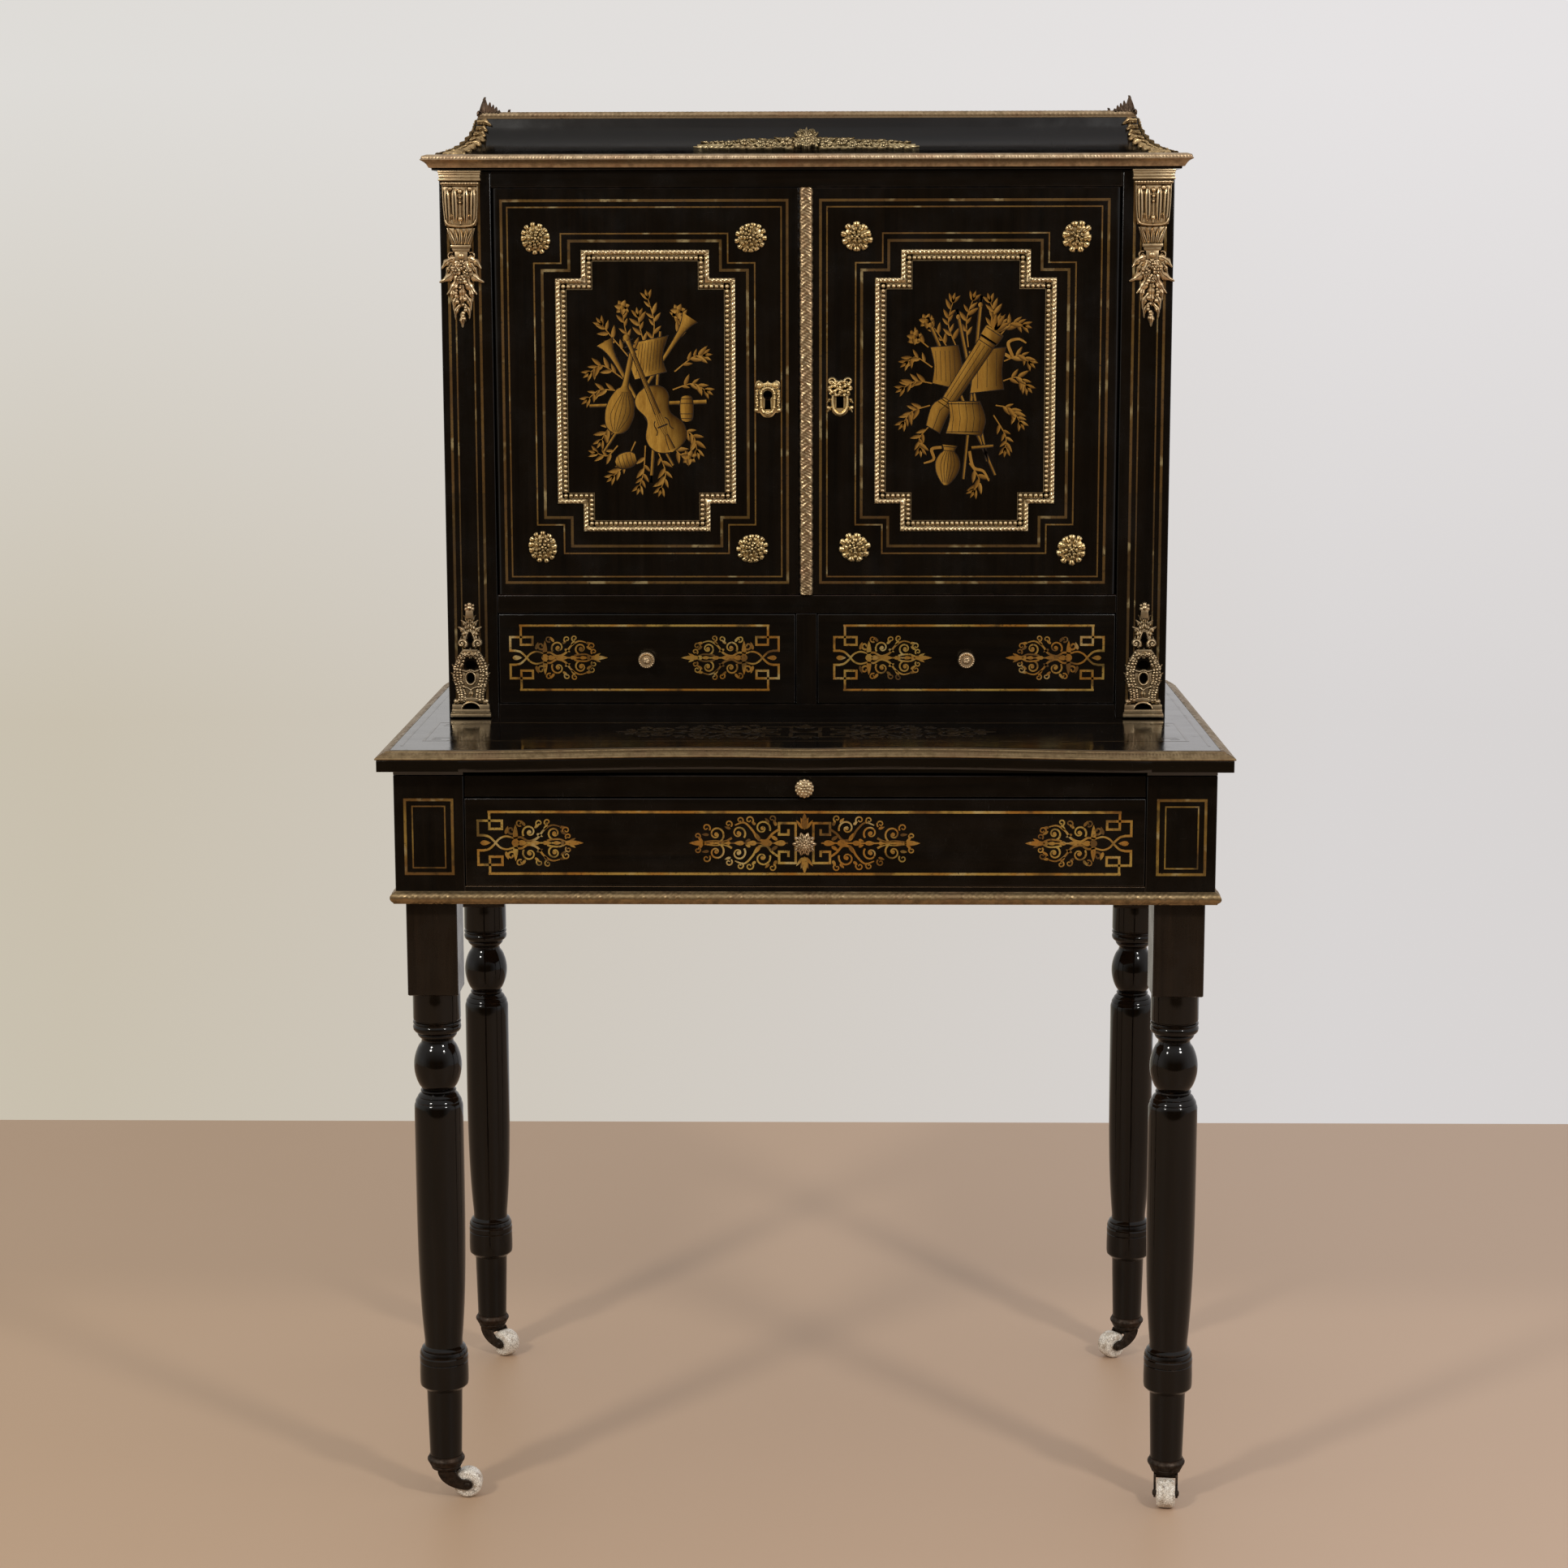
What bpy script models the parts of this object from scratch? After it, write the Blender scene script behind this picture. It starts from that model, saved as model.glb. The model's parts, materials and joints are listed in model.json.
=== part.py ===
"""Bonheur du jour: a small cabinet on a writing table with turned legs and casters.

Metres, +Z up, the front facing -Y.  The floor is Z = 0 and the origin lies under the middle of
the table top, which is the widest and deepest piece.
"""
import math

import bmesh
import bpy
from mathutils import Matrix, Vector

MM = 0.001

# Fits
SEAT_GAP = 0.3 * MM        # between pieces that are glued, pinned or rest on one another
RUN_GAP = 0.8 * MM         # round the doors, the drawers and the slide
PIN_GAP = 0.3 * MM         # round a pin in its hole, on the radius

# Table top
TOP_WIDTH = 820 * MM
TOP_DEPTH = 530 * MM
TOP_HEIGHT = 770 * MM      # upper face above the floor
TOP_EDGE = 19.5 * MM       # thickness of the overhanging edge
TOP_BED = 6 * MM           # layer under the edge, flush with the apron
TOP_BED_SETBACK = 12 * MM  # of its front between the stiles, a finger gap over the slide
TOP_SIDE_OVERHANG = 14.6 * MM
TOP_FRONT_OVERHANG = 22 * MM
TOP_BACK_OVERHANG = 6.4 * MM
TOP_HOUSING = 1 * MM       # depth of the housing that the cabinet stands in
TOP_MOULDING_WIDTH = 13 * MM
TOP_MOULDING_HEIGHT = 8 * MM
TOP_MOULDING_PROUD = 1.5 * MM

# Serpentine of the top's front: set back beside the middle, bowed forward again at the middle
SERPENTINE_DEPTH = 20 * MM
SERPENTINE_OUTER = 330 * MM
SERPENTINE_INNER = 110 * MM
BOW_DEPTH = 6 * MM
BOW_HALF_WIDTH = 75 * MM
SERPENTINE_STEPS = 36

# Apron
APRON_HEIGHT = 126 * MM
APRON_THICKNESS = 22 * MM
STILE_WIDTH = 67.4 * MM
STILE_THICKNESS = 30 * MM
TABLE_BOTTOM_THICKNESS = 17 * MM
BASE_MOULDING_HEIGHT = 12.5 * MM
BASE_MOULDING_PROUD = 6.5 * MM

# Table drawer, writing slide and the board between them
TABLE_DRAWER_HEIGHT = 85.5 * MM
TABLE_FRONT_THICKNESS = 30 * MM
TABLE_TRAY_DEPTH = 395 * MM
TABLE_TRAY_WALL = 9 * MM
TABLE_TRAY_FLOOR = 7 * MM
GUIDE_HEIGHT = 14 * MM
BEARER_THICKNESS = 10 * MM
SLIDE_DEPTH = 390 * MM
SLIDE_SETBACK = 2 * MM

# Cabinet
CABINET_SETBACK = 43.65 * MM       # from the table top's ends
CABINET_DEPTH = 292.6 * MM
CABINET_HEIGHT = 550.5 * MM
SIDE_THICKNESS = 18 * MM
BACK_THICKNESS = 8 * MM
PILASTER_WIDTH = 51.4 * MM
PILASTER_THICKNESS = 22 * MM
CABINET_BOTTOM_THICKNESS = 14.7 * MM
SMALL_DRAWER_OPENING = 93.5 * MM
PARTITION_THICKNESS = 21 * MM
DECK_THICKNESS = 18.5 * MM
FRIEZE_HEIGHT = 16.5 * MM
SHELF_THICKNESS = 14 * MM
SHELF_HEIGHT = 196 * MM            # underside above the deck
SHELF_SETBACK = 29 * MM
SMALL_FRONT_THICKNESS = 18 * MM
SMALL_TRAY_DEPTH = 250 * MM
SMALL_TRAY_HEIGHT = 80 * MM
SMALL_TRAY_WALL = 8 * MM
SMALL_TRAY_FLOOR = 6 * MM

# Doors
DOOR_THICKNESS = 20 * MM
PIVOT_INSET = 5 * MM               # from the front face and from the hinge edge
PIVOT_RADIUS = 2 * MM
PIVOT_DEPTH = 8 * MM               # length of pin in the door, and in the rail
ASTRAGAL_WIDTH = 14 * MM
ASTRAGAL_PROUD = 6 * MM
BEAD_SIDE_MARGIN = 62 * MM         # round the beaded frame
BEAD_TOP_MARGIN = 60.5 * MM
BEAD_LOW_MARGIN = 64 * MM
BEAD_STEP_WIDTH = 26 * MM
BEAD_STEP_HEIGHT = 28 * MM
BEAD_BAND = 11.5 * MM
BEAD_PROUD = 4 * MM

# Cornice and crown
CORNICE_OVERHANG = 16.7 * MM
CORNICE_THICKNESS = 15.5 * MM
CORNICE_MOULDING_WIDTH = 10 * MM
CORNICE_MOULDING_HEIGHT = 13 * MM
COVE_HEIGHT = 36 * MM
COVE_FOOT_INSET = 14.7 * MM        # from the cornice's edge
COVE_RUN = 37 * MM
COVE_STEPS = 7
CROWN_FIELD = 1 * MM               # rise of the crown's top inside the rim
RIM_HEIGHT = 7 * MM
RIM_THICKNESS = 6 * MM
RIM_INSET = 0.5 * MM
RIM_BACK_INSET = 6 * MM
CORNER_LEAF_HEIGHT = 14 * MM       # above the rim
CORNER_LEAF_LENGTH = 25 * MM       # along the front and along the side

# Knobs
TABLE_KNOB_RADIUS = 9.5 * MM
SLIDE_KNOB_RADIUS = 9 * MM
SMALL_KNOB_RADIUS = 8.5 * MM
KNOB_LENGTH = 15 * MM
KNOB_SIDES = 14

# Legs, sizes from the top down; the shaft takes the length that is left
LEG_SIDE_INSET = 32.5 * MM         # leg axis from the apron's faces
LEG_FRONT_INSET = 38 * MM
LEG_BACK_INSET = 40 * MM
LEG_BLOCK_SIDE = 49.5 * MM
LEG_BLOCK_LENGTH = 101.5 * MM
LEG_NECK_LENGTH = 24.5 * MM
LEG_NECK_RADIUS = 24 * MM
LEG_RING_LENGTH = 10 * MM
LEG_RING_RADIUS = 23.2 * MM
LEG_GROOVE_DEPTH = 2 * MM
LEG_COVE_LENGTH = 10 * MM
LEG_COVE_RADIUS = 15.5 * MM
LEG_BALL_LENGTH = 47 * MM
LEG_BALL_RADIUS = 23.5 * MM
LEG_SHOULDER_LENGTH = 17 * MM
LEG_SHOULDER_RADIUS = 23.3 * MM
LEG_SHAFT_RADIUS = 24 * MM
LEG_ANKLE_RADIUS = 18.8 * MM
LEG_COLLAR_LENGTH = 45.5 * MM
LEG_COLLAR_RADIUS = 24.4 * MM
LEG_LOWER_LENGTH = 73 * MM
LEG_LOWER_RADIUS = 17.8 * MM
LEG_FOOT_RADIUS = 16 * MM
LEG_SIDES = 20

# Casters
WHEEL_RADIUS = 14.5 * MM
WHEEL_WIDTH = 18.5 * MM
WHEEL_EDGE = 2.5 * MM
WHEEL_SIDES = 24
WHEEL_SIDE_GAP = 0.5 * MM
AXLE_RADIUS = 2.5 * MM
CASTER_TRAIL = 22 * MM
FORK_ARM = 2.3 * MM
FORK_CROWN = 3.5 * MM
FORK_END_RADIUS = 6 * MM
SWIVEL_RADIUS = 10.5 * MM
SWIVEL_PIN_RADIUS = 3 * MM
SWIVEL_PIN_LENGTH = 8 * MM
SOCKET_HEIGHT = 15 * MM
SOCKET_RADIUS = 18.8 * MM
SOCKET_LIP = 5.5 * MM
SOCKET_RECESS = 4 * MM
SOCKET_CLEARANCE = 0.5 * MM        # between the wheel's top and the socket's underside
SOCKET_SIDES = 20
# Direction in which each caster trails, in degrees from +X
CASTER_HEADINGS = {"front_left": 0, "front_right": 264, "back_left": 320, "back_right": 215}

# Levels worked out from the sizes above
BASE_MOULDING_Z = TOP_HEIGHT - TOP_EDGE - TOP_BED - APRON_HEIGHT
APRON_TOP_Z = TOP_HEIGHT - TOP_EDGE - TOP_BED - SEAT_GAP
TABLE_FLOOR_Z = BASE_MOULDING_Z + TABLE_BOTTOM_THICKNESS
TABLE_DRAWER_Z = TABLE_FLOOR_Z + RUN_GAP
TABLE_DRAWER_TOP_Z = TABLE_DRAWER_Z + TABLE_DRAWER_HEIGHT
BEARER_TOP_Z = TABLE_DRAWER_TOP_Z + SEAT_GAP
BEARER_Z = BEARER_TOP_Z - BEARER_THICKNESS
SLIDE_Z = BEARER_TOP_Z + RUN_GAP
SLIDE_TOP_Z = TOP_HEIGHT - TOP_EDGE - TOP_BED - RUN_GAP
CABINET_Z = TOP_HEIGHT - TOP_HOUSING + SEAT_GAP
CABINET_TOP_Z = TOP_HEIGHT + CABINET_HEIGHT
SMALL_DRAWER_Z = CABINET_Z + CABINET_BOTTOM_THICKNESS
DECK_Z = SMALL_DRAWER_Z + SMALL_DRAWER_OPENING
DECK_TOP_Z = DECK_Z + DECK_THICKNESS
FRIEZE_Z = CABINET_TOP_Z - FRIEZE_HEIGHT
DOOR_Z = DECK_TOP_Z + RUN_GAP
DOOR_TOP_Z = FRIEZE_Z - RUN_GAP
SHELF_Z = DECK_TOP_Z + SHELF_HEIGHT
CORNICE_Z = CABINET_TOP_Z + SEAT_GAP
CORNICE_TOP_Z = CORNICE_Z + CORNICE_THICKNESS
COVE_Z = CORNICE_TOP_Z + SEAT_GAP
COVE_TOP_Z = COVE_Z + COVE_HEIGHT
RIM_Z = COVE_TOP_Z + SEAT_GAP
SOCKET_Z = 2 * WHEEL_RADIUS + SOCKET_CLEARANCE
SOCKET_TOP_Z = SOCKET_Z + SOCKET_HEIGHT
LEG_Z = SOCKET_TOP_Z - SOCKET_RECESS + SEAT_GAP
LEG_TOP_Z = BASE_MOULDING_Z - SEAT_GAP

# Planes worked out from the sizes above
TOP_HALF = TOP_WIDTH / 2
TOP_FRONT_Y = -TOP_DEPTH / 2
TOP_BACK_Y = TOP_DEPTH / 2
APRON_HALF = TOP_HALF - TOP_SIDE_OVERHANG
APRON_INNER = APRON_HALF - APRON_THICKNESS
APRON_FRONT_Y = TOP_FRONT_Y + TOP_FRONT_OVERHANG
APRON_BACK_Y = TOP_BACK_Y - TOP_BACK_OVERHANG
STILE_INNER = APRON_HALF - STILE_WIDTH
STILE_BACK_Y = APRON_FRONT_Y + STILE_THICKNESS
TABLE_INNER_BACK_Y = APRON_BACK_Y - APRON_THICKNESS
DRAWER_BACKING_Y = APRON_FRONT_Y + TABLE_FRONT_THICKNESS
CABINET_HALF = TOP_HALF - CABINET_SETBACK
CABINET_INNER = CABINET_HALF - SIDE_THICKNESS
CABINET_BACK_Y = APRON_BACK_Y
CABINET_FRONT_Y = CABINET_BACK_Y - CABINET_DEPTH
PILASTER_INNER = CABINET_HALF - PILASTER_WIDTH
PILASTER_BACK_Y = CABINET_FRONT_Y + PILASTER_THICKNESS
CABINET_INNER_BACK_Y = CABINET_BACK_Y - BACK_THICKNESS - SEAT_GAP
DOOR_OUTER = PILASTER_INNER - RUN_GAP
MEETING_X = -ASTRAGAL_WIDTH / 2    # the doors meet at the astragal's left edge
BEAD_CENTRE_X = (DOOR_OUTER + ASTRAGAL_WIDTH / 2) / 2
BEAD_HALF_WIDTH = BEAD_CENTRE_X - ASTRAGAL_WIDTH / 2 - BEAD_SIDE_MARGIN
BEAD_CENTRE_Z = (DOOR_Z + BEAD_LOW_MARGIN + DOOR_TOP_Z - BEAD_TOP_MARGIN) / 2
BEAD_HALF_HEIGHT = DOOR_TOP_Z - BEAD_TOP_MARGIN - BEAD_CENTRE_Z
PIVOT_X = DOOR_OUTER - PIVOT_INSET
PIVOT_Y = CABINET_FRONT_Y + PIVOT_INSET
CORNICE_HALF = CABINET_HALF + CORNICE_OVERHANG
CORNICE_FRONT_Y = CABINET_FRONT_Y - CORNICE_OVERHANG
LEG_X = APRON_HALF - LEG_SIDE_INSET
LEG_PLACES = {
    "front_left": (-LEG_X, APRON_FRONT_Y + LEG_FRONT_INSET),
    "front_right": (LEG_X, APRON_FRONT_Y + LEG_FRONT_INSET),
    "back_left": (-LEG_X, APRON_BACK_Y - LEG_BACK_INSET),
    "back_right": (LEG_X, APRON_BACK_Y - LEG_BACK_INSET),
}

# Finishes: colour, roughness, metallic
FINISHES = {
    "ebonised_wood": ((0.012, 0.010, 0.009), 0.22, 0.0),
    "gilt_bronze": ((0.42, 0.30, 0.14), 0.38, 1.0),
    "drawer_oak": ((0.32, 0.19, 0.09), 0.60, 0.0),
    "caster_iron": ((0.045, 0.035, 0.028), 0.55, 1.0),
    "porcelain": ((0.72, 0.68, 0.60), 0.25, 0.0),
}


def clear_scene():
    for obj in list(bpy.data.objects):
        bpy.data.objects.remove(obj, do_unlink=True)


def make_material(name):
    colour, roughness, metallic = FINISHES[name]
    material = bpy.data.materials.new(name)
    material.use_nodes = True
    shader = material.node_tree.nodes["Principled BSDF"]
    shader.inputs["Base Color"].default_value = (*colour, 1.0)
    shader.inputs["Roughness"].default_value = roughness
    shader.inputs["Metallic"].default_value = metallic
    return material


def place(name, bm, finish, origin=(0, 0, 0)):
    """Make the named object from a mesh in world coordinates, with its origin at a given point."""
    mesh = bpy.data.meshes.new(name)
    bmesh.ops.recalc_face_normals(bm, faces=bm.faces)
    bmesh.ops.translate(bm, vec=-Vector(origin), verts=bm.verts)
    bm.to_mesh(mesh)
    bm.free()
    mesh.shade_smooth()
    mesh.set_sharp_from_angle(angle=math.radians(32))
    mesh.materials.append(materials[finish])
    obj = bpy.data.objects.new(name, mesh)
    obj.location = origin
    bpy.context.scene.collection.objects.link(obj)
    return obj


def box(x0, x1, y0, y1, z0, z1):
    bm = bmesh.new()
    bmesh.ops.create_cube(bm, size=1)
    size = Matrix.Diagonal((x1 - x0, y1 - y0, z1 - z0, 1))
    centre = Matrix.Translation(((x0 + x1) / 2, (y0 + y1) / 2, (z0 + z1) / 2))
    bmesh.ops.transform(bm, matrix=centre @ size, verts=bm.verts)
    return bm


def stack(rings):
    """A solid through closed rings of equally many points, with both ends capped."""
    bm = bmesh.new()
    loops = [[bm.verts.new(point) for point in ring] for ring in rings]
    for lower, upper in zip(loops, loops[1:]):
        for i in range(len(lower)):
            j = (i + 1) % len(lower)
            bm.faces.new((lower[i], lower[j], upper[j], upper[i]))
    bm.faces.new(loops[0])
    bm.faces.new(loops[-1])
    return bm


def prism(outline, z0, z1):
    """A plan outline raised between two levels."""
    return stack([[(x, y, z) for x, y in outline] for z in (z0, z1)])


def sweep(profile, path, closed):
    """A strip whose profile of (offset, level) points follows path(offset, level)."""
    bm = bmesh.new()
    lines = [[bm.verts.new(point) for point in path(*corner)] for corner in profile]
    count = len(lines[0])
    for k, line in enumerate(lines):
        following = lines[(k + 1) % len(lines)]
        for i in range(count if closed else count - 1):
            j = (i + 1) % count
            bm.faces.new((line[i], line[j], following[j], following[i]))
    if not closed:
        bm.faces.new([line[0] for line in lines])
        bm.faces.new([line[-1] for line in lines])
    return bm


def turn(profile, sides, centre=(0, 0), bm=None):
    """A turned solid round a vertical axis, from (radius, level) points; radius 0 is a pole."""
    bm = bm or bmesh.new()
    rings = []
    for radius, level in profile:
        if radius == 0:
            rings.append([bm.verts.new((centre[0], centre[1], level))])
            continue
        angles = [2 * math.pi * i / sides for i in range(sides)]
        rings.append([bm.verts.new((centre[0] + radius * math.cos(a),
                                    centre[1] + radius * math.sin(a), level)) for a in angles])
    for upper, lower in zip(rings, rings[1:]):
        for i in range(sides):
            j = (i + 1) % sides
            corners = [upper[i % len(upper)], upper[j % len(upper)],
                       lower[j % len(lower)], lower[i % len(lower)]]
            bm.faces.new(list(dict.fromkeys(corners)))
    for ring in (rings[0], rings[-1]):
        if len(ring) > 1 and ring[0].is_boundary:
            bm.faces.new(ring)
    return bm


def combine(base, others, operation):
    """Join or cut closed meshes with the Boolean modifier and return the resulting mesh."""
    def temporary(bm):
        mesh = bpy.data.meshes.new("work")
        bmesh.ops.recalc_face_normals(bm, faces=bm.faces)
        bm.to_mesh(mesh)
        bm.free()
        obj = bpy.data.objects.new("work", mesh)
        bpy.context.scene.collection.objects.link(obj)
        return obj

    target = temporary(base)
    helpers = [temporary(bm) for bm in others]
    for helper in helpers:
        modifier = target.modifiers.new("boolean", "BOOLEAN")
        modifier.operation = operation
        modifier.object = helper
    evaluated = target.evaluated_get(bpy.context.evaluated_depsgraph_get())
    result = bmesh.new()
    result.from_mesh(evaluated.to_mesh())
    evaluated.to_mesh_clear()
    for obj in [target, *helpers]:
        bpy.data.objects.remove(obj, do_unlink=True)
    return result


def smoothstep(t):
    t = min(max(t, 0), 1)
    return t * t * (3 - 2 * t)


def recess(x):
    """How far the top's front edge lies behind its corners at a given X."""
    hollow = smoothstep((SERPENTINE_OUTER - abs(x)) / (SERPENTINE_OUTER - SERPENTINE_INNER))
    bow = smoothstep((BOW_HALF_WIDTH - abs(x)) / BOW_HALF_WIDTH)
    return SERPENTINE_DEPTH * hollow - BOW_DEPTH * bow


def front_line(half_width, front_y):
    """The serpentine from left to right as plan points."""
    step = 2 * SERPENTINE_OUTER / SERPENTINE_STEPS
    inner = [i * step - SERPENTINE_OUTER for i in range(SERPENTINE_STEPS + 1)]
    stations = [-half_width, *inner, half_width]
    return [(x, front_y + recess(x)) for x in stations]


def slab(half_width, front_y, back_y):
    """Plan outline of a board with the serpentine front."""
    return front_line(half_width, front_y) + [(half_width, back_y), (-half_width, back_y)]


def tee(neck_line, half_width, neck_y, back_y):
    """Plan outline of a board whose front part is narrower, to pass between two uprights."""
    neck_half = neck_line[-1][0]
    return neck_line + [(neck_half, neck_y), (half_width, neck_y), (half_width, back_y),
                        (-half_width, back_y), (-half_width, neck_y), (-neck_half, neck_y)]


def with_guides(board, inner, outer, y0, y1, board_z0, top_z):
    """Join a pair of guide strips to a board's upper face, one at each side."""
    guides = [box(min(side * inner, side * outer), max(side * inner, side * outer),
                  y0, y1, board_z0, top_z) for side in (-1, 1)]
    return combine(board, guides, "UNION")


def tray(x0, x1, y0, y1, z0, z1, wall, floor):
    """An open box: outer shell down, inner shell back up."""
    def ring(inset, z):
        return [(x0 + inset, y0 + inset, z), (x1 - inset, y0 + inset, z),
                (x1 - inset, y1 - inset, z), (x0 + inset, y1 - inset, z)]
    return stack([ring(0, z0), ring(0, z1), ring(wall, z1), ring(wall, z0 + floor)])


def stepped_outline(centre_x, centre_z, half_width, half_height):
    """A rectangle with re-entrant corners, as (x, z) points."""
    inner_w = half_width - BEAD_STEP_WIDTH
    inner_h = half_height - BEAD_STEP_HEIGHT
    quarter = [(half_width, inner_h), (inner_w, inner_h), (inner_w, half_height)]
    points = []
    for sx, sz in ((1, 1), (-1, 1), (-1, -1), (1, -1)):
        corner = [(centre_x + sx * x, centre_z + sz * z) for x, z in quarter]
        points += corner if sx * sz > 0 else corner[::-1]
    return points


def knob(x, y, z, radius):
    """A turned knob on a front face at y, pointing towards -Y."""
    tip = KNOB_LENGTH
    profile = [(0, tip), (0.55 * radius, 0.97 * tip), (0.9 * radius, 0.85 * tip),
               (radius, 0.68 * tip), (0.8 * radius, 0.5 * tip), (0.42 * radius, 0.4 * tip),
               (0.42 * radius, 0.2 * tip), (0.75 * radius, 0.1 * tip), (0.75 * radius, 0), (0, 0)]
    bm = turn(profile, KNOB_SIDES)
    face = Matrix.Translation((x, y - SEAT_GAP, z)) @ Matrix.Rotation(math.pi / 2, 4, "X")
    bmesh.ops.transform(bm, matrix=face, verts=bm.verts)
    return bm


clear_scene()
materials = {name: make_material(name) for name in FINISHES}

# Table top: the bed under it, the edge and the field inside the brass moulding
edge_half = TOP_HALF - TOP_MOULDING_PROUD
edge_front = TOP_FRONT_Y + TOP_MOULDING_PROUD
field_half = TOP_HALF - TOP_MOULDING_WIDTH - SEAT_GAP
field_front = TOP_FRONT_Y + TOP_MOULDING_WIDTH + SEAT_GAP
bed_z = TOP_HEIGHT - TOP_EDGE - TOP_BED
edge_z = TOP_HEIGHT - TOP_EDGE
rebate_z = TOP_HEIGHT - TOP_MOULDING_HEIGHT - SEAT_GAP
middle_z = (edge_z + rebate_z) / 2
bed_front = [(-APRON_HALF, APRON_FRONT_Y), (-STILE_INNER, APRON_FRONT_Y),
             (-STILE_INNER, APRON_FRONT_Y + TOP_BED_SETBACK),
             (STILE_INNER, APRON_FRONT_Y + TOP_BED_SETBACK),
             (STILE_INNER, APRON_FRONT_Y), (APRON_HALF, APRON_FRONT_Y)]
bed = prism(bed_front + [(APRON_HALF, APRON_BACK_Y), (-APRON_HALF, APRON_BACK_Y)], bed_z, middle_z)
edge = prism(slab(edge_half, edge_front, TOP_BACK_Y), edge_z, rebate_z)
field = prism(slab(field_half, field_front, TOP_BACK_Y), middle_z, TOP_HEIGHT)
housing = box(-CABINET_HALF - SEAT_GAP, CABINET_HALF + SEAT_GAP, CABINET_FRONT_Y - SEAT_GAP,
              TOP_BACK_Y + TOP_EDGE, TOP_HEIGHT - TOP_HOUSING, TOP_HEIGHT + TOP_EDGE)
place("table_top", combine(combine(edge, [bed, field], "UNION"), [housing], "DIFFERENCE"),
      "ebonised_wood")


def top_edge_path(offset, z):
    """The table top's outer edge from back left to back right, moved inwards by an offset."""
    half = TOP_HALF - offset
    line = front_line(half, TOP_FRONT_Y + offset)
    return [(x, y, z) for x, y in [(-half, TOP_BACK_Y), *line, (half, TOP_BACK_Y)]]


moulding_low_z = TOP_HEIGHT - TOP_MOULDING_HEIGHT
top_moulding_profile = [
    (TOP_MOULDING_PROUD, moulding_low_z),
    (0.2 * TOP_MOULDING_PROUD, moulding_low_z + 0.2 * TOP_MOULDING_HEIGHT),
    (0, moulding_low_z + 0.55 * TOP_MOULDING_HEIGHT),
    (TOP_MOULDING_PROUD, moulding_low_z + 0.88 * TOP_MOULDING_HEIGHT),
    (0.3 * TOP_MOULDING_WIDTH, TOP_HEIGHT),
    (TOP_MOULDING_WIDTH, TOP_HEIGHT),
    (TOP_MOULDING_WIDTH, moulding_low_z),
]
place("table_top_moulding", sweep(top_moulding_profile, top_edge_path, False), "gilt_bronze")

# Apron: sides, back and the front stiles
apron_z = BASE_MOULDING_Z
for side, sign in (("left", -1), ("right", 1)):
    outer, inner = sorted((sign * APRON_HALF, sign * APRON_INNER))
    place(f"table_{side}_apron",
          box(outer, inner, STILE_BACK_Y + SEAT_GAP, APRON_BACK_Y, apron_z, APRON_TOP_Z),
          "ebonised_wood")
    outer, inner = sorted((sign * APRON_HALF, sign * STILE_INNER))
    place(f"table_front_{side}_stile",
          box(outer, inner, APRON_FRONT_Y, STILE_BACK_Y, apron_z, APRON_TOP_Z),
          "ebonised_wood")
table_inner = APRON_INNER - SEAT_GAP
place("table_back_apron",
      box(-table_inner, table_inner, TABLE_INNER_BACK_Y, APRON_BACK_Y, apron_z, APRON_TOP_Z),
      "ebonised_wood")

# Bottom board, whose front edge is the rail under the drawer, and the board that carries the slide
opening_half = STILE_INNER - SEAT_GAP
boards_back = TABLE_INNER_BACK_Y - SEAT_GAP
boards_front = STILE_BACK_Y + SEAT_GAP
opening_line = [(-opening_half, APRON_FRONT_Y), (opening_half, APRON_FRONT_Y)]
bottom_plan = tee(opening_line, table_inner, boards_front, boards_back)
bottom = prism(bottom_plan, BASE_MOULDING_Z, TABLE_FLOOR_Z)
place("table_bottom_board",
      with_guides(bottom, STILE_INNER, table_inner, boards_front, boards_back,
                  BASE_MOULDING_Z + TABLE_BOTTOM_THICKNESS / 2, TABLE_FLOOR_Z + GUIDE_HEIGHT),
      "drawer_oak")
bearer_front = DRAWER_BACKING_Y + RUN_GAP
bearer = box(-table_inner, table_inner, bearer_front, boards_back, BEARER_Z, BEARER_TOP_Z)
place("slide_bearer",
      with_guides(bearer, STILE_INNER, table_inner, bearer_front, boards_back,
                  BEARER_Z + BEARER_THICKNESS / 2, APRON_TOP_Z),
      "drawer_oak")


def base_moulding_path(offset, z):
    """The apron's foot from back left to back right, moved outwards by an offset."""
    half = APRON_HALF + offset
    front = APRON_FRONT_Y - offset
    return [(-half, APRON_BACK_Y, z), (-half, front, z), (half, front, z), (half, APRON_BACK_Y, z)]


base_moulding_profile = [
    (SEAT_GAP, BASE_MOULDING_Z),
    (0.7 * BASE_MOULDING_PROUD, BASE_MOULDING_Z),
    (BASE_MOULDING_PROUD, BASE_MOULDING_Z + 0.3 * BASE_MOULDING_HEIGHT),
    (0.92 * BASE_MOULDING_PROUD, BASE_MOULDING_Z + 0.65 * BASE_MOULDING_HEIGHT),
    (0.5 * BASE_MOULDING_PROUD, BASE_MOULDING_Z + BASE_MOULDING_HEIGHT),
    (SEAT_GAP, BASE_MOULDING_Z + BASE_MOULDING_HEIGHT),
]
place("table_base_moulding", sweep(base_moulding_profile, base_moulding_path, False),
      "gilt_bronze")

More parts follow.
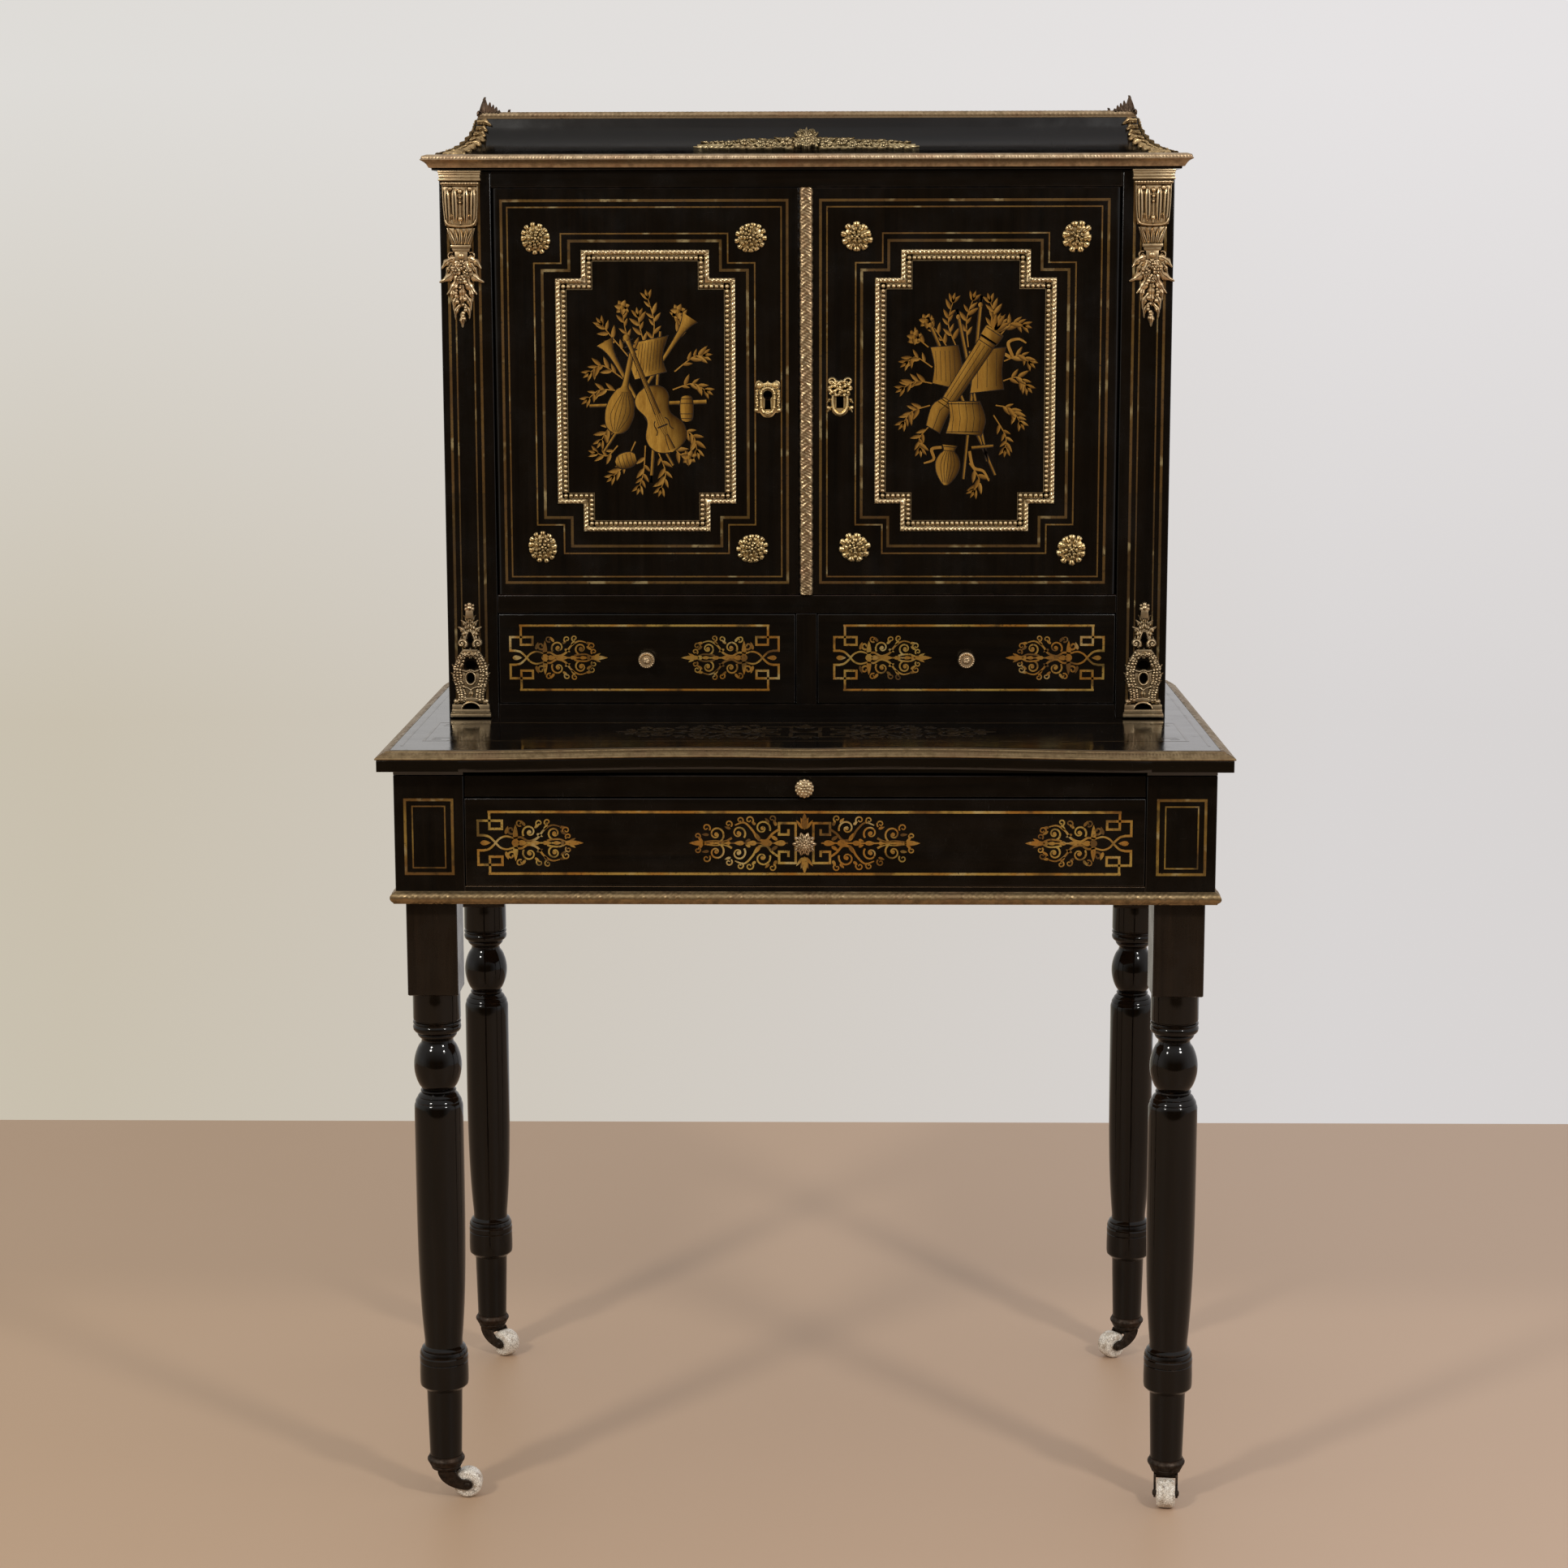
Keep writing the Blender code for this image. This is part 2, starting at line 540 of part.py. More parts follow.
# Table drawer
front_half = STILE_INNER - RUN_GAP
drawer_origin = (0, DRAWER_BACKING_Y, TABLE_DRAWER_Z)
place("table_drawer_front",
      box(-front_half, front_half, APRON_FRONT_Y, DRAWER_BACKING_Y, TABLE_DRAWER_Z,
          TABLE_DRAWER_TOP_Z),
      "ebonised_wood", drawer_origin)
tray_front = DRAWER_BACKING_Y + SEAT_GAP
place("table_drawer_tray",
      tray(-front_half, front_half, tray_front, tray_front + TABLE_TRAY_DEPTH, TABLE_DRAWER_Z,
           BEARER_Z - RUN_GAP, TABLE_TRAY_WALL, TABLE_TRAY_FLOOR),
      "drawer_oak", drawer_origin)
table_knob_z = (TABLE_DRAWER_Z + TABLE_DRAWER_TOP_Z) / 2
place("table_drawer_knob", knob(0, APRON_FRONT_Y, table_knob_z, TABLE_KNOB_RADIUS),
      "gilt_bronze", drawer_origin)

# Writing slide
slide_front = APRON_FRONT_Y + SLIDE_SETBACK
slide_origin = (0, slide_front, SLIDE_Z)
place("writing_slide",
      box(-front_half, front_half, slide_front, slide_front + SLIDE_DEPTH, SLIDE_Z, SLIDE_TOP_Z),
      "ebonised_wood", slide_origin)
place("writing_slide_knob",
      knob(0, slide_front, (SLIDE_Z + SLIDE_TOP_Z) / 2, SLIDE_KNOB_RADIUS),
      "gilt_bronze", slide_origin)

# Cabinet carcass
for side, sign in (("left", -1), ("right", 1)):
    x0, x1 = sorted((sign * CABINET_HALF, sign * CABINET_INNER))
    place(f"cabinet_{side}_side",
          box(x0, x1, PILASTER_BACK_Y + SEAT_GAP, CABINET_BACK_Y, CABINET_Z, CABINET_TOP_Z),
          "ebonised_wood")
    x0, x1 = sorted((sign * CABINET_HALF, sign * PILASTER_INNER))
    place(f"cabinet_{side}_pilaster",
          box(x0, x1, CABINET_FRONT_Y, PILASTER_BACK_Y, CABINET_Z, CABINET_TOP_Z),
          "ebonised_wood")
inside_half = CABINET_INNER - SEAT_GAP
neck_half = PILASTER_INNER - SEAT_GAP
inside_front = PILASTER_BACK_Y + SEAT_GAP
place("cabinet_back",
      box(-inside_half, inside_half, CABINET_BACK_Y - BACK_THICKNESS, CABINET_BACK_Y, CABINET_Z,
          CABINET_TOP_Z),
      "ebonised_wood")
neck_line = [(-neck_half, CABINET_FRONT_Y), (neck_half, CABINET_FRONT_Y)]
cabinet_plan = tee(neck_line, inside_half, inside_front, CABINET_INNER_BACK_Y)
cabinet_bottom = prism(cabinet_plan, CABINET_Z, SMALL_DRAWER_Z)
place("cabinet_bottom",
      with_guides(cabinet_bottom, PILASTER_INNER, inside_half, inside_front, CABINET_INNER_BACK_Y,
                  CABINET_Z + CABINET_BOTTOM_THICKNESS / 2, SMALL_DRAWER_Z + GUIDE_HEIGHT),
      "ebonised_wood")
place("cabinet_drawer_partition",
      box(-PARTITION_THICKNESS / 2, PARTITION_THICKNESS / 2, CABINET_FRONT_Y, CABINET_INNER_BACK_Y,
          SMALL_DRAWER_Z + SEAT_GAP, DECK_Z - SEAT_GAP),
      "ebonised_wood")

# Deck under the doors and frieze rail above them, each bored for the two pivot pins
hole_radius = PIVOT_RADIUS + PIN_GAP
hole_depth = PIVOT_DEPTH + SEAT_GAP


def pin(x, z0, z1, radius):
    return turn([(radius, z1), (radius, z0)], 12, (x, PIVOT_Y))


lower_holes = [pin(x, DECK_TOP_Z - hole_depth, DECK_TOP_Z + MM, hole_radius)
               for x in (-PIVOT_X, PIVOT_X)]
place("cabinet_deck",
      combine(prism(cabinet_plan, DECK_Z, DECK_TOP_Z), lower_holes, "DIFFERENCE"),
      "ebonised_wood")
upper_holes = [pin(x, FRIEZE_Z - MM, FRIEZE_Z + hole_depth, hole_radius)
               for x in (-PIVOT_X, PIVOT_X)]
frieze = box(-neck_half, neck_half, CABINET_FRONT_Y, PILASTER_BACK_Y, FRIEZE_Z, CABINET_TOP_Z)
place("cabinet_frieze_rail", combine(frieze, upper_holes, "DIFFERENCE"), "ebonised_wood")
place("cabinet_shelf",
      box(-inside_half, inside_half, CABINET_FRONT_Y + SHELF_SETBACK, CABINET_INNER_BACK_Y,
          SHELF_Z, SHELF_Z + SHELF_THICKNESS),
      "ebonised_wood")
for side, x in (("left", -PIVOT_X), ("right", PIVOT_X)):
    place(f"{side}_door_lower_pivot",
          pin(x, DECK_TOP_Z - PIVOT_DEPTH, DOOR_Z + PIVOT_DEPTH, PIVOT_RADIUS), "gilt_bronze")
    place(f"{side}_door_upper_pivot",
          pin(x, DOOR_TOP_Z - PIVOT_DEPTH, FRIEZE_Z + PIVOT_DEPTH, PIVOT_RADIUS), "gilt_bronze")


# Doors: the front corner at the hinge edge is rounded about the pivot so that it turns in place
def door_plan(sign, free_x):
    hinge_x = sign * PIVOT_X
    back_y = CABINET_FRONT_Y + DOOR_THICKNESS
    arc = [(hinge_x + sign * PIVOT_INSET * math.cos(a), PIVOT_Y - PIVOT_INSET * math.sin(a))
           for a in (math.pi / 2 * i / 5 for i in range(6))]
    return [(free_x, back_y), (sign * DOOR_OUTER, back_y), *arc, (free_x, CABINET_FRONT_Y)]


door_edges = {"left": (-1, MEETING_X - RUN_GAP), "right": (1, MEETING_X)}
for side, (sign, free_x) in door_edges.items():
    pivot = (sign * PIVOT_X, PIVOT_Y, DOOR_Z)
    holes = [pin(pivot[0], DOOR_Z - MM, DOOR_Z + hole_depth, hole_radius),
             pin(pivot[0], DOOR_TOP_Z - hole_depth, DOOR_TOP_Z + MM, hole_radius)]
    door = prism(door_plan(sign, free_x), DOOR_Z, DOOR_TOP_Z)
    place(f"{side}_door", combine(door, holes, "DIFFERENCE"), "ebonised_wood", pivot)

    def bead_path(offset, proud, sign=sign):
        outline = stepped_outline(sign * BEAD_CENTRE_X, BEAD_CENTRE_Z,
                                  BEAD_HALF_WIDTH - offset, BEAD_HALF_HEIGHT - offset)
        return [(x, CABINET_FRONT_Y - proud, z) for x, z in outline]

    bead_profile = [(0, SEAT_GAP), (0, 0.45 * BEAD_PROUD), (0.3 * BEAD_BAND, 0.8 * BEAD_PROUD),
                    (0.5 * BEAD_BAND, 0.6 * BEAD_PROUD), (0.75 * BEAD_BAND, BEAD_PROUD),
                    (BEAD_BAND, 0.6 * BEAD_PROUD), (BEAD_BAND, SEAT_GAP)]
    place(f"{side}_door_bead_frame", sweep(bead_profile, bead_path, True), "gilt_bronze", pivot)

astragal_section = [(ASTRAGAL_WIDTH / 2 * math.cos(a),
                     CABINET_FRONT_Y - SEAT_GAP - ASTRAGAL_PROUD * math.sin(a))
                    for a in (math.pi * i / 8 for i in range(9))]
place("door_astragal", prism(astragal_section, DOOR_Z, DOOR_TOP_Z), "gilt_bronze",
      (PIVOT_X, PIVOT_Y, DOOR_Z))

# Small drawers
small_z = SMALL_DRAWER_Z + RUN_GAP
small_top = DECK_Z - RUN_GAP
small_near = PARTITION_THICKNESS / 2 + RUN_GAP
small_far = PILASTER_INNER - RUN_GAP
small_back = CABINET_FRONT_Y + SMALL_FRONT_THICKNESS
small_tray_front = small_back + SEAT_GAP
for side, sign in (("left", -1), ("right", 1)):
    x0, x1 = sorted((sign * small_near, sign * small_far))
    origin = ((x0 + x1) / 2, CABINET_FRONT_Y, small_z)
    place(f"{side}_drawer_front", box(x0, x1, CABINET_FRONT_Y, small_back, small_z, small_top),
          "ebonised_wood", origin)
    place(f"{side}_drawer_tray",
          tray(x0, x1, small_tray_front, small_tray_front + SMALL_TRAY_DEPTH, small_z,
               small_z + SMALL_TRAY_HEIGHT, SMALL_TRAY_WALL, SMALL_TRAY_FLOOR),
          "drawer_oak", origin)
    place(f"{side}_drawer_knob",
          knob(origin[0], CABINET_FRONT_Y, (small_z + small_top) / 2, SMALL_KNOB_RADIUS),
          "gilt_bronze", origin)

# Cornice board and its moulding
board_half = CORNICE_HALF - CORNICE_MOULDING_WIDTH - SEAT_GAP
board_front = CORNICE_FRONT_Y + CORNICE_MOULDING_WIDTH + SEAT_GAP
place("cornice_board",
      box(-board_half, board_half, board_front, CABINET_BACK_Y, CORNICE_Z, CORNICE_TOP_Z),
      "ebonised_wood")


def cornice_path(offset, z):
    half = CORNICE_HALF - offset
    front = CORNICE_FRONT_Y + offset
    return [(-half, CABINET_BACK_Y, z), (-half, front, z), (half, front, z),
            (half, CABINET_BACK_Y, z)]


cornice_low_z = CORNICE_TOP_Z - CORNICE_MOULDING_HEIGHT
cornice_profile = [(CORNICE_MOULDING_WIDTH, cornice_low_z),
                   (0.65 * CORNICE_MOULDING_WIDTH, cornice_low_z),
                   (0.55 * CORNICE_MOULDING_WIDTH, cornice_low_z + 0.3 * CORNICE_MOULDING_HEIGHT),
                   (0.2 * CORNICE_MOULDING_WIDTH, cornice_low_z + 0.55 * CORNICE_MOULDING_HEIGHT),
                   (0, cornice_low_z + 0.75 * CORNICE_MOULDING_HEIGHT),
                   (0, CORNICE_TOP_Z), (CORNICE_MOULDING_WIDTH, CORNICE_TOP_Z)]
place("cornice_moulding", sweep(cornice_profile, cornice_path, False), "gilt_bronze")

# Crown: a quarter-round cove that draws in towards the rim, with a flat field inside the rim
crown_half = CORNICE_HALF - COVE_FOOT_INSET
crown_front = CORNICE_FRONT_Y + COVE_FOOT_INSET
crown_rings = []
for i in range(COVE_STEPS + 1):
    angle = math.pi / 2 * i / COVE_STEPS
    inset = COVE_RUN * math.sin(angle)
    z = COVE_Z + COVE_HEIGHT * (1 - math.cos(angle))
    half, front = crown_half - inset, crown_front + inset
    crown_rings.append([(-half, front, z), (half, front, z), (half, CABINET_BACK_Y, z),
                        (-half, CABINET_BACK_Y, z)])
rim_half = crown_half - COVE_RUN - RIM_INSET
rim_front = crown_front + COVE_RUN + RIM_INSET
rim_back = CABINET_BACK_Y - RIM_BACK_INSET
field_edge = RIM_THICKNESS + SEAT_GAP
for z in (COVE_TOP_Z, COVE_TOP_Z + CROWN_FIELD):
    half, front, back = rim_half - field_edge, rim_front + field_edge, rim_back - field_edge
    crown_rings.append([(-half, front, z), (half, front, z), (half, back, z), (-half, back, z)])
place("coved_crown", stack(crown_rings), "ebonised_wood")


# Rim round the crown's top, cast in one with a leaf at each corner
def rim_path(offset, z):
    half = rim_half - offset
    return [(-half, rim_front + offset, z), (half, rim_front + offset, z),
            (half, rim_back - offset, z), (-half, rim_back - offset, z)]


rim_top = RIM_Z + RIM_HEIGHT
rim_profile = [(0, RIM_Z), (0, rim_top), (RIM_THICKNESS, rim_top), (RIM_THICKNESS, RIM_Z)]
leaf_outline = [(1, 0.2), (0.75, 0.3), (0.5, 0.5), (0.3, 0.8), (0, 1)]
leaf_low = RIM_Z + RIM_HEIGHT / 2
leaf_rise = RIM_HEIGHT / 2 + CORNER_LEAF_HEIGHT
leaf_outer, leaf_inner = 0.1 * RIM_THICKNESS, 0.9 * RIM_THICKNESS


def corner_leaf(sx, sy, corner_y):
    """A leaf that stands on a corner of the rim, bent round it and sloping down both ways."""
    rings = []
    for wing in (leaf_outline, leaf_outline[-2::-1]):
        for u, w in wing:
            top = leaf_low + w * leaf_rise
            run = u * CORNER_LEAF_LENGTH
            ring = []
            for v, z in ((leaf_outer, leaf_low), (leaf_outer, top), (leaf_inner, top),
                         (leaf_inner, leaf_low)):
                across, along = (v, max(v, run)) if wing is leaf_outline else (max(v, run), v)
                ring.append((sx * (rim_half - along), corner_y + sy * across, z))
            rings.append(ring)
    return stack(rings)


leaves = [corner_leaf(sx, sy, corner_y) for sx in (-1, 1)
          for corner_y, sy in ((rim_front, 1), (rim_back, -1))]
place("crown_rim", combine(sweep(rim_profile, rim_path, True), leaves, "UNION"), "gilt_bronze")


# Legs: a square block over a turned shaft, in one piece
def leg_profile():
    """(radius, level) points of the turned part from the block's underside to the foot."""
    z = LEG_TOP_Z - LEG_BLOCK_LENGTH
    points = [(LEG_NECK_RADIUS, z), (LEG_NECK_RADIUS, z - LEG_NECK_LENGTH)]
    z -= LEG_NECK_LENGTH
    groove = LEG_RING_RADIUS - LEG_GROOVE_DEPTH
    points += [(groove, z - 0.15 * LEG_RING_LENGTH), (LEG_RING_RADIUS, z - 0.4 * LEG_RING_LENGTH),
               (LEG_RING_RADIUS, z - LEG_RING_LENGTH)]
    z -= LEG_RING_LENGTH
    points += [(LEG_COVE_RADIUS, z - 0.4 * LEG_COVE_LENGTH), (LEG_COVE_RADIUS, z - LEG_COVE_LENGTH)]
    z -= LEG_COVE_LENGTH
    ball_middle = z - LEG_BALL_LENGTH / 2
    polar = math.acos(LEG_COVE_RADIUS / LEG_BALL_RADIUS)
    for i in range(1, 6):
        angle = polar * (1 - 2 * i / 6)
        rise = math.sin(angle) / math.sin(polar) * LEG_BALL_LENGTH / 2
        points.append((LEG_BALL_RADIUS * math.cos(angle), ball_middle + rise))
    z -= LEG_BALL_LENGTH
    points += [(LEG_COVE_RADIUS, z), (LEG_COVE_RADIUS, z - 0.2 * LEG_SHOULDER_LENGTH),
               (LEG_SHOULDER_RADIUS, z - 0.45 * LEG_SHOULDER_LENGTH),
               (LEG_SHOULDER_RADIUS, z - 0.85 * LEG_SHOULDER_LENGTH),
               (LEG_SHOULDER_RADIUS - LEG_GROOVE_DEPTH, z - LEG_SHOULDER_LENGTH)]
    z -= LEG_SHOULDER_LENGTH
    foot_top = SOCKET_TOP_Z + LEG_LOWER_LENGTH
    collar_top = foot_top + LEG_COLLAR_LENGTH
    for t in (0.03, 0.45, 0.7, 0.88, 1):
        radius = LEG_SHAFT_RADIUS + (LEG_ANKLE_RADIUS - LEG_SHAFT_RADIUS) * t ** 4
        points.append((radius, z + (collar_top - z) * t * 0.97))
    points += [(LEG_COLLAR_RADIUS, collar_top), (LEG_COLLAR_RADIUS, foot_top),
               (LEG_LOWER_RADIUS, foot_top), (LEG_FOOT_RADIUS, SOCKET_TOP_Z),
               (LEG_FOOT_RADIUS, LEG_Z)]
    return points


def leg(x, y):
    bm = bmesh.new()
    profile = leg_profile()
    turn(profile, LEG_SIDES, (x, y), bm)
    bm.faces.ensure_lookup_table()
    seat_z = profile[0][1]
    cap = next(f for f in bm.faces if len(f.verts) == LEG_SIDES and f.calc_center_median().z
               > seat_z - MM)
    rim = list(cap.verts)
    bm.faces.remove(cap)
    half = LEG_BLOCK_SIDE / 2
    plan = [(x + half, y + half), (x - half, y + half), (x - half, y - half), (x + half, y - half)]
    low = [bm.verts.new((px, py, seat_z)) for px, py in plan]
    high = [bm.verts.new((px, py, LEG_TOP_Z)) for px, py in plan]
    bm.faces.new(high)
    for k in range(4):
        bm.faces.new((low[k], low[k - 1], high[k - 1], high[k]))
    # The block's underside: each corner fans out to its quarter of the turned neck
    rim.sort(key=lambda v: math.atan2(v.co.y - y, v.co.x - x) % (2 * math.pi))
    quarter = LEG_SIDES // 4
    for k in range(4):
        for i in range(k * quarter, (k + 1) * quarter):
            bm.faces.new((low[k], rim[i], rim[(i + 1) % LEG_SIDES]))
        bm.faces.new((low[k - 1], low[k], rim[k * quarter]))
    return bm


# Casters: a cup on the leg's foot, a fork that swivels in it and a wheel on the fork's axle
def socket(x, y):
    recess_radius = LEG_FOOT_RADIUS + PIN_GAP
    recess_z = SOCKET_TOP_Z - SOCKET_RECESS
    hole = SWIVEL_PIN_RADIUS + PIN_GAP
    hole_top = SOCKET_Z + SWIVEL_PIN_LENGTH + SEAT_GAP
    profile = [(0, recess_z), (recess_radius, recess_z), (recess_radius, SOCKET_TOP_Z),
               (SOCKET_RADIUS - MM, SOCKET_TOP_Z), (SOCKET_RADIUS, SOCKET_TOP_Z - MM),
               (SOCKET_RADIUS, SOCKET_TOP_Z - SOCKET_LIP), (SWIVEL_RADIUS + MM, SOCKET_Z),
               (hole, SOCKET_Z), (hole, hole_top), (0, hole_top)]
    return turn(profile, SOCKET_SIDES, (x, y))


def fork():
    """The fork about its swivel axis, trailing towards +X."""
    crown_top = SOCKET_Z - SEAT_GAP
    crown_low = crown_top - FORK_CROWN
    inner = WHEEL_WIDTH / 2 + WHEEL_SIDE_GAP
    outer = inner + FORK_ARM
    crown = box(-0.7 * SWIVEL_RADIUS, SWIVEL_RADIUS, -outer, outer, crown_low, crown_top)
    end = [(CASTER_TRAIL + FORK_END_RADIUS * math.cos(a),
            WHEEL_RADIUS + FORK_END_RADIUS * math.sin(a))
           for a in (math.radians(75 - 190 * i / 8) for i in range(9))]
    arm_outline = [(-0.7 * SWIVEL_RADIUS, crown_top), (SWIVEL_RADIUS, crown_top), *end,
                   (0, crown_low - FORK_CROWN)]
    arms = []
    for y0, y1 in ((-outer, -inner), (inner, outer)):
        arms.append(stack([[(u, y, w) for u, w in arm_outline] for y in (y0, y1)]))
    axle = turn([(AXLE_RADIUS, inner + FORK_ARM / 2), (AXLE_RADIUS, -inner - FORK_ARM / 2)], 12)
    seat = Matrix.Translation((CASTER_TRAIL, 0, WHEEL_RADIUS)) @ Matrix.Rotation(math.pi / 2, 4, "X")
    bmesh.ops.transform(axle, matrix=seat, verts=axle.verts)
    stem = turn([(SWIVEL_PIN_RADIUS, SOCKET_Z + SWIVEL_PIN_LENGTH),
                 (SWIVEL_PIN_RADIUS, crown_low + FORK_CROWN / 2)], 12)
    return combine(crown, [*arms, axle, stem], "UNION")


def wheel():
    """The wheel on its axle, with a flat facet on the floor."""
    half = WHEEL_WIDTH / 2
    flat_radius = WHEEL_RADIUS / math.cos(math.pi / WHEEL_SIDES)
    bore = AXLE_RADIUS + PIN_GAP
    outline = [(bore, half), (flat_radius - WHEEL_EDGE, half), (flat_radius, half - WHEEL_EDGE),
               (flat_radius, WHEEL_EDGE - half), (flat_radius - WHEEL_EDGE, -half), (bore, -half)]

    def ring_path(radius, level):
        step = 2 * math.pi / WHEEL_SIDES
        return [(radius * math.cos(step * (i + 0.5)), radius * math.sin(step * (i + 0.5)), level)
                for i in range(WHEEL_SIDES)]

    bm = sweep(outline, ring_path, True)
    seat = Matrix.Translation((CASTER_TRAIL, 0, WHEEL_RADIUS)) @ Matrix.Rotation(math.pi / 2, 4, "X")
    bmesh.ops.transform(bm, matrix=seat, verts=bm.verts)
    return bm


for corner, (x, y) in LEG_PLACES.items():
    heading = math.radians(CASTER_HEADINGS[corner])
    trail = Vector((math.cos(heading), math.sin(heading), 0)) * CASTER_TRAIL
    to_place = Matrix.Translation((x, y, 0)) @ Matrix.Rotation(heading, 4, "Z")
    place(f"{corner}_leg", leg(x, y), "ebonised_wood", (x, y, 0))
    place(f"{corner}_caster_socket", socket(x, y), "caster_iron", (x, y, 0))
    fork_mesh = fork()
    bmesh.ops.transform(fork_mesh, matrix=to_place, verts=fork_mesh.verts)
    place(f"{corner}_caster_fork", fork_mesh, "caster_iron", (x, y, 0))
    wheel_mesh = wheel()
    bmesh.ops.transform(wheel_mesh, matrix=to_place, verts=wheel_mesh.verts)
    place(f"{corner}_caster_wheel", wheel_mesh, "porcelain",
          (x + trail.x, y + trail.y, WHEEL_RADIUS))
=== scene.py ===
"""Bonheur du jour: finishes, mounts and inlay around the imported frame.

Metres, +Z up, the front facing -Y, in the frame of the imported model.
"""

import json
import math
import random

import bmesh
import bpy
from mathutils import Matrix, Vector

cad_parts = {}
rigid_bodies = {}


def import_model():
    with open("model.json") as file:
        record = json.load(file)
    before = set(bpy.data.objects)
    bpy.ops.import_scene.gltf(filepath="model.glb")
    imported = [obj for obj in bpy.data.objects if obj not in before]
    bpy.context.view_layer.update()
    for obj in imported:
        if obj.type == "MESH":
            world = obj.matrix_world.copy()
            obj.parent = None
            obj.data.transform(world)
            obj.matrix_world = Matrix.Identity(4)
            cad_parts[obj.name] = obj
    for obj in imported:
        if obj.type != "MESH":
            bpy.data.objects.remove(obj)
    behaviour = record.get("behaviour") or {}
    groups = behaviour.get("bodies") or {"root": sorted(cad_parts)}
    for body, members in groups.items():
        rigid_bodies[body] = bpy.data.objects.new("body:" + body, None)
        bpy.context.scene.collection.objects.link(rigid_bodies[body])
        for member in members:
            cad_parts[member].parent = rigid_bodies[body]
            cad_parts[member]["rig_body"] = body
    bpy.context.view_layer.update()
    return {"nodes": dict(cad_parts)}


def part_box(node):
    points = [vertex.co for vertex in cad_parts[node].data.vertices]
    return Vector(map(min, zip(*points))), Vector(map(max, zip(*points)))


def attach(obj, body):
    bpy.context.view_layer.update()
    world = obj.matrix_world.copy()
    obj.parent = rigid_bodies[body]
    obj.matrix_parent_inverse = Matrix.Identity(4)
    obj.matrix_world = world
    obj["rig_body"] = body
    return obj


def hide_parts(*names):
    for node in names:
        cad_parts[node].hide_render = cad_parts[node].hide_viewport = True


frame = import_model()

MM = 0.001

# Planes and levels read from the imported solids
DOOR_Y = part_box("left_door")[0].y
TOP_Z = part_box("table_top")[1].z
TOP_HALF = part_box("table_top_moulding")[1].x
TOP_FRONT_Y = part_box("table_top_moulding")[0].y
TOP_BACK_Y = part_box("table_top_moulding")[1].y
APRON_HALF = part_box("table_right_apron")[1].x
APRON_FRONT_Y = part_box("table_front_left_stile")[0].y
APRON_BACK_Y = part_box("table_back_apron")[1].y
APRON_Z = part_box("table_left_apron")[0].z
CABINET_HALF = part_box("cabinet_right_side")[1].x
CROWN_LOW, CROWN_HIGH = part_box("coved_crown")
RIM_LOW, RIM_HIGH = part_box("crown_rim")
CORNICE_LOW, CORNICE_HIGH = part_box("cornice_moulding")

# The serpentine front of the table top, as in the solids
HOLLOW_DEPTH, HOLLOW_OUTER, HOLLOW_INNER = 20 * MM, 330 * MM, 110 * MM
BOW_DEPTH, BOW_HALF = 6 * MM, 75 * MM
HOLLOW_STEPS = 36

COVE_RUN, COVE_HEIGHT = 37 * MM, 36 * MM

# Inlay, in millimetres: how far it stands above the wood, the step where one shape lies over
# another, and how deep it is let in
INLAY_PROUD, INLAY_STEP, INLAY_SUNK = 0.12, 0.03, 0.4
CHANCE = random.Random(7)

SIDES = (("left", -1), ("right", 1))


def smoothstep(t):
    t = min(max(t, 0), 1)
    return t * t * (3 - 2 * t)


def bow(x):
    hollow = smoothstep((HOLLOW_OUTER - abs(x)) / (HOLLOW_OUTER - HOLLOW_INNER))
    return HOLLOW_DEPTH * hollow - BOW_DEPTH * smoothstep((BOW_HALF - abs(x)) / BOW_HALF)


def recess(x):
    """How far the top's front lies behind its corners, straight between the solids' stations."""
    if abs(x) >= HOLLOW_OUTER:
        return 0.0
    step = 2 * HOLLOW_OUTER / HOLLOW_STEPS
    place = (x + HOLLOW_OUTER) / step
    i = int(place)
    before, after = bow(i * step - HOLLOW_OUTER), bow((i + 1) * step - HOLLOW_OUTER)
    return before + (after - before) * (place - i)


# Faces that flat work lies on: each takes (across, up, out) to a point


def door_face(u, v, w):
    return Vector((u, DOOR_Y - w, v))


def apron_face(u, v, w):
    return Vector((u, APRON_FRONT_Y - w, v))


def top_face(u, v, w):
    return Vector((u, v, TOP_Z + w))


def side_face(sign, x):
    return lambda u, v, w: Vector((sign * (x + w), u, v))


def cove_point(run, a):
    """A point of the cove's section at an angle from its foot: distance inwards and level."""
    return run * math.sin(a), CROWN_LOW.z + COVE_HEIGHT * (1 - math.cos(a))


def cove_face(u, v, w):
    """The front of the cove; v is the distance up its curve."""
    a = v / COVE_HEIGHT
    inward, level = cove_point(COVE_RUN, a)
    return Vector((u, CROWN_LOW.y + inward - w * math.sin(a), level + w * math.cos(a)))


# Shader node helpers


def feed(tree, socket, value):
    """Link a socket, or set it; a colour is given without its alpha."""
    if isinstance(value, bpy.types.NodeSocket):
        tree.links.new(value, socket)
    elif socket.type == "RGBA" and len(value) == 3:
        socket.default_value = (*value, 1.0)
    else:
        socket.default_value = value


def wire(tree, made, inputs):
    for key, value in inputs.items():
        feed(tree, made.inputs[key], value)


def node(tree, kind, inputs=None, **settings):
    made = tree.nodes.new(kind)
    for key, value in settings.items():
        setattr(made, key, value)
    wire(tree, made, inputs or {})
    return made


def maths(tree, operation, a, b=0.0, clamp=False):
    return node(tree, "ShaderNodeMath", {0: a, 1: b}, operation=operation,
                use_clamp=clamp).outputs[0]


def mixed(tree, factor, a, b):
    return node(tree, "ShaderNodeMix", {0: factor, 6: a, 7: b}, data_type="RGBA").outputs[2]


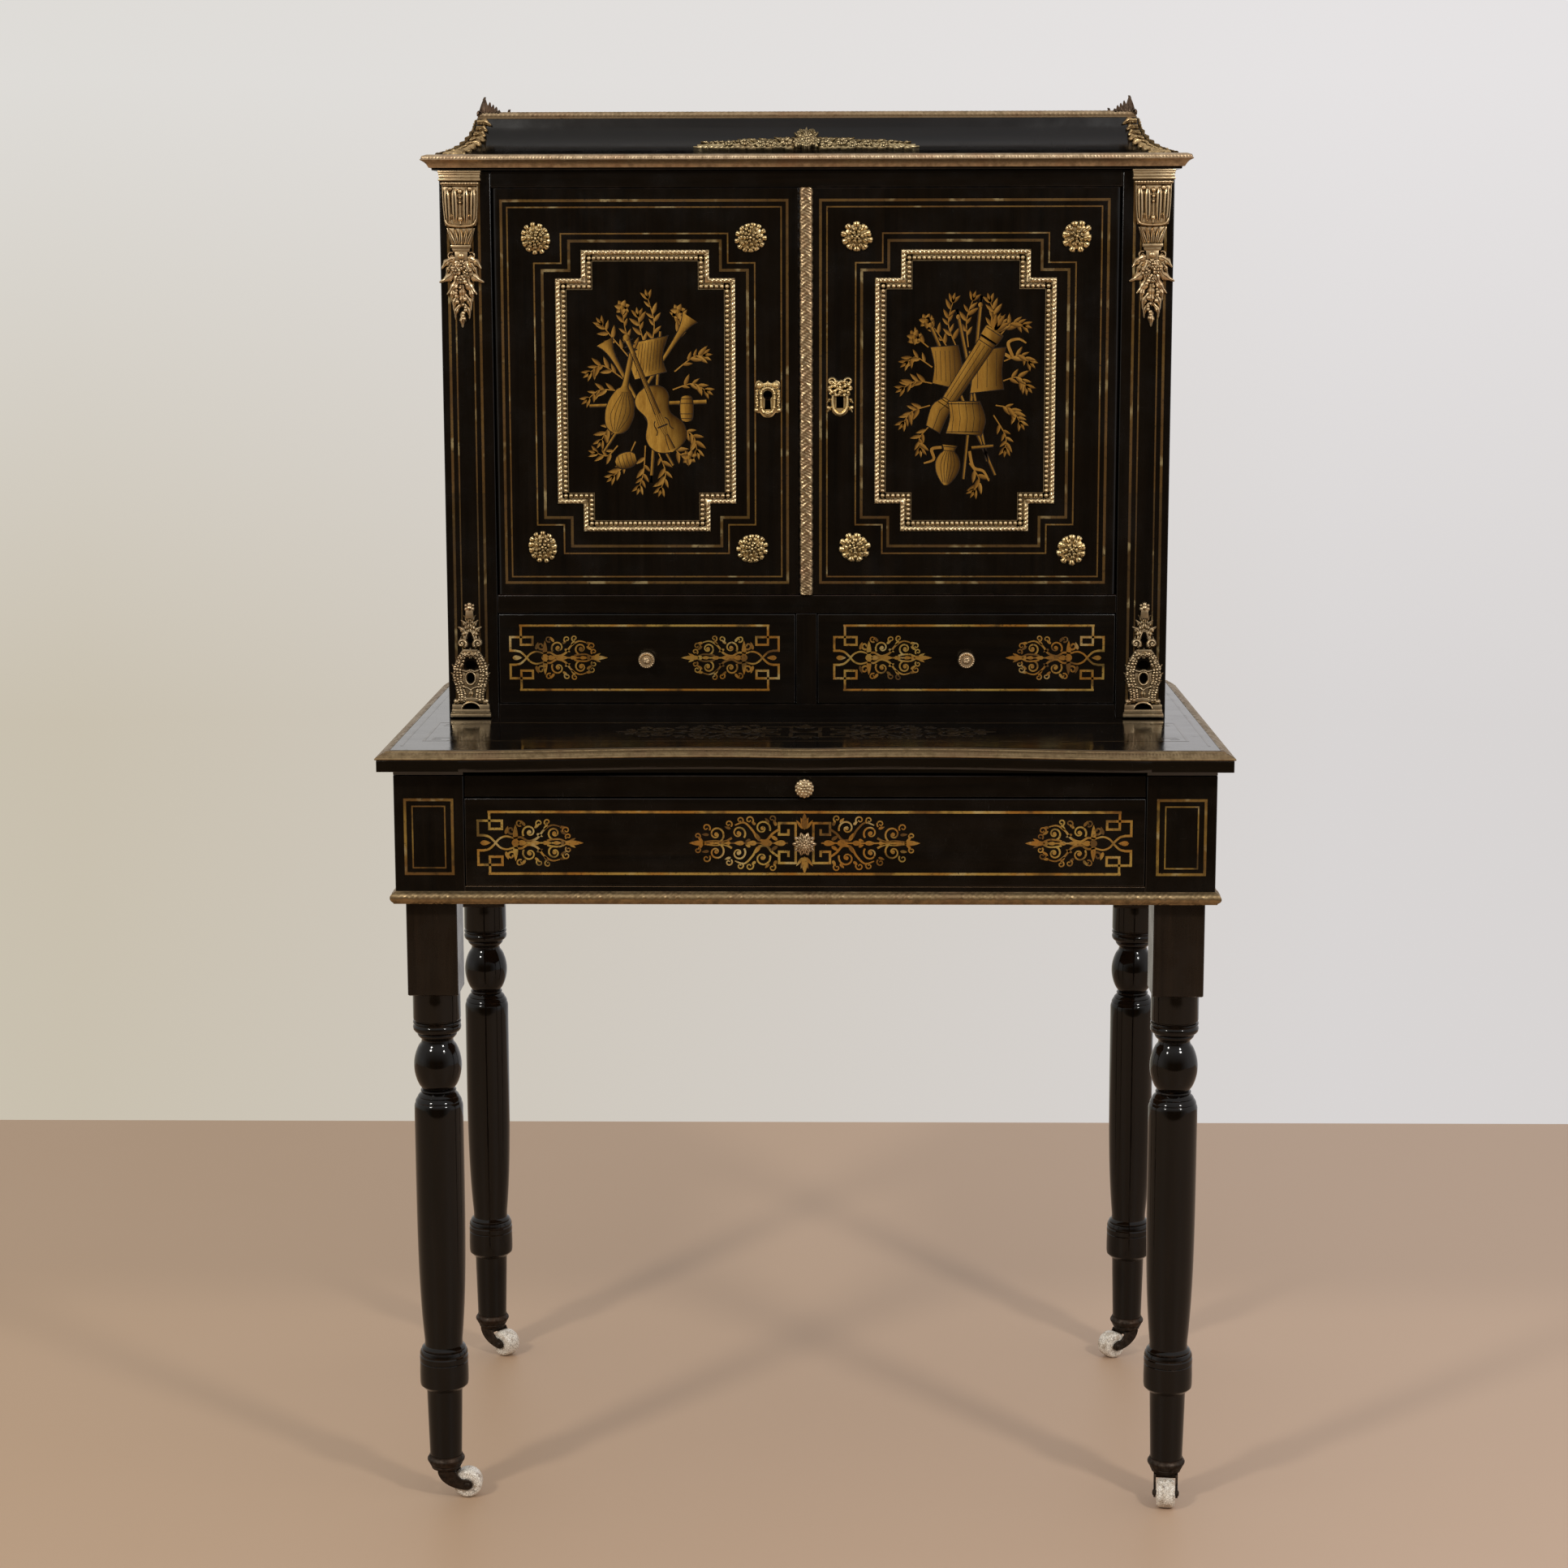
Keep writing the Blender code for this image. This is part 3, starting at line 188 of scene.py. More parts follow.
def ranged(tree, value, low, high, to_low=0.0, to_high=1.0):
    return node(tree, "ShaderNodeMapRange", {0: value, 1: low, 2: high, 3: to_low, 4: to_high},
                clamp=True).outputs[0]


def noise(tree, coords, scale, detail=4.0, roughness=0.55):
    return node(tree, "ShaderNodeTexNoise", {"Vector": coords, "Scale": scale, "Detail": detail,
                                             "Roughness": roughness}).outputs[0]


def stretched(tree, coords, scale):
    return node(tree, "ShaderNodeMapping", {"Vector": coords, "Scale": scale}).outputs[0]


def new_group(name, inputs, outputs):
    tree = bpy.data.node_groups.new(name, "ShaderNodeTree")
    kinds = {float: "NodeSocketFloat", tuple: "NodeSocketColor", list: "NodeSocketVector"}
    for label, default in inputs.items():
        socket = tree.interface.new_socket(label, in_out="INPUT", socket_type=kinds[type(default)])
        socket.default_value = default
    for label, kind in outputs.items():
        tree.interface.new_socket(label, in_out="OUTPUT", socket_type=kinds[kind])
    return tree, tree.nodes.new("NodeGroupInput").outputs, tree.nodes.new("NodeGroupOutput")


def placed(tree, group, inputs):
    return node(tree, "ShaderNodeGroup", inputs, node_tree=group).outputs


# Shared effects


def make_polish_group():
    """Hand polish: soft waves, smears and fine scratches."""
    tree, given, result = new_group("french_polish", {
        "Coords": [0.0, 0.0, 0.0], "Gloss": 0.2, "Smear": 0.12}, {"Height": float, "Roughness": float})
    smear = noise(tree, given["Coords"], 23.0, 5.0, 0.62)
    fine = noise(tree, stretched(tree, given["Coords"], (900.0, 60.0, 90.0)), 1.0, 2.0)
    cross = noise(tree, stretched(tree, given["Coords"], (70.0, 90.0, 1100.0)), 1.0, 2.0)
    lines = maths(tree, "MAXIMUM", ranged(tree, fine, 0.69, 0.75), ranged(tree, cross, 0.7, 0.76))
    lines = maths(tree, "MULTIPLY", lines, ranged(tree, smear, 0.45, 0.62))
    waves = noise(tree, given["Coords"], 34.0, 1.0)
    rough = maths(tree, "MULTIPLY", ranged(tree, smear, 0.35, 0.7), given["Smear"])
    rough = maths(tree, "ADD", rough, given["Gloss"])
    wire(tree, result, {
        "Height": maths(tree, "SUBTRACT", waves, maths(tree, "MULTIPLY", lines, 0.05)),
        "Roughness": maths(tree, "ADD", rough, maths(tree, "MULTIPLY", lines, 0.2))})
    return tree


def make_edge_rub_group():
    """Where edges are rubbed or chipped: 0 on a flat, 1 on a worn edge."""
    tree, given, result = new_group("edge_rub", {
        "Coords": [0.0, 0.0, 0.0], "Reach": 1.0 * MM, "Breakup": 90.0}, {"Rub": float})
    rounded = node(tree, "ShaderNodeBevel", {"Radius": given["Reach"]}, samples=3).outputs[0]
    straight = node(tree, "ShaderNodeNewGeometry").outputs["Normal"]
    facing = node(tree, "ShaderNodeVectorMath", {0: rounded, 1: straight},
                  operation="DOT_PRODUCT").outputs["Value"]
    edge = ranged(tree, facing, 0.985, 0.80)
    broken = ranged(tree, noise(tree, given["Coords"], given["Breakup"], 6.0, 0.7), 0.47, 0.66)
    wire(tree, result, {"Rub": maths(tree, "MULTIPLY", edge, broken)})
    return tree


def make_grain_group():
    """Wood figure along one axis: a tone from dark to light, and pores as height."""
    tree, given, result = new_group("wood_grain", {
        "Coords": [0.0, 0.0, 0.0], "Stretch": [240.0, 240.0, 9.0], "Dark": (0, 0, 0, 1),
        "Light": (1, 1, 1, 1)}, {"Colour": tuple, "Height": float, "Tone": float})
    along = node(tree, "ShaderNodeVectorMath", {0: given["Coords"], 1: given["Stretch"]},
                 operation="MULTIPLY").outputs[0]
    bands = noise(tree, along, 0.35, 3.0, 0.6)
    pores = noise(tree, along, 3.0, 3.0, 0.7)
    tone = maths(tree, "ADD", maths(tree, "MULTIPLY", bands, 0.7),
                 maths(tree, "MULTIPLY", pores, 0.3))
    tone = ranged(tree, tone, 0.34, 0.66)
    wire(tree, result, {"Colour": mixed(tree, tone, given["Dark"], given["Light"]),
                        "Height": ranged(tree, pores, 0.3, 0.5), "Tone": tone})
    return tree


def make_metal_group():
    """Cast and stamped metal: hollows darkened by dirt and painted shade, mottled tarnish and rubbed high
    places.
    """
    tree, given, result = new_group("aged_metal_painted_shade", {
        "Coords": [0.0, 0.0, 0.0], "Bright": (1, 1, 1, 1), "Dull": (0.5, 0.5, 0.5, 1),
        "Hollow": (0.05, 0.05, 0.05, 1), "Warm": (0.5, 0.3, 0.2, 1), "Mottle": 160.0,
        "Reach": 3.0 * MM, "Gloss": 0.3, "Haze": 0.25},
        {"Colour": tuple, "Roughness": float, "Height": float})
    mottle = noise(tree, given["Coords"], given["Mottle"], 5.0, 0.65)
    patches = noise(tree, given["Coords"], maths(tree, "MULTIPLY", given["Mottle"], 0.22), 3.0)
    open_sky = node(tree, "ShaderNodeAmbientOcclusion", {"Distance": given["Reach"]},
                    samples=4).outputs["AO"]
    spread = ranged(tree, mottle, 0.36, 0.64)
    body = mixed(tree, spread, given["Dull"], given["Bright"])
    body = mixed(tree, maths(tree, "MULTIPLY", ranged(tree, patches, 0.5, 0.68), 0.55), body,
                 given["Warm"])
    # Painted shade and dirt: where occlusion finds a hollow or a join between parts, and where the mottle is
    # dark, the colour goes to the hollow colour
    grime_and_shade = maths(tree, "ADD", ranged(tree, open_sky, 0.80, 0.35),
                  maths(tree, "MULTIPLY", ranged(tree, mottle, 0.6, 0.75), 0.4), True)
    rough = maths(tree, "MULTIPLY", maths(tree, "SUBTRACT", 1.0, spread), given["Haze"])
    rough = maths(tree, "ADD", rough, given["Gloss"])
    wire(tree, result, {
        "Colour": mixed(tree, grime_and_shade, body, given["Hollow"]), "Height": mottle,
        "Roughness": maths(tree, "ADD", rough, maths(tree, "MULTIPLY", grime_and_shade, 0.2), True)})
    return tree


BARE_EDGE = (0.050, 0.027, 0.014)
polish_group = make_polish_group()
edge_rub_group = make_edge_rub_group()
grain_group = make_grain_group()
metal_group = make_metal_group()


def start_material(name):
    material = bpy.data.materials.new(name)
    material.use_nodes = True
    tree = material.node_tree
    shader = tree.nodes["Principled BSDF"]
    coords = node(tree, "ShaderNodeTexCoord").outputs["Object"]
    return material, tree, shader, coords


def bump(tree, height, distance, strength):
    return node(tree, "ShaderNodeBump", {"Height": height, "Distance": distance * MM,
                                         "Strength": strength}).outputs[0]


def make_ebonised(name, stretch, dark, light, gloss, specular=0.36, smear=0.14):
    """Black polished wood: faint brown figure, worn edges, smears and scratches in the polish."""
    material, tree, shader, coords = start_material(name)
    grain = placed(tree, grain_group, {"Coords": coords, "Stretch": stretch, "Dark": dark,
                                       "Light": light})
    polish = placed(tree, polish_group, {"Coords": coords, "Gloss": gloss, "Smear": smear})
    rub = placed(tree, edge_rub_group, {"Coords": coords, "Reach": 1.1 * MM, "Breakup": 70.0})
    rough = maths(tree, "ADD", polish["Roughness"], maths(tree, "MULTIPLY", rub["Rub"], 0.3), True)
    height = maths(tree, "ADD", polish["Height"], maths(tree, "MULTIPLY", grain["Height"], 0.06))
    wire(tree, shader, {"Base Color": mixed(tree, rub["Rub"], grain["Colour"], BARE_EDGE),
                        "Roughness": rough, "Normal": bump(tree, height, 0.35, 0.5),
                        "Specular IOR Level": specular})
    return material


def make_metal(name, bright, dull, hollow, warm, gloss, haze, mottle, reach):
    material, tree, shader, coords = start_material(name)
    metal = placed(tree, metal_group, {
        "Coords": coords, "Bright": bright, "Dull": dull, "Hollow": hollow, "Warm": warm,
        "Gloss": gloss, "Haze": haze, "Mottle": mottle, "Reach": reach * MM})
    wire(tree, shader, {"Base Color": metal["Colour"], "Roughness": metal["Roughness"],
                        "Normal": bump(tree, metal["Height"], 0.15, 0.6), "Metallic": 1.0})
    return material


def make_inlay_brass(name, clean, warm, dark, pale, metallic, gloss):
    """Flat inlaid brass: each strip has its own tone, tarnish comes and goes along it, and pale patches are
    painted glints of reflected light.
    """
    material, tree, shader, coords = start_material(name)
    tone = node(tree, "ShaderNodeAttribute", attribute_name="tone").outputs["Fac"]
    patches = noise(tree, coords, 19.0, 3.0, 0.6)
    tarnish_and_glints = noise(tree, coords, 47.0, 2.0, 0.5)
    specks = noise(tree, coords, 420.0, 3.0, 0.7)
    body = mixed(tree, ranged(tree, patches, 0.42, 0.60), clean, warm)
    body = mixed(tree, ranged(tree, tarnish_and_glints, 0.44, 0.34, 0.0, 0.7), body, dark)
    body = mixed(tree, ranged(tree, tone, 0.30, 0.55, 0.0, 0.7), body, warm)
    body = mixed(tree, ranged(tree, tone, 0.55, 0.95, 0.0, 0.75), body, dark)
    # Painted highlight: where the noise is high, pale patches stand in for light glinting off the brass
    body = mixed(tree, ranged(tree, tarnish_and_glints, 0.60, 0.70, 0.0, 0.75), body, pale)
    body = mixed(tree, ranged(tree, specks, 0.56, 0.72), body, dark)
    polish = placed(tree, polish_group, {"Coords": coords, "Gloss": gloss, "Smear": 0.2})
    wire(tree, shader, {"Base Color": body, "Roughness": polish["Roughness"], "Metallic": metallic,
                        "Normal": bump(tree, polish["Height"], 0.12, 0.5)})
    return material


def make_marquetry(name, light, dark, scorch, gloss):
    """Pale veneers under polish: a tone for each piece, grain, and scorched shading at one edge."""
    material, tree, shader, coords = start_material(name)
    tone = node(tree, "ShaderNodeAttribute", attribute_name="tone").outputs["Fac"]
    shade = node(tree, "ShaderNodeAttribute", attribute_name="shade").outputs["Fac"]
    grain = placed(tree, grain_group, {"Coords": coords, "Stretch": [420.0, 420.0, 70.0],
                                       "Dark": dark, "Light": light})
    body = mixed(tree, maths(tree, "MULTIPLY", tone, 0.72, True), grain["Colour"], dark)
    burnt = maths(tree, "MULTIPLY", ranged(tree, shade, 0.3, 0.95), 0.94)
    polish = placed(tree, polish_group, {"Coords": coords, "Gloss": gloss, "Smear": 0.15})
    height = maths(tree, "ADD", polish["Height"], maths(tree, "MULTIPLY", grain["Height"], 0.1))
    wire(tree, shader, {"Base Color": mixed(tree, burnt, body, scorch),
                        "Roughness": polish["Roughness"], "Normal": bump(tree, height, 0.2, 0.5),
                        "Specular IOR Level": 0.22})
    return material


def make_open_wood(name, stretch, dark, light, gloss):
    """Unpolished or waxed wood with open pores, for trays and insides."""
    material, tree, shader, coords = start_material(name)
    grain = placed(tree, grain_group, {"Coords": coords, "Stretch": stretch, "Dark": dark,
                                       "Light": light})
    rub = placed(tree, edge_rub_group, {"Coords": coords, "Reach": 1.5 * MM, "Breakup": 60.0})
    stain = noise(tree, coords, 11.0, 4.0)
    body = mixed(tree, maths(tree, "MULTIPLY", ranged(tree, stain, 0.45, 0.7), 0.45),
                 grain["Colour"], dark)
    wire(tree, shader, {
        "Base Color": mixed(tree, maths(tree, "MULTIPLY", rub["Rub"], 0.6), body, light),
        "Roughness": ranged(tree, grain["Tone"], 0.0, 1.0, gloss + 0.12, gloss),
        "Normal": bump(tree, grain["Height"], 0.25, 0.6)})
    return material


def make_leather():
    """Worn dark leather on the slide: pebbled grain and rubbed patches."""
    material, tree, shader, coords = start_material("slide_leather")
    cells = node(tree, "ShaderNodeTexVoronoi", {"Vector": coords, "Scale": 900.0}).outputs[0]
    patches = noise(tree, coords, 14.0, 5.0, 0.6)
    body = mixed(tree, ranged(tree, patches, 0.4, 0.66), (0.030, 0.012, 0.008),
                 (0.075, 0.030, 0.018))
    body = mixed(tree, ranged(tree, cells, 0.35, 0.75), body, (0.015, 0.007, 0.005))
    wire(tree, shader, {"Base Color": body, "Normal": bump(tree, cells, 0.25, 0.7),
                        "Roughness": ranged(tree, patches, 0.35, 0.7, 0.55, 0.36)})
    return material


def make_china():
    """White fired clay of the wheels: stained, crazed and duller where stained."""
    material, tree, shader, coords = start_material("wheel_china")
    stain = noise(tree, coords, 130.0, 5.0, 0.65)
    crazing = node(tree, "ShaderNodeTexVoronoi", {"Vector": coords, "Scale": 420.0},
                   feature="DISTANCE_TO_EDGE").outputs[0]
    body = mixed(tree, ranged(tree, stain, 0.47, 0.68), (0.80, 0.75, 0.66),
                 (0.36, 0.27, 0.18))
    body = mixed(tree, ranged(tree, crazing, 0.09, 0.0, 0.0, 0.85), body, (0.10, 0.07, 0.05))
    wire(tree, shader, {"Base Color": body, "Normal": bump(tree, stain, 0.2, 0.5),
                        "Roughness": ranged(tree, stain, 0.4, 0.7, 0.2, 0.5)})
    return material


BLACK, BROWN_BLACK = (0.0011, 0.0008, 0.0006), (0.0050, 0.0030, 0.0017)
# Hollow colour of several metals: dirt and painted shade
GRIME_AND_SHADE = (0.026, 0.015, 0.007)
# Metals: bright, dull, hollow and warm colour, gloss, haze, mottle and reach of dirt and painted shade in
# millimetres; the hollow colour is dirt and painted shade
METALS = {
    "ormolu": ("cast_ormolu", (0.82, 0.63, 0.38), (0.44, 0.32, 0.18), (0.024, 0.014, 0.007),
               (0.48, 0.32, 0.18), 0.28, 0.22, 160.0, 1.9),
    "moulding": ("stamped_moulding", (0.34, 0.245, 0.13), (0.18, 0.125, 0.064), GRIME_AND_SHADE,
                 (0.22, 0.135, 0.075), 0.34, 0.24, 110.0, 2.2),
    "nosing": ("worn_nosing", (0.45, 0.33, 0.20), (0.23, 0.165, 0.095), GRIME_AND_SHADE, (0.31, 0.195, 0.115),
               0.34, 0.24, 120.0, 2.2),
    # The cornice's brass is coloured darker than the cast mounts: painted shade for the dim room its face
    # reflects
    "cornice": ("cornice_brass", (0.58, 0.44, 0.28), (0.30, 0.215, 0.13), GRIME_AND_SHADE,
                (0.38, 0.23, 0.135), 0.34, 0.24, 120.0, 2.2),
    "bead": ("beaded_brass", (0.74, 0.58, 0.34), (0.42, 0.315, 0.17), (0.034, 0.020, 0.010),
             (0.55, 0.40, 0.25), 0.24, 0.2, 140.0, 3.0),
    "astragal": ("astragal_brass", (0.46, 0.345, 0.20), (0.28, 0.19, 0.105), (0.036, 0.019, 0.010),
                 (0.36, 0.215, 0.13), 0.30, 0.22, 120.0, 2.5),
    "rosette": ("stamped_rosette", (1.0, 0.79, 0.43), (0.66, 0.49, 0.23), GRIME_AND_SHADE, (0.42, 0.28, 0.14),
                0.28, 0.22, 150.0, 2.4),
    "foot": ("cast_foot", (0.70, 0.55, 0.34), (0.36, 0.265, 0.155), (0.020, 0.012, 0.006),
             (0.42, 0.27, 0.15), 0.28, 0.24, 160.0, 3.0),
    "garland": ("cast_garland", (0.62, 0.50, 0.29), (0.30, 0.23, 0.12), (0.020, 0.012, 0.006),
                (0.45, 0.32, 0.17), 0.26, 0.24, 170.0, 3.0),
    "acanthus": ("cast_acanthus", (0.60, 0.43, 0.22), (0.26, 0.18, 0.09), GRIME_AND_SHADE, (0.40, 0.25, 0.12),
                 0.30, 0.24, 130.0, 4.0),
    "bronze": ("dark_bronze", (0.125, 0.088, 0.062), (0.068, 0.047, 0.034), (0.012, 0.008, 0.005),
               (0.13, 0.075, 0.045), 0.36, 0.25, 180.0, 3.0),
    "knob": ("turned_knob", (0.84, 0.64, 0.40), (0.38, 0.27, 0.155), GRIME_AND_SHADE, (0.40, 0.26, 0.15),
             0.34, 0.24, 150.0, 2.4),
    "iron": ("caster_iron", (0.055, 0.043, 0.034), (0.028, 0.020, 0.015), (0.010, 0.007, 0.005),
             (0.055, 0.031, 0.019), 0.42, 0.25, 210.0, 3.0),
}
finishes = {
    **{key: make_metal(*row) for key, row in METALS.items()},
    "upright": make_ebonised("ebonised_upright", [260.0, 260.0, 9.0], BLACK, BROWN_BLACK, 0.16),
    "level": make_ebonised("ebonised_level", [9.0, 260.0, 260.0], BLACK, BROWN_BLACK, 0.16),
    "top": make_ebonised("ebonised_top", [7.0, 200.0, 200.0], BLACK, BROWN_BLACK, 0.07, 0.66, 0.1),
    "turned": make_ebonised("ebonised_turned", [150.0, 150.0, 12.0], BLACK, BROWN_BLACK, 0.06, 0.28, 0.06),
    "block": make_ebonised("ebonised_leg_block", [180.0, 180.0, 7.0], (0.0035, 0.0020, 0.0011),
                           (0.0150, 0.0088, 0.0048), 0.2),
    "inside": make_open_wood("inside_stained_wood", [150.0, 150.0, 7.0],
                             (0.030, 0.012, 0.006), (0.085, 0.036, 0.016), 0.42),
    "oak": make_open_wood("drawer_oak", [7.0, 130.0, 130.0], (0.150, 0.078, 0.033),
                          (0.330, 0.200, 0.100), 0.52),
    # Inlaid brass: clean, warm, dark and pale colour, metal share and gloss; the pale colour is a painted
    # glint
    "line": make_inlay_brass("inlaid_line", (0.290, 0.178, 0.036), (0.150, 0.074, 0.017),
                             (0.036, 0.022, 0.009), (0.42, 0.33, 0.16), 0.4, 0.30),
    "strap": make_inlay_brass("inlaid_strapwork", (0.410, 0.265, 0.060),
                              (0.330, 0.140, 0.017), (0.034, 0.019, 0.007),
                              (0.52, 0.40, 0.17), 0.35, 0.32),
    # Brass of the top's inlay, painted near black for the dim look it has at a grazing view
    "faint": make_inlay_brass("top_inlay_painted_dark", (0.036, 0.023, 0.011),
                              (0.020, 0.013, 0.007), (0.010, 0.007, 0.004),
                              (0.050, 0.034, 0.018), 0.0, 0.04),
    "veneer": make_marquetry("marquetry_boxwood", (0.50, 0.280, 0.050),
                             (0.22, 0.105, 0.016), (0.030, 0.012, 0.003), 0.2),
    "pale_veneer": make_marquetry("marquetry_holly", (0.46, 0.260, 0.060),
                                  (0.24, 0.115, 0.020), (0.040, 0.018, 0.005), 0.2),
    # Painted shade: a near-black sheet without reflection, laid where keyholes and piercings are
    "hollow": make_ebonised("painted_hole_shade", [300.0, 300.0, 300.0], (0.0004, 0.0003, 0.0002),
                            (0.0016, 0.0010, 0.0006), 0.8, 0.0),
    "engraving": make_ebonised("engraved_line", [300.0, 300.0, 300.0], (0.006, 0.004, 0.002),
                               (0.018, 0.010, 0.005), 0.3),
    "leather": make_leather(),
    "china": make_china(),
}


# Mesh helpers

# Faces of a board above this area, in square metres, are flat
BROAD_FACE = 0.0006
SHARP_ANGLE, FLAT_ANGLE = math.radians(35), math.radians(0.05)
LEAST_RADIUS, WELD = 0.02 * MM, 0.01 * MM
LEG_SIDES, CASTER_SIDES, AXLE_SIDES, KNOB_SIDES = 56, 40, 18, 36


def piece(name, bm, finish, body, stands_for=(), crease=38):
    """Finish a mesh as an object that rides on a body."""
    bmesh.ops.recalc_face_normals(bm, faces=bm.faces)
    mesh = bpy.data.meshes.new(name)
    bm.to_mesh(mesh)
    bm.free()
    mesh.shade_smooth()
    mesh.set_sharp_from_angle(angle=math.radians(crease))
    for key in (finish,) if isinstance(finish, str) else finish:
        mesh.materials.append(finishes[key])
    obj = bpy.data.objects.new(name, mesh)
    bpy.context.scene.collection.objects.link(obj)
    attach(obj, body)
    if stands_for:
        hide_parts(*stands_for)
    return obj


def eased(cad_node, name, finish, ease=0.6, other=None, curved=False):
    """A board as in the solids, its edges eased by millimetres; other = (direction, second finish)."""
    bm = bmesh.new()
    bm.from_mesh(frame["nodes"][cad_node].data)
    bmesh.ops.remove_doubles(bm, verts=bm.verts, dist=WELD)
    bmesh.ops.dissolve_limit(bm, angle_limit=FLAT_ANGLE, verts=bm.verts, edges=bm.edges)
    sharp = [e for e in bm.edges if e.is_manifold and e.calc_face_angle() > SHARP_ANGLE]
    bmesh.ops.bevel(bm, geom=sharp, offset=ease * MM, segments=2, profile=0.6, affect="EDGES",
                    clamp_overlap=True)
    keys = finish
    if other:
        direction, second = Vector(other[0]), other[1]
        keys = (finish, second)
        bm.normal_update()
        for face in bm.faces:
            face.material_index = int(face.normal.dot(direction) > 0.8)
    body = frame["nodes"][cad_node]["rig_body"]
    board = piece(name, bm, keys, body, [cad_node])
    if not curved:
        for polygon in board.data.polygons:
            polygon.use_smooth = polygon.area < BROAD_FACE


def loft(bm, rings, closed=False):
    """Join rings of equally many points; open lofts are capped at both ends."""
    loops = [[bm.verts.new(point) for point in ring] for ring in rings]
    count = len(loops[0])
    for k in range(len(loops) if closed else len(loops) - 1):
        one, two = loops[k], loops[(k + 1) % len(loops)]
        for i in range(count):
            j = (i + 1) % count
            bm.faces.new((one[i], one[j], two[j], two[i]))
    if not closed:
        bm.faces.new(loops[0])
        bm.faces.new(loops[-1])


def turn(bm, profile, sides):
    """A turned form about Z from (radius, level) points."""
    angles = [2 * math.pi * i / sides for i in range(sides)]
    loft(bm, [[(max(r, LEAST_RADIUS) * math.cos(a), max(r, LEAST_RADIUS) * math.sin(a), level)
               for a in angles] for r, level in profile])
    return bm


def rounded(points, steps=6):
    """A smooth line through the given points."""
    padded = [points[0], *points, points[-1]]
    line = []
    for p0, p1, p2, p3 in zip(padded, padded[1:], padded[2:], padded[3:]):
        for i in range(steps):
            t = i / steps
            line.append(tuple(0.5 * (2 * b + (c - a) * t + (2 * a - 5 * b + 4 * c - d) * t * t
                                     + (3 * b - a - 3 * c + d) * t ** 3)
                              for a, b, c, d in zip(p0, p1, p2, p3)))
    return [*line, tuple(points[-1])]


def spiral(centre, radius, end_radius, start, sweep, steps=18):
    """Points of a volute: angles in degrees."""
    line = []
    for i in range(steps + 1):
        t = i / steps
        r = radius + (end_radius - radius) * t
        a = math.radians(start + sweep * t)
        line.append((centre[0] + r * math.cos(a), centre[1] + r * math.sin(a)))
    return line


def side_steps(points, closed=False):
    """For each point of a line, the mitred direction to its left."""
    count = len(points)
    flat = [Vector(p[:2]) for p in points]
    result = []
    for i in range(count):
        before = flat[i] - flat[i - 1] if i or closed else flat[1] - flat[0]
        after = flat[(i + 1) % count] - flat[i] if i < count - 1 or closed else before
        if before.length < 1e-9:
            before = after
        if after.length < 1e-9:
            after = before
        before, after = before.normalized(), after.normalized()
        one, two = Vector((-before.y, before.x)), Vector((-after.y, after.x))
        both = one + two
        result.append(both / max(1 + one.dot(two), 0.5))
    return result


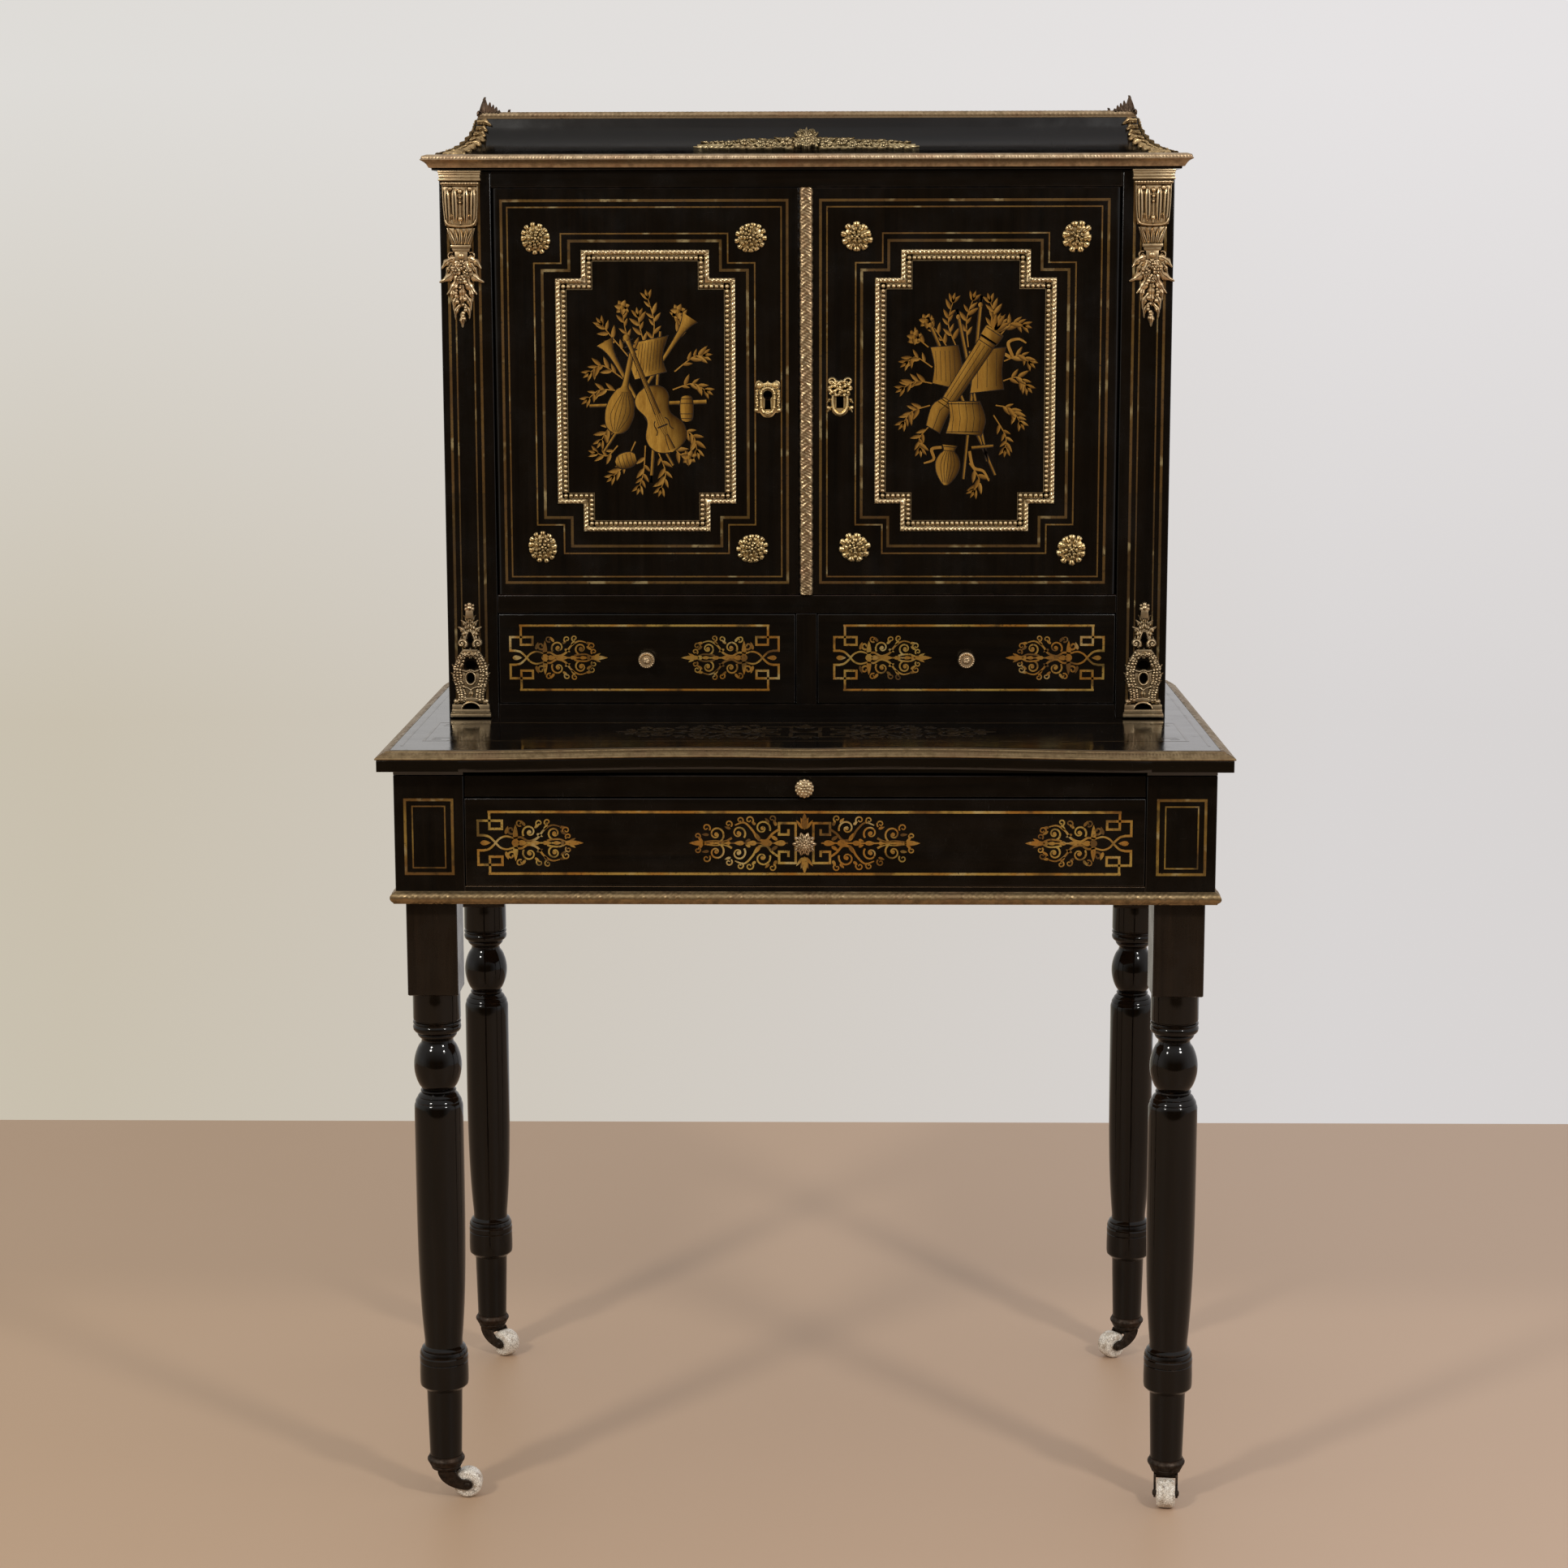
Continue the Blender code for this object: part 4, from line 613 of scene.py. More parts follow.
class Sheet:
    """Flat shapes cut from thin sheet and let into one face, in millimetres."""

    def __init__(self, face, u0=0.0, v0=0.0):
        self.face = lambda u, v, w: face((u0 + u) * MM, (v0 + v) * MM, w * MM)
        self.bm = bmesh.new()
        self.tone = self.bm.faces.layers.float.new("tone")
        self.shade = self.bm.verts.layers.float.new("shade")

    def strip(self, left, right, layer=0, tone=None, material=0, closed=False, shaded=True):
        """A closed thin band between two edge lines."""
        high = INLAY_PROUD + INLAY_STEP * layer
        tone = CHANCE.random() if tone is None else tone
        rows = []
        for line, level, dark in ((left, -INLAY_SUNK, 0), (left, high, 0), (right, high, 1),
                                  (right, -INLAY_SUNK, 1)):
            row = [self.bm.verts.new(self.face(u, v, level)) for u, v in line]
            for vert in row:
                vert[self.shade] = dark if shaded else 0
            rows.append(row)
        count, made = len(left), []
        for k in range(4):
            one, two = rows[k], rows[(k + 1) % 4]
            for i in range(count if closed else count - 1):
                j = (i + 1) % count
                made.append(self.bm.faces.new((one[i], one[j], two[j], two[i])))
        if not closed:
            made.append(self.bm.faces.new([row[0] for row in rows]))
            made.append(self.bm.faces.new([row[-1] for row in rows]))
        for face in made:
            face[self.tone] = tone
            face.material_index = material

    def ribbon(self, points, width, end_width=None, layer=0, tone=None, material=0, closed=False,
               swell=0.0):
        """A band of given width along a line, optionally tapering or swelling in its middle."""
        sides = side_steps(points, closed)
        count = len(points)
        left, right = [], []
        for i, (point, side) in enumerate(zip(points, sides)):
            t = i / max(count - 1, 1)
            w = width + ((width if end_width is None else end_width) - width) * t
            w = max(w + swell * math.sin(math.pi * t), 0.1) / 2
            left.append((point[0] + side.x * w, point[1] + side.y * w))
            right.append((point[0] - side.x * w, point[1] - side.y * w))
        self.strip(left, right, layer, tone, material, closed, False)

    def petal(self, base, tip, width, layer=0, tone=None, material=0):
        """A pointed leaf from its base to its tip."""
        base, tip = Vector(base), Vector(tip)
        along = tip - base
        side = Vector((-along.y, along.x)).normalized()
        left, right = [], []
        for t in (0, 0.12, 0.28, 0.45, 0.62, 0.8, 1):
            w = max(width / 2 * math.sin(math.pi * t ** 0.7) ** 0.8, 0.06)
            middle = base + along * t
            left.append(tuple(middle + side * w))
            right.append(tuple(middle - side * w))
        self.strip(left, right, layer, tone, material)

    def disc(self, centre, radius, radius_up=None, layer=0, tone=None, material=0):
        """A round or oval plate."""
        radius_up = radius_up or radius
        left, right = [], []
        for i in range(13):
            a = math.pi * i / 12
            v, w = radius_up * math.cos(a), max(radius * math.sin(a), 0.06)
            left.append((centre[0] - w, centre[1] + v))
            right.append((centre[0] + w, centre[1] + v))
        self.strip(left, right, layer, tone, material)

    def ring(self, corners, width, tone=None):
        """A closed line with mitred corners."""
        self.ribbon(corners, width, tone=tone, closed=True)

    def finish(self, name, finish, body, slot="gilt_bronze"):
        piece(name, self.bm, finish, body)


def box_corners(u0, u1, v0, v1):
    return [(u0, v0), (u1, v0), (u1, v1), (u0, v1)]


def stepped_corners(u0, u1, v0, v1, step_u, step_v):
    """A rectangle with re-entrant corners."""
    return [(u0 + step_u, v0), (u1 - step_u, v0), (u1 - step_u, v0 + step_v), (u1, v0 + step_v),
            (u1, v1 - step_v), (u1 - step_u, v1 - step_v), (u1 - step_u, v1), (u0 + step_u, v1),
            (u0 + step_u, v1 - step_v), (u0, v1 - step_v), (u0, v0 + step_v),
            (u0 + step_u, v0 + step_v)]


ACROSS = (-1, -0.86, -0.55, -0.2, 0, 0.2, 0.55, 0.86, 1)
RELIEF_SUNK, DOME_STEPS, BAR_EASE = 0.3, 4, 0.5
LEAF_STATIONS = (0, 0.1, 0.24, 0.4, 0.56, 0.72, 0.87, 1)


class Relief:
    """Raised work on one face, in millimetres about a place on it."""

    def __init__(self, face, u0=0.0, v0=0.0, flip=1, bm=None, foot=-RELIEF_SUNK):
        self.face = lambda u, v, w: face((u0 + flip * u) * MM, (v0 + v) * MM, w * MM)
        self.bm = bmesh.new() if bm is None else bm
        self.foot = foot

    def blade(self, spine, widths, rises, vein=0.3):
        """A leaf, petal or strap with a rounded back, along a spine of (across, up, out) points."""
        rings = []
        for (u, v, w), side, width, rise in zip(spine, side_steps(spine), widths, rises):
            half = max(width, 0.15) / 2
            ring = [self.face(u - side.x * half, v - side.y * half, self.foot)]
            for a in ACROSS:
                swell = (1 - a * a) ** 0.6 * (1 - vein * math.exp(-(a / 0.16) ** 2))
                ring.append(self.face(u + side.x * half * a, v + side.y * half * a,
                                      w + rise * swell))
            ring.append(self.face(u + side.x * half, v + side.y * half, self.foot))
            rings.append(ring)
        loft(self.bm, rings)

    def leaf(self, base, tip, width, rise, bend=0.0, lift=0.0, lobes=0, curl=0.0):
        """A leaf: `bend` bows it sideways, `lift` raises its tip, `lobes` cut its edges."""
        base, tip = Vector(base), Vector(tip)
        along = tip - base
        side = Vector((-along.y, along.x))
        stations = LEAF_STATIONS
        if lobes:
            stations = [i / (4 * lobes) for i in range(4 * lobes + 1)]
        spine, widths, rises = [], [], []
        for t in stations:
            middle = base + along * t + side * bend * math.sin(math.pi * t)
            spine.append((middle.x, middle.y, lift * t * t + curl * max(t - 0.7, 0)))
            body = math.sin(math.pi * (0.08 + 0.9 * t) ** 0.75) ** 0.7
            cut = 1 - 0.42 * (0.5 - 0.5 * math.cos(2 * math.pi * lobes * t)) if lobes else 1
            widths.append(width * body * cut)
            rises.append(rise * cut * (0.35 + 0.65 * math.sin(math.pi * (0.1 + 0.85 * t))))
        self.blade(spine, widths, rises)

    def leaves(self, rows, rise, lobes=0, lift=0.0):
        """Leaves alike to left and right: rows of (base, tip, width, bend)."""
        for base, tip, width, bend in rows:
            for s in (1, -1):
                self.leaf((s * base[0], base[1]), (s * tip[0], tip[1]), width, rise, bend * s,
                          lift, lobes)

    def dome(self, u, v, radius, rise, sides=10, lift=0.0):
        """A rounded boss."""
        levels = [(1.0, self.foot), (1.0, lift)]
        for k in range(1, DOME_STEPS):
            a = math.pi / 2 * k / DOME_STEPS
            levels.append((math.cos(a), lift + rise * math.sin(a)))
        levels.append((0.06, lift + rise))
        loft(self.bm, [[self.face(u + radius * share * math.cos(2 * math.pi * i / sides),
                                  v + radius * share * math.sin(2 * math.pi * i / sides), level)
                        for i in range(sides)] for share, level in levels])

    def strap(self, line, width, rise, end_width=None):
        """A rounded strap along a line."""
        count = len(line)
        end_width = width if end_width is None else end_width
        taper = [width + (end_width - width) * i / (count - 1) for i in range(count)]
        self.blade([(u, v, 0) for u, v in line], taper,
                   [rise * (0.5 + 0.5 * w / width) for w in taper], vein=0.0)

    def both_straps(self, line, width, rise, end_width=None):
        for s in (1, -1):
            self.strap([(s * u, v) for u, v in line], width, rise, end_width)

    def flower(self, u, v, radius, petals, rise, inner=0.22, turned=0.0, lift=0.0, width=None,
               uneven=0.0):
        """A ring of petals, alike or uneven."""
        width = width or 2.3 * radius * math.sin(math.pi / petals)
        for k in range(petals):
            sway = uneven * math.sin(5.3 * k + 9.1 * turned)
            reach, broad = radius * (1 + sway), width * (1 - 1.4 * sway)
            a = 2 * math.pi * (k + turned + 1.6 * sway) / petals
            spine, widths, rises = [], [], []
            for t in (0, 0.25, 0.5, 0.72, 0.88, 0.97, 1):
                r = reach * (inner + (1 - inner) * t)
                spine.append((u + r * math.cos(a), v + r * math.sin(a), lift + 0.15 * rise * t))
                widths.append(broad * (0.35 + 0.65 * t) * (1 - t ** 6) ** 0.5)
                rises.append(rise * (0.5 + 0.5 * math.sin(math.pi * min(t * 1.1, 1))))
            self.blade(spine, widths, rises, vein=0.45)

    def bar(self, half, v0, v1, out, taper=0.0, u0=0.0):
        """A raised fillet across a face, with eased edges and optionally narrower below."""
        rings = []
        for inset, level in ((0, self.foot), (0, out - BAR_EASE),
                             (0.3 * BAR_EASE, out - 0.3 * BAR_EASE), (BAR_EASE, out)):
            low, high = half - taper - inset, half - inset
            rings.append([self.face(u0 - low, v0 + inset, level), self.face(u0 + low, v0 + inset, level),
                          self.face(u0 + high, v1 - inset, level),
                          self.face(u0 - high, v1 - inset, level)])
        loft(self.bm, rings)

    def cushion(self, half_outline, rise):
        """A plate with a rounded edge, alike to left and right."""
        line = rounded(half_outline, 4)
        outline = [*line, *((-u, v) for u, v in line[-2:0:-1])]
        loft(self.bm, [[self.face(u * s, v * s, w) for u, v in outline]
                       for s, w in ((1, self.foot), (1, 0.5 * rise), (0.96, 0.85 * rise), (0.9, rise))])

    def plate(self, outline, low, high):
        """A flat plate cut to an outline."""
        loft(self.bm, [[self.face(u, v, level) for u, v in outline] for level in (low, high)])

    def finish(self, name, finish, body, stands_for=(), crease=38):
        piece(name, self.bm, finish, body, stands_for, crease)


# Mouldings that run round the front


def rail(half, front_y, back_y, step, bowed=False, closed=False):
    """Stations (x, y, out x, out y, run) from the back left corner round the front and back."""
    stations, run = [], 0.0
    deep = max(2, round((back_y - front_y) / step))
    wide = max(2, round(2 * half / step))
    for i in range(deep):
        back_out = 1 if closed and i == 0 else 0
        stations.append((-half, back_y + (front_y - back_y) * i / deep, -1, back_out))
    for i in range(wide + 1):
        x = -half + 2 * half * i / wide
        out_x = -1 if i == 0 else 1 if i == wide else 0
        stations.append((x, front_y + (recess(x) if bowed else 0), out_x, -1))
    for i in range(1, deep + 1):
        back_out = 1 if closed and i == deep else 0
        stations.append((half, front_y + (back_y - front_y) * i / deep, 1, back_out))
    if closed:
        for i in range(1, wide):
            stations.append((half - 2 * half * i / wide, back_y, 0, 1))
    result, last = [], None
    for x, y, out_x, out_y in stations:
        run += math.hypot(x - last[0], y - last[1]) if last else 0
        result.append((x, y, out_x, out_y, run / MM))
        last = (x, y)
    return result


def moulding(name, stations, section, base_z, cad_node, finish="moulding", closed=False):
    """A strip whose section(run) gives (out, up) points in millimetres, mitred at the corners."""
    bm = bmesh.new()
    half, front, back = (max(s[0] for s in stations), min(s[1] for s in stations),
                         max(s[1] for s in stations))
    rings = []
    for x, y, out_x, out_y, run in stations:
        ring = []
        for out, up in section(run):
            px, py, inset = x + out_x * out * MM, y + out_y * out * MM, out * MM
            if not out_x:
                px = min(max(px, -half - inset), half + inset)
            elif not out_y:
                py = max(py, front - inset)
                py = min(py, back + inset) if closed else py
            ring.append((px, py, base_z + up * MM))
        rings.append(ring)
    loft(bm, rings, closed)
    bmesh.ops.remove_doubles(bm, verts=bm.verts, dist=0.001 * MM)
    piece(name, bm, finish, "carcass", [cad_node], 50)


def wave(run, pitch, sharp=1.0):
    return abs(math.sin(math.pi * run / pitch)) ** sharp


def top_edge_section(run):
    """A sloping reeded band on the table top's edge, between two narrow beads."""
    reed = 0.35 * wave(run, 3.2, 0.7)
    pearl = 0.25 * wave(run + 1.6, 3.2, 0.7)
    return [(-1.5, -8.0), (-0.5, -7.8), (0, -7.2), (-0.1, -6.5), (-0.8, -5.8), (-1.6, -5.6),
            (-2.4, -5.1 + reed), (-5.2, -3.5 + reed), (-7.6, -2.2 + reed), (-8.4, -1.9),
            (-9.0, -1.2 + pearl), (-10.2, -0.6 + pearl), (-11.4, -0.45), (-12.2, -0.7), (-13, -0.2),
            (-13, -8.0)]


def base_section(run):
    """A half-round foot moulding with a worn crossed ribbon."""
    points = [(-0.2, 0), (1.8, 0)]
    worn = 0.6 + 0.4 * math.sin(run / 17) * math.sin(run / 7.1)
    for k in range(9):
        a = math.radians(-62 + 136 * k / 8)
        twist = wave(run + 11.0 * k / 8, 10.5, 0.5)
        cross = wave(run - 9.0 * k / 8, 5.25, 3.0)
        r = 5.0 + (0.75 * twist + 0.5 * cross) * worn
        points.append((r * math.cos(a), 6.0 + r * math.sin(a)))
    return [*points, (-0.2, 12.5)]


def cornice_section(run):
    """A beaked brass nosing at the cornice: a ribbed fillet over a long hollow slope."""
    rib = 0.9 * wave(run, 3.4, 0.7)
    return [(-10, 0), (-7.8, 0), (-7.0, 1.4), (-5.9, 3.2), (-4.2, 4.9), (-2.0, 6.3), (-0.4, 7.1),
            (0, 7.7), (-0.3, 8.3), (-1.2, 8.6), (-1.9 + rib, 9.2), (-2.2 + rib, 10.4),
            (-2.8 + rib, 11.4), (-4.0, 12.0), (-5.4, 12.6), (-6.8, 12.9), (-10, 13)]


def rim_section(run):
    """A low gallery: a fillet under a rounded band with worn pearls."""
    pearl = 0.5 * wave(run, 4.6, 0.7)
    return [(-6, 0), (0, 0), (0, 1.1), (-0.7, 1.6), (-0.9 + pearl, 2.8), (-0.9 + pearl, 4.4),
            (-1.5, 5.6), (-2.4, 6.4 + 0.5 * pearl), (-3.6, 6.5 + 0.5 * pearl), (-5, 6.2), (-6, 5.2)]


def make_mouldings():
    moulding("table_top_edge_brass",
             rail(TOP_HALF, TOP_FRONT_Y, TOP_BACK_Y, 0.8 * MM, bowed=True),
             top_edge_section, TOP_Z, "table_top_moulding")
    moulding("apron_foot_brass",
             rail(APRON_HALF, APRON_FRONT_Y, APRON_BACK_Y, 1.1 * MM),
             base_section, APRON_Z, "table_base_moulding")
    moulding("cornice_brass", rail(CORNICE_HIGH.x, CORNICE_LOW.y, CORNICE_HIGH.y, 0.675 * MM),
             cornice_section, CORNICE_LOW.z, "cornice_moulding", "cornice")
    moulding("crown_gallery", rail(RIM_HIGH.x, RIM_LOW.y, RIM_HIGH.y, 1.15 * MM, closed=True),
             rim_section, RIM_LOW.z, "crown_rim", "nosing", closed=True)


CORNER_LEAF = ((4.0, 3), (4.6, 11), (5.2, 19.4), (6.4, 21.6), (7.8, 20.2), (9.6, 15.0), (10.4, 13.0),
               (12.2, 16.8), (13.2, 15.8), (14.0, 11.2), (15.6, 14.4), (16.6, 13.4), (17.2, 9.6),
               (18.8, 12.2), (19.8, 11.2), (20.4, 8.0), (22.4, 8.8), (25.0, 4))
CORNER_RIBS = (((7, 6), (6.5, 20.6), 3.2), ((11.2, 6), (12.4, 15.8), 2.4), ((14.6, 6), (15.8, 13.4), 2.2),
               ((17.8, 5.6), (19.0, 11.2), 2.0), ((20.6, 5), (22.0, 8.0), 1.8))


def make_corner_leaves():
    """Toothed leaves that stand on the corners of the crown's rim, one along each side."""
    for name, sx, y, sy in (("front_left", -1, RIM_LOW.y, 1), ("front_right", 1, RIM_LOW.y, 1),
                            ("back_left", -1, RIM_HIGH.y, -1), ("back_right", 1, RIM_HIGH.y, -1)):
        x, bm = sx * RIM_HIGH.x, bmesh.new()

        def front_wing(u, v, w):
            lean = 0.36 * max(v - 6 * MM, 0)
            return Vector((x - sx * u, y - sy * (w - lean - 1.4 * MM), RIM_LOW.z + v))

        def side_wing(u, v, w):
            lean = 0.36 * max(v - 6 * MM, 0)
            return Vector((x + sx * (w - lean - 1.4 * MM), y + sy * u, RIM_LOW.z + v))

        for wing in (front_wing, side_wing):
            work = Relief(wing, bm=bm)
            work.plate(CORNER_LEAF, -1.6, 0.2)
            for base, tip, width in CORNER_RIBS:
                work.leaf(base, tip, width, 1.1)
            work.strap(spiral((2.6, 5.4), 2.7, 0.9, 250, -420, 20), 1.9, 1.9, 1.2)
        piece(f"crown_{name}_leaf", bm, "bronze", "carcass")


def make_boards():
    """Every plain board, with eased edges and its finish."""
    eased("table_top", "table_top_board", "top")
    eased("writing_slide", "writing_slide_board", "level")
    eased("table_drawer_front", "table_drawer_board", "level", ease=0.9)
    eased("table_back_apron", "table_back_board", "level")
    for side, sx in (("left", 1), ("right", -1)):
        eased(f"table_{side}_apron", f"table_{side}_side_board", "level")
        eased(f"table_front_{side}_stile", f"table_{side}_stile_board", "upright", ease=0.9)
        eased(f"cabinet_{side}_side", f"cabinet_{side}_side_board", "upright",
              other=((sx, 0, 0), "inside"))
        eased(f"cabinet_{side}_pilaster", f"cabinet_{side}_pilaster_board", "upright", ease=1.0)
        eased(f"{side}_door", f"{side}_door_board", "upright", ease=0.8,
              other=((0, 1, 0), "inside"))
        eased(f"{side}_drawer_front", f"{side}_drawer_board", "level", ease=1.0)
        eased(f"{side}_drawer_tray", f"{side}_drawer_box", "oak", 0.5)
    eased("cabinet_back", "cabinet_back_board", "upright", other=((0, -1, 0), "inside"))
    eased("cabinet_bottom", "cabinet_floor_board", "level")
    eased("cabinet_drawer_partition", "cabinet_partition_board", "upright")
    eased("cabinet_deck", "cabinet_deck_board", "level", other=((0, 0, 1), "inside"))
    eased("cabinet_frieze_rail", "cabinet_frieze_board", "level")
    eased("cabinet_shelf", "cabinet_shelf_board", "inside")
    eased("cornice_board", "cornice_top_board", "level")
    eased("coved_crown", "crown_cove", "level", curved=True)
    eased("table_bottom_board", "table_floor_board", "oak",
          other=((0, -1, 0), "level"))
    eased("slide_bearer", "slide_bearer_board", "oak")
    eased("table_drawer_tray", "table_drawer_box", "oak", 0.5)
    for side in ("left", "right"):
        for level in ("lower", "upper"):
            cad = f"{side}_door_{level}_pivot"
            eased(cad, f"{side}_door_{level}_pin", "iron", 0.3)


# Legs and casters

LEG_BLOCK_HALF, LEG_BLOCK_LENGTH, LEG_NECK_START = 24.75 * MM, 94.5 * MM, 101.5 * MM
CASTER_HEADINGS = {"front_left": 0, "front_right": 264, "back_left": 320, "back_right": 215}
CASTER_TRAIL, WHEEL_RADIUS = 22 * MM, 14.5 * MM
FORK_INNER, FORK_OUTER = 9.75 * MM, 12.05 * MM

# Turned parts as (distance below the neck's start, radius) in millimetres
LEG_NECK = ((-9, 23.4), (0, 23.4), (19.5, 23.5), (20.8, 23.3), (21.5, 22.2), (22.3, 22.2),
            (23.0, 23.5), (24.4, 23.7), (25.3, 22.6), (26.1, 22.6), (27.0, 23.4), (29.0, 23.8),
            (31.4, 23.4), (33.4, 21.8), (34.6, 19.7), (35.2, 19.2), (36.2, 19.5), (37.8, 18.8),
            (39.4, 17.4), (40.4, 16.2), (42.0, 15.5), (43.6, 15.9))
LEG_SHOULDER = ((91.8, 15.7), (92.5, 17.2), (93.6, 17.6), (94.8, 17.1), (95.3, 16.6), (96.0, 17.7),
                (98.0, 19.7), (99.0, 20.3), (99.7, 19.9), (100.4, 20.9), (103.0, 22.5),
                (104.2, 22.9), (104.9, 22.3), (105.8, 23.0), (107.4, 23.7))
LEG_COLLAR = ((354.0, 18.9), (356.4, 19.0), (357.6, 20.8), (359.0, 21.9), (360.0, 22.0),
              (360.6, 21.4), (361.4, 22.9), (363.6, 23.8), (365.2, 24.0), (366.0, 23.2),
              (366.8, 23.2), (367.8, 24.1), (371.2, 24.3), (372.8, 24.2), (373.4, 23.5),
              (374.1, 24.1), (384.5, 24.4), (394.0, 24.4), (397.5, 23.9), (400.4, 21.2),
              (402.8, 18.1), (404.2, 17.8))


def leg_profile():
    below = [*LEG_NECK]
    for i in range(15):
        t = i / 14
        below.append((44.6 + 46.6 * t, 16.0 + 7.6 * math.sin(math.pi * t) ** 0.72))
    below += LEG_SHOULDER
    for i in range(21):
        t = i / 20
        below.append((109.5 + 241.5 * t, 24.1 - 5.2 * t ** 4.5))
    below += LEG_COLLAR
    for i in range(1, 6):
        below.append((404.2 + 71.7 * i / 5, 17.8 - 1.8 * i / 5))
    return below


def chamfered(half_x, half_y, cut, level):
    return [(half_x - cut, -half_y, level), (half_x, cut - half_y, level),
            (half_x, half_y - cut, level), (half_x - cut, half_y, level),
            (cut - half_x, half_y, level), (-half_x, half_y - cut, level),
            (-half_x, cut - half_y, level), (cut - half_x, -half_y, level)]


def set_down(bm, x, y, heading=0):
    place = Matrix.Translation((x, y, 0)) @ Matrix.Rotation(math.radians(heading), 4, "Z")
    bmesh.ops.transform(bm, matrix=place, verts=bm.verts)


def make_leg(corner):
    low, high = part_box(f"{corner}_leg")
    x, y, start = (low.x + high.x) / 2, (low.y + high.y) / 2, high.z - LEG_NECK_START
    seat = high.z - LEG_BLOCK_LENGTH
    half, cut = LEG_BLOCK_HALF, 0.9 * MM
    bm = bmesh.new()
    turn(bm, [(r * MM, start - d * MM) for d, r in leg_profile()], LEG_SIDES)
    turned = len(bm.faces)
    loft(bm, [chamfered(half - cut, half - cut, cut, seat), chamfered(half, half, cut, seat + cut),
              chamfered(half, half, cut, high.z - cut),
              chamfered(half - cut, half - cut, cut, high.z)])
    set_down(bm, x, y)
    bm.faces.ensure_lookup_table()
    for face in bm.faces[turned:]:
        face.material_index = 1
    piece(f"{corner}_turned_leg", bm, ("turned", "block"), "carcass",
          [f"{corner}_leg"], 32)
    return x, y


SOCKET_PROFILE = ((0, 29.6), (13.4, 29.6), (14.5, 30.2), (14.9, 32.0), (15.6, 33.0), (15.2, 33.7),
                  (16.3, 34.3), (17.2, 36.4), (18.4, 38.1), (18.8, 39.6), (18.5, 40.8),
                  (17.6, 42.0), (16.6, 43.4), (16.6, 44.4), (16.1, 44.5), (16.1, 41.0), (0, 41.0))
FORK_BACK = ((-7.4, 28.9), (-6.4, 24.8), (-2.4, 18.8), (5.0, 13.6), (13.0, 10.8), (20.5, 9.8),
             (24.6, 10.4), (26.9, 12.4), (27.4, 14.4))
FORK_FRONT = ((10.5, 28.9), (11.6, 27.2), (13.0, 24.6), (14.8, 22.2), (17.2, 20.7), (20.2, 20.4),
              (23.4, 19.6), (26.2, 17.8), (27.4, 14.8))
AXLE_END = ((0, 13.4), (1.6, 13.2), (2.8, 12.6), (3.2, 12.0), (2.4, 11.6), (2.4, 0))
WHEEL_PROFILE = ((2.8, 8.4), (5.6, 8.4), (6.4, 9.1), (11.0, 9.25), (12.7, 8.7), (13.9, 7.2),
                 (14.4, 5.0), (14.5, 2.0), (14.5, -2.0), (14.4, -5.0), (13.9, -7.2), (12.7, -8.7),
                 (11.0, -9.25), (6.4, -9.1), (5.6, -8.4), (2.8, -8.4))


def make_caster(corner, x, y):
    bm = turn(bmesh.new(), [(r * MM, z * MM) for r, z in SOCKET_PROFILE], CASTER_SIDES)
    set_down(bm, x, y)
    piece(f"{corner}_socket_cup", bm, "iron", "carcass", [f"{corner}_caster_socket"])

    bm = bmesh.new()
    back, front = rounded(FORK_BACK, 3), rounded(FORK_FRONT, 3)
    for sign in (1, -1):
        rings = []
        for (u0, z0), (u1, z1) in zip(back, front):
            one, two = Vector((u0, z0)) * MM, Vector((u1, z1)) * MM
            ease = (two - one) * min(0.25, 0.5 * MM / max((two - one).length, 0.1 * MM))
            rings.append([(p.x, sign * q, p.y) for p, q in
                          ((one, FORK_INNER), (one, FORK_OUTER - 0.5 * MM),
                           (one + ease, FORK_OUTER), (two - ease, FORK_OUTER),
                           (two, FORK_OUTER - 0.5 * MM), (two, FORK_INNER))])
        loft(bm, rings)
        axle = turn(bmesh.new(), [(r * MM, z * MM) for r, z in AXLE_END], AXLE_SIDES)
        seat = Matrix.Translation((CASTER_TRAIL, 0, WHEEL_RADIUS))
        seat @= Matrix.Rotation(-sign * math.pi / 2, 4, "X")
        bmesh.ops.transform(axle, matrix=seat, verts=axle.verts)
        spare = bpy.data.meshes.new("axle")
        axle.to_mesh(spare)
        axle.free()
        bm.from_mesh(spare)
        bpy.data.meshes.remove(spare)
    plate = [(level * MM, cut * MM) for level, cut in ((25.4, 1.2), (26.2, 0.4), (28.4, 0.4),
                                                      (29.2, 1.2))]
    loft(bm, [[(px + 1.55 * MM, py, pz) for px, py, pz in
               chamfered(8.95 * MM - cut / 2, FORK_OUTER - cut / 2, 2.4 * MM, level)]
              for level, cut in plate])
    set_down(bm, x, y, CASTER_HEADINGS[corner])
    piece(f"{corner}_fork_horns", bm, "iron", f"{corner}_fork",
          [f"{corner}_caster_fork"])

    bm = bmesh.new()
    angles = [2 * math.pi * i / CASTER_SIDES for i in range(CASTER_SIDES)]
    loft(bm, [[(CASTER_TRAIL + r * MM * math.cos(a), w * MM, WHEEL_RADIUS + r * MM * math.sin(a))
               for a in angles] for r, w in WHEEL_PROFILE], closed=True)
    set_down(bm, x, y, CASTER_HEADINGS[corner])
    piece(f"{corner}_china_wheel", bm, "china", f"{corner}_wheel",
          [f"{corner}_caster_wheel"])


# Brass on the doors and drawers: places in millimetres

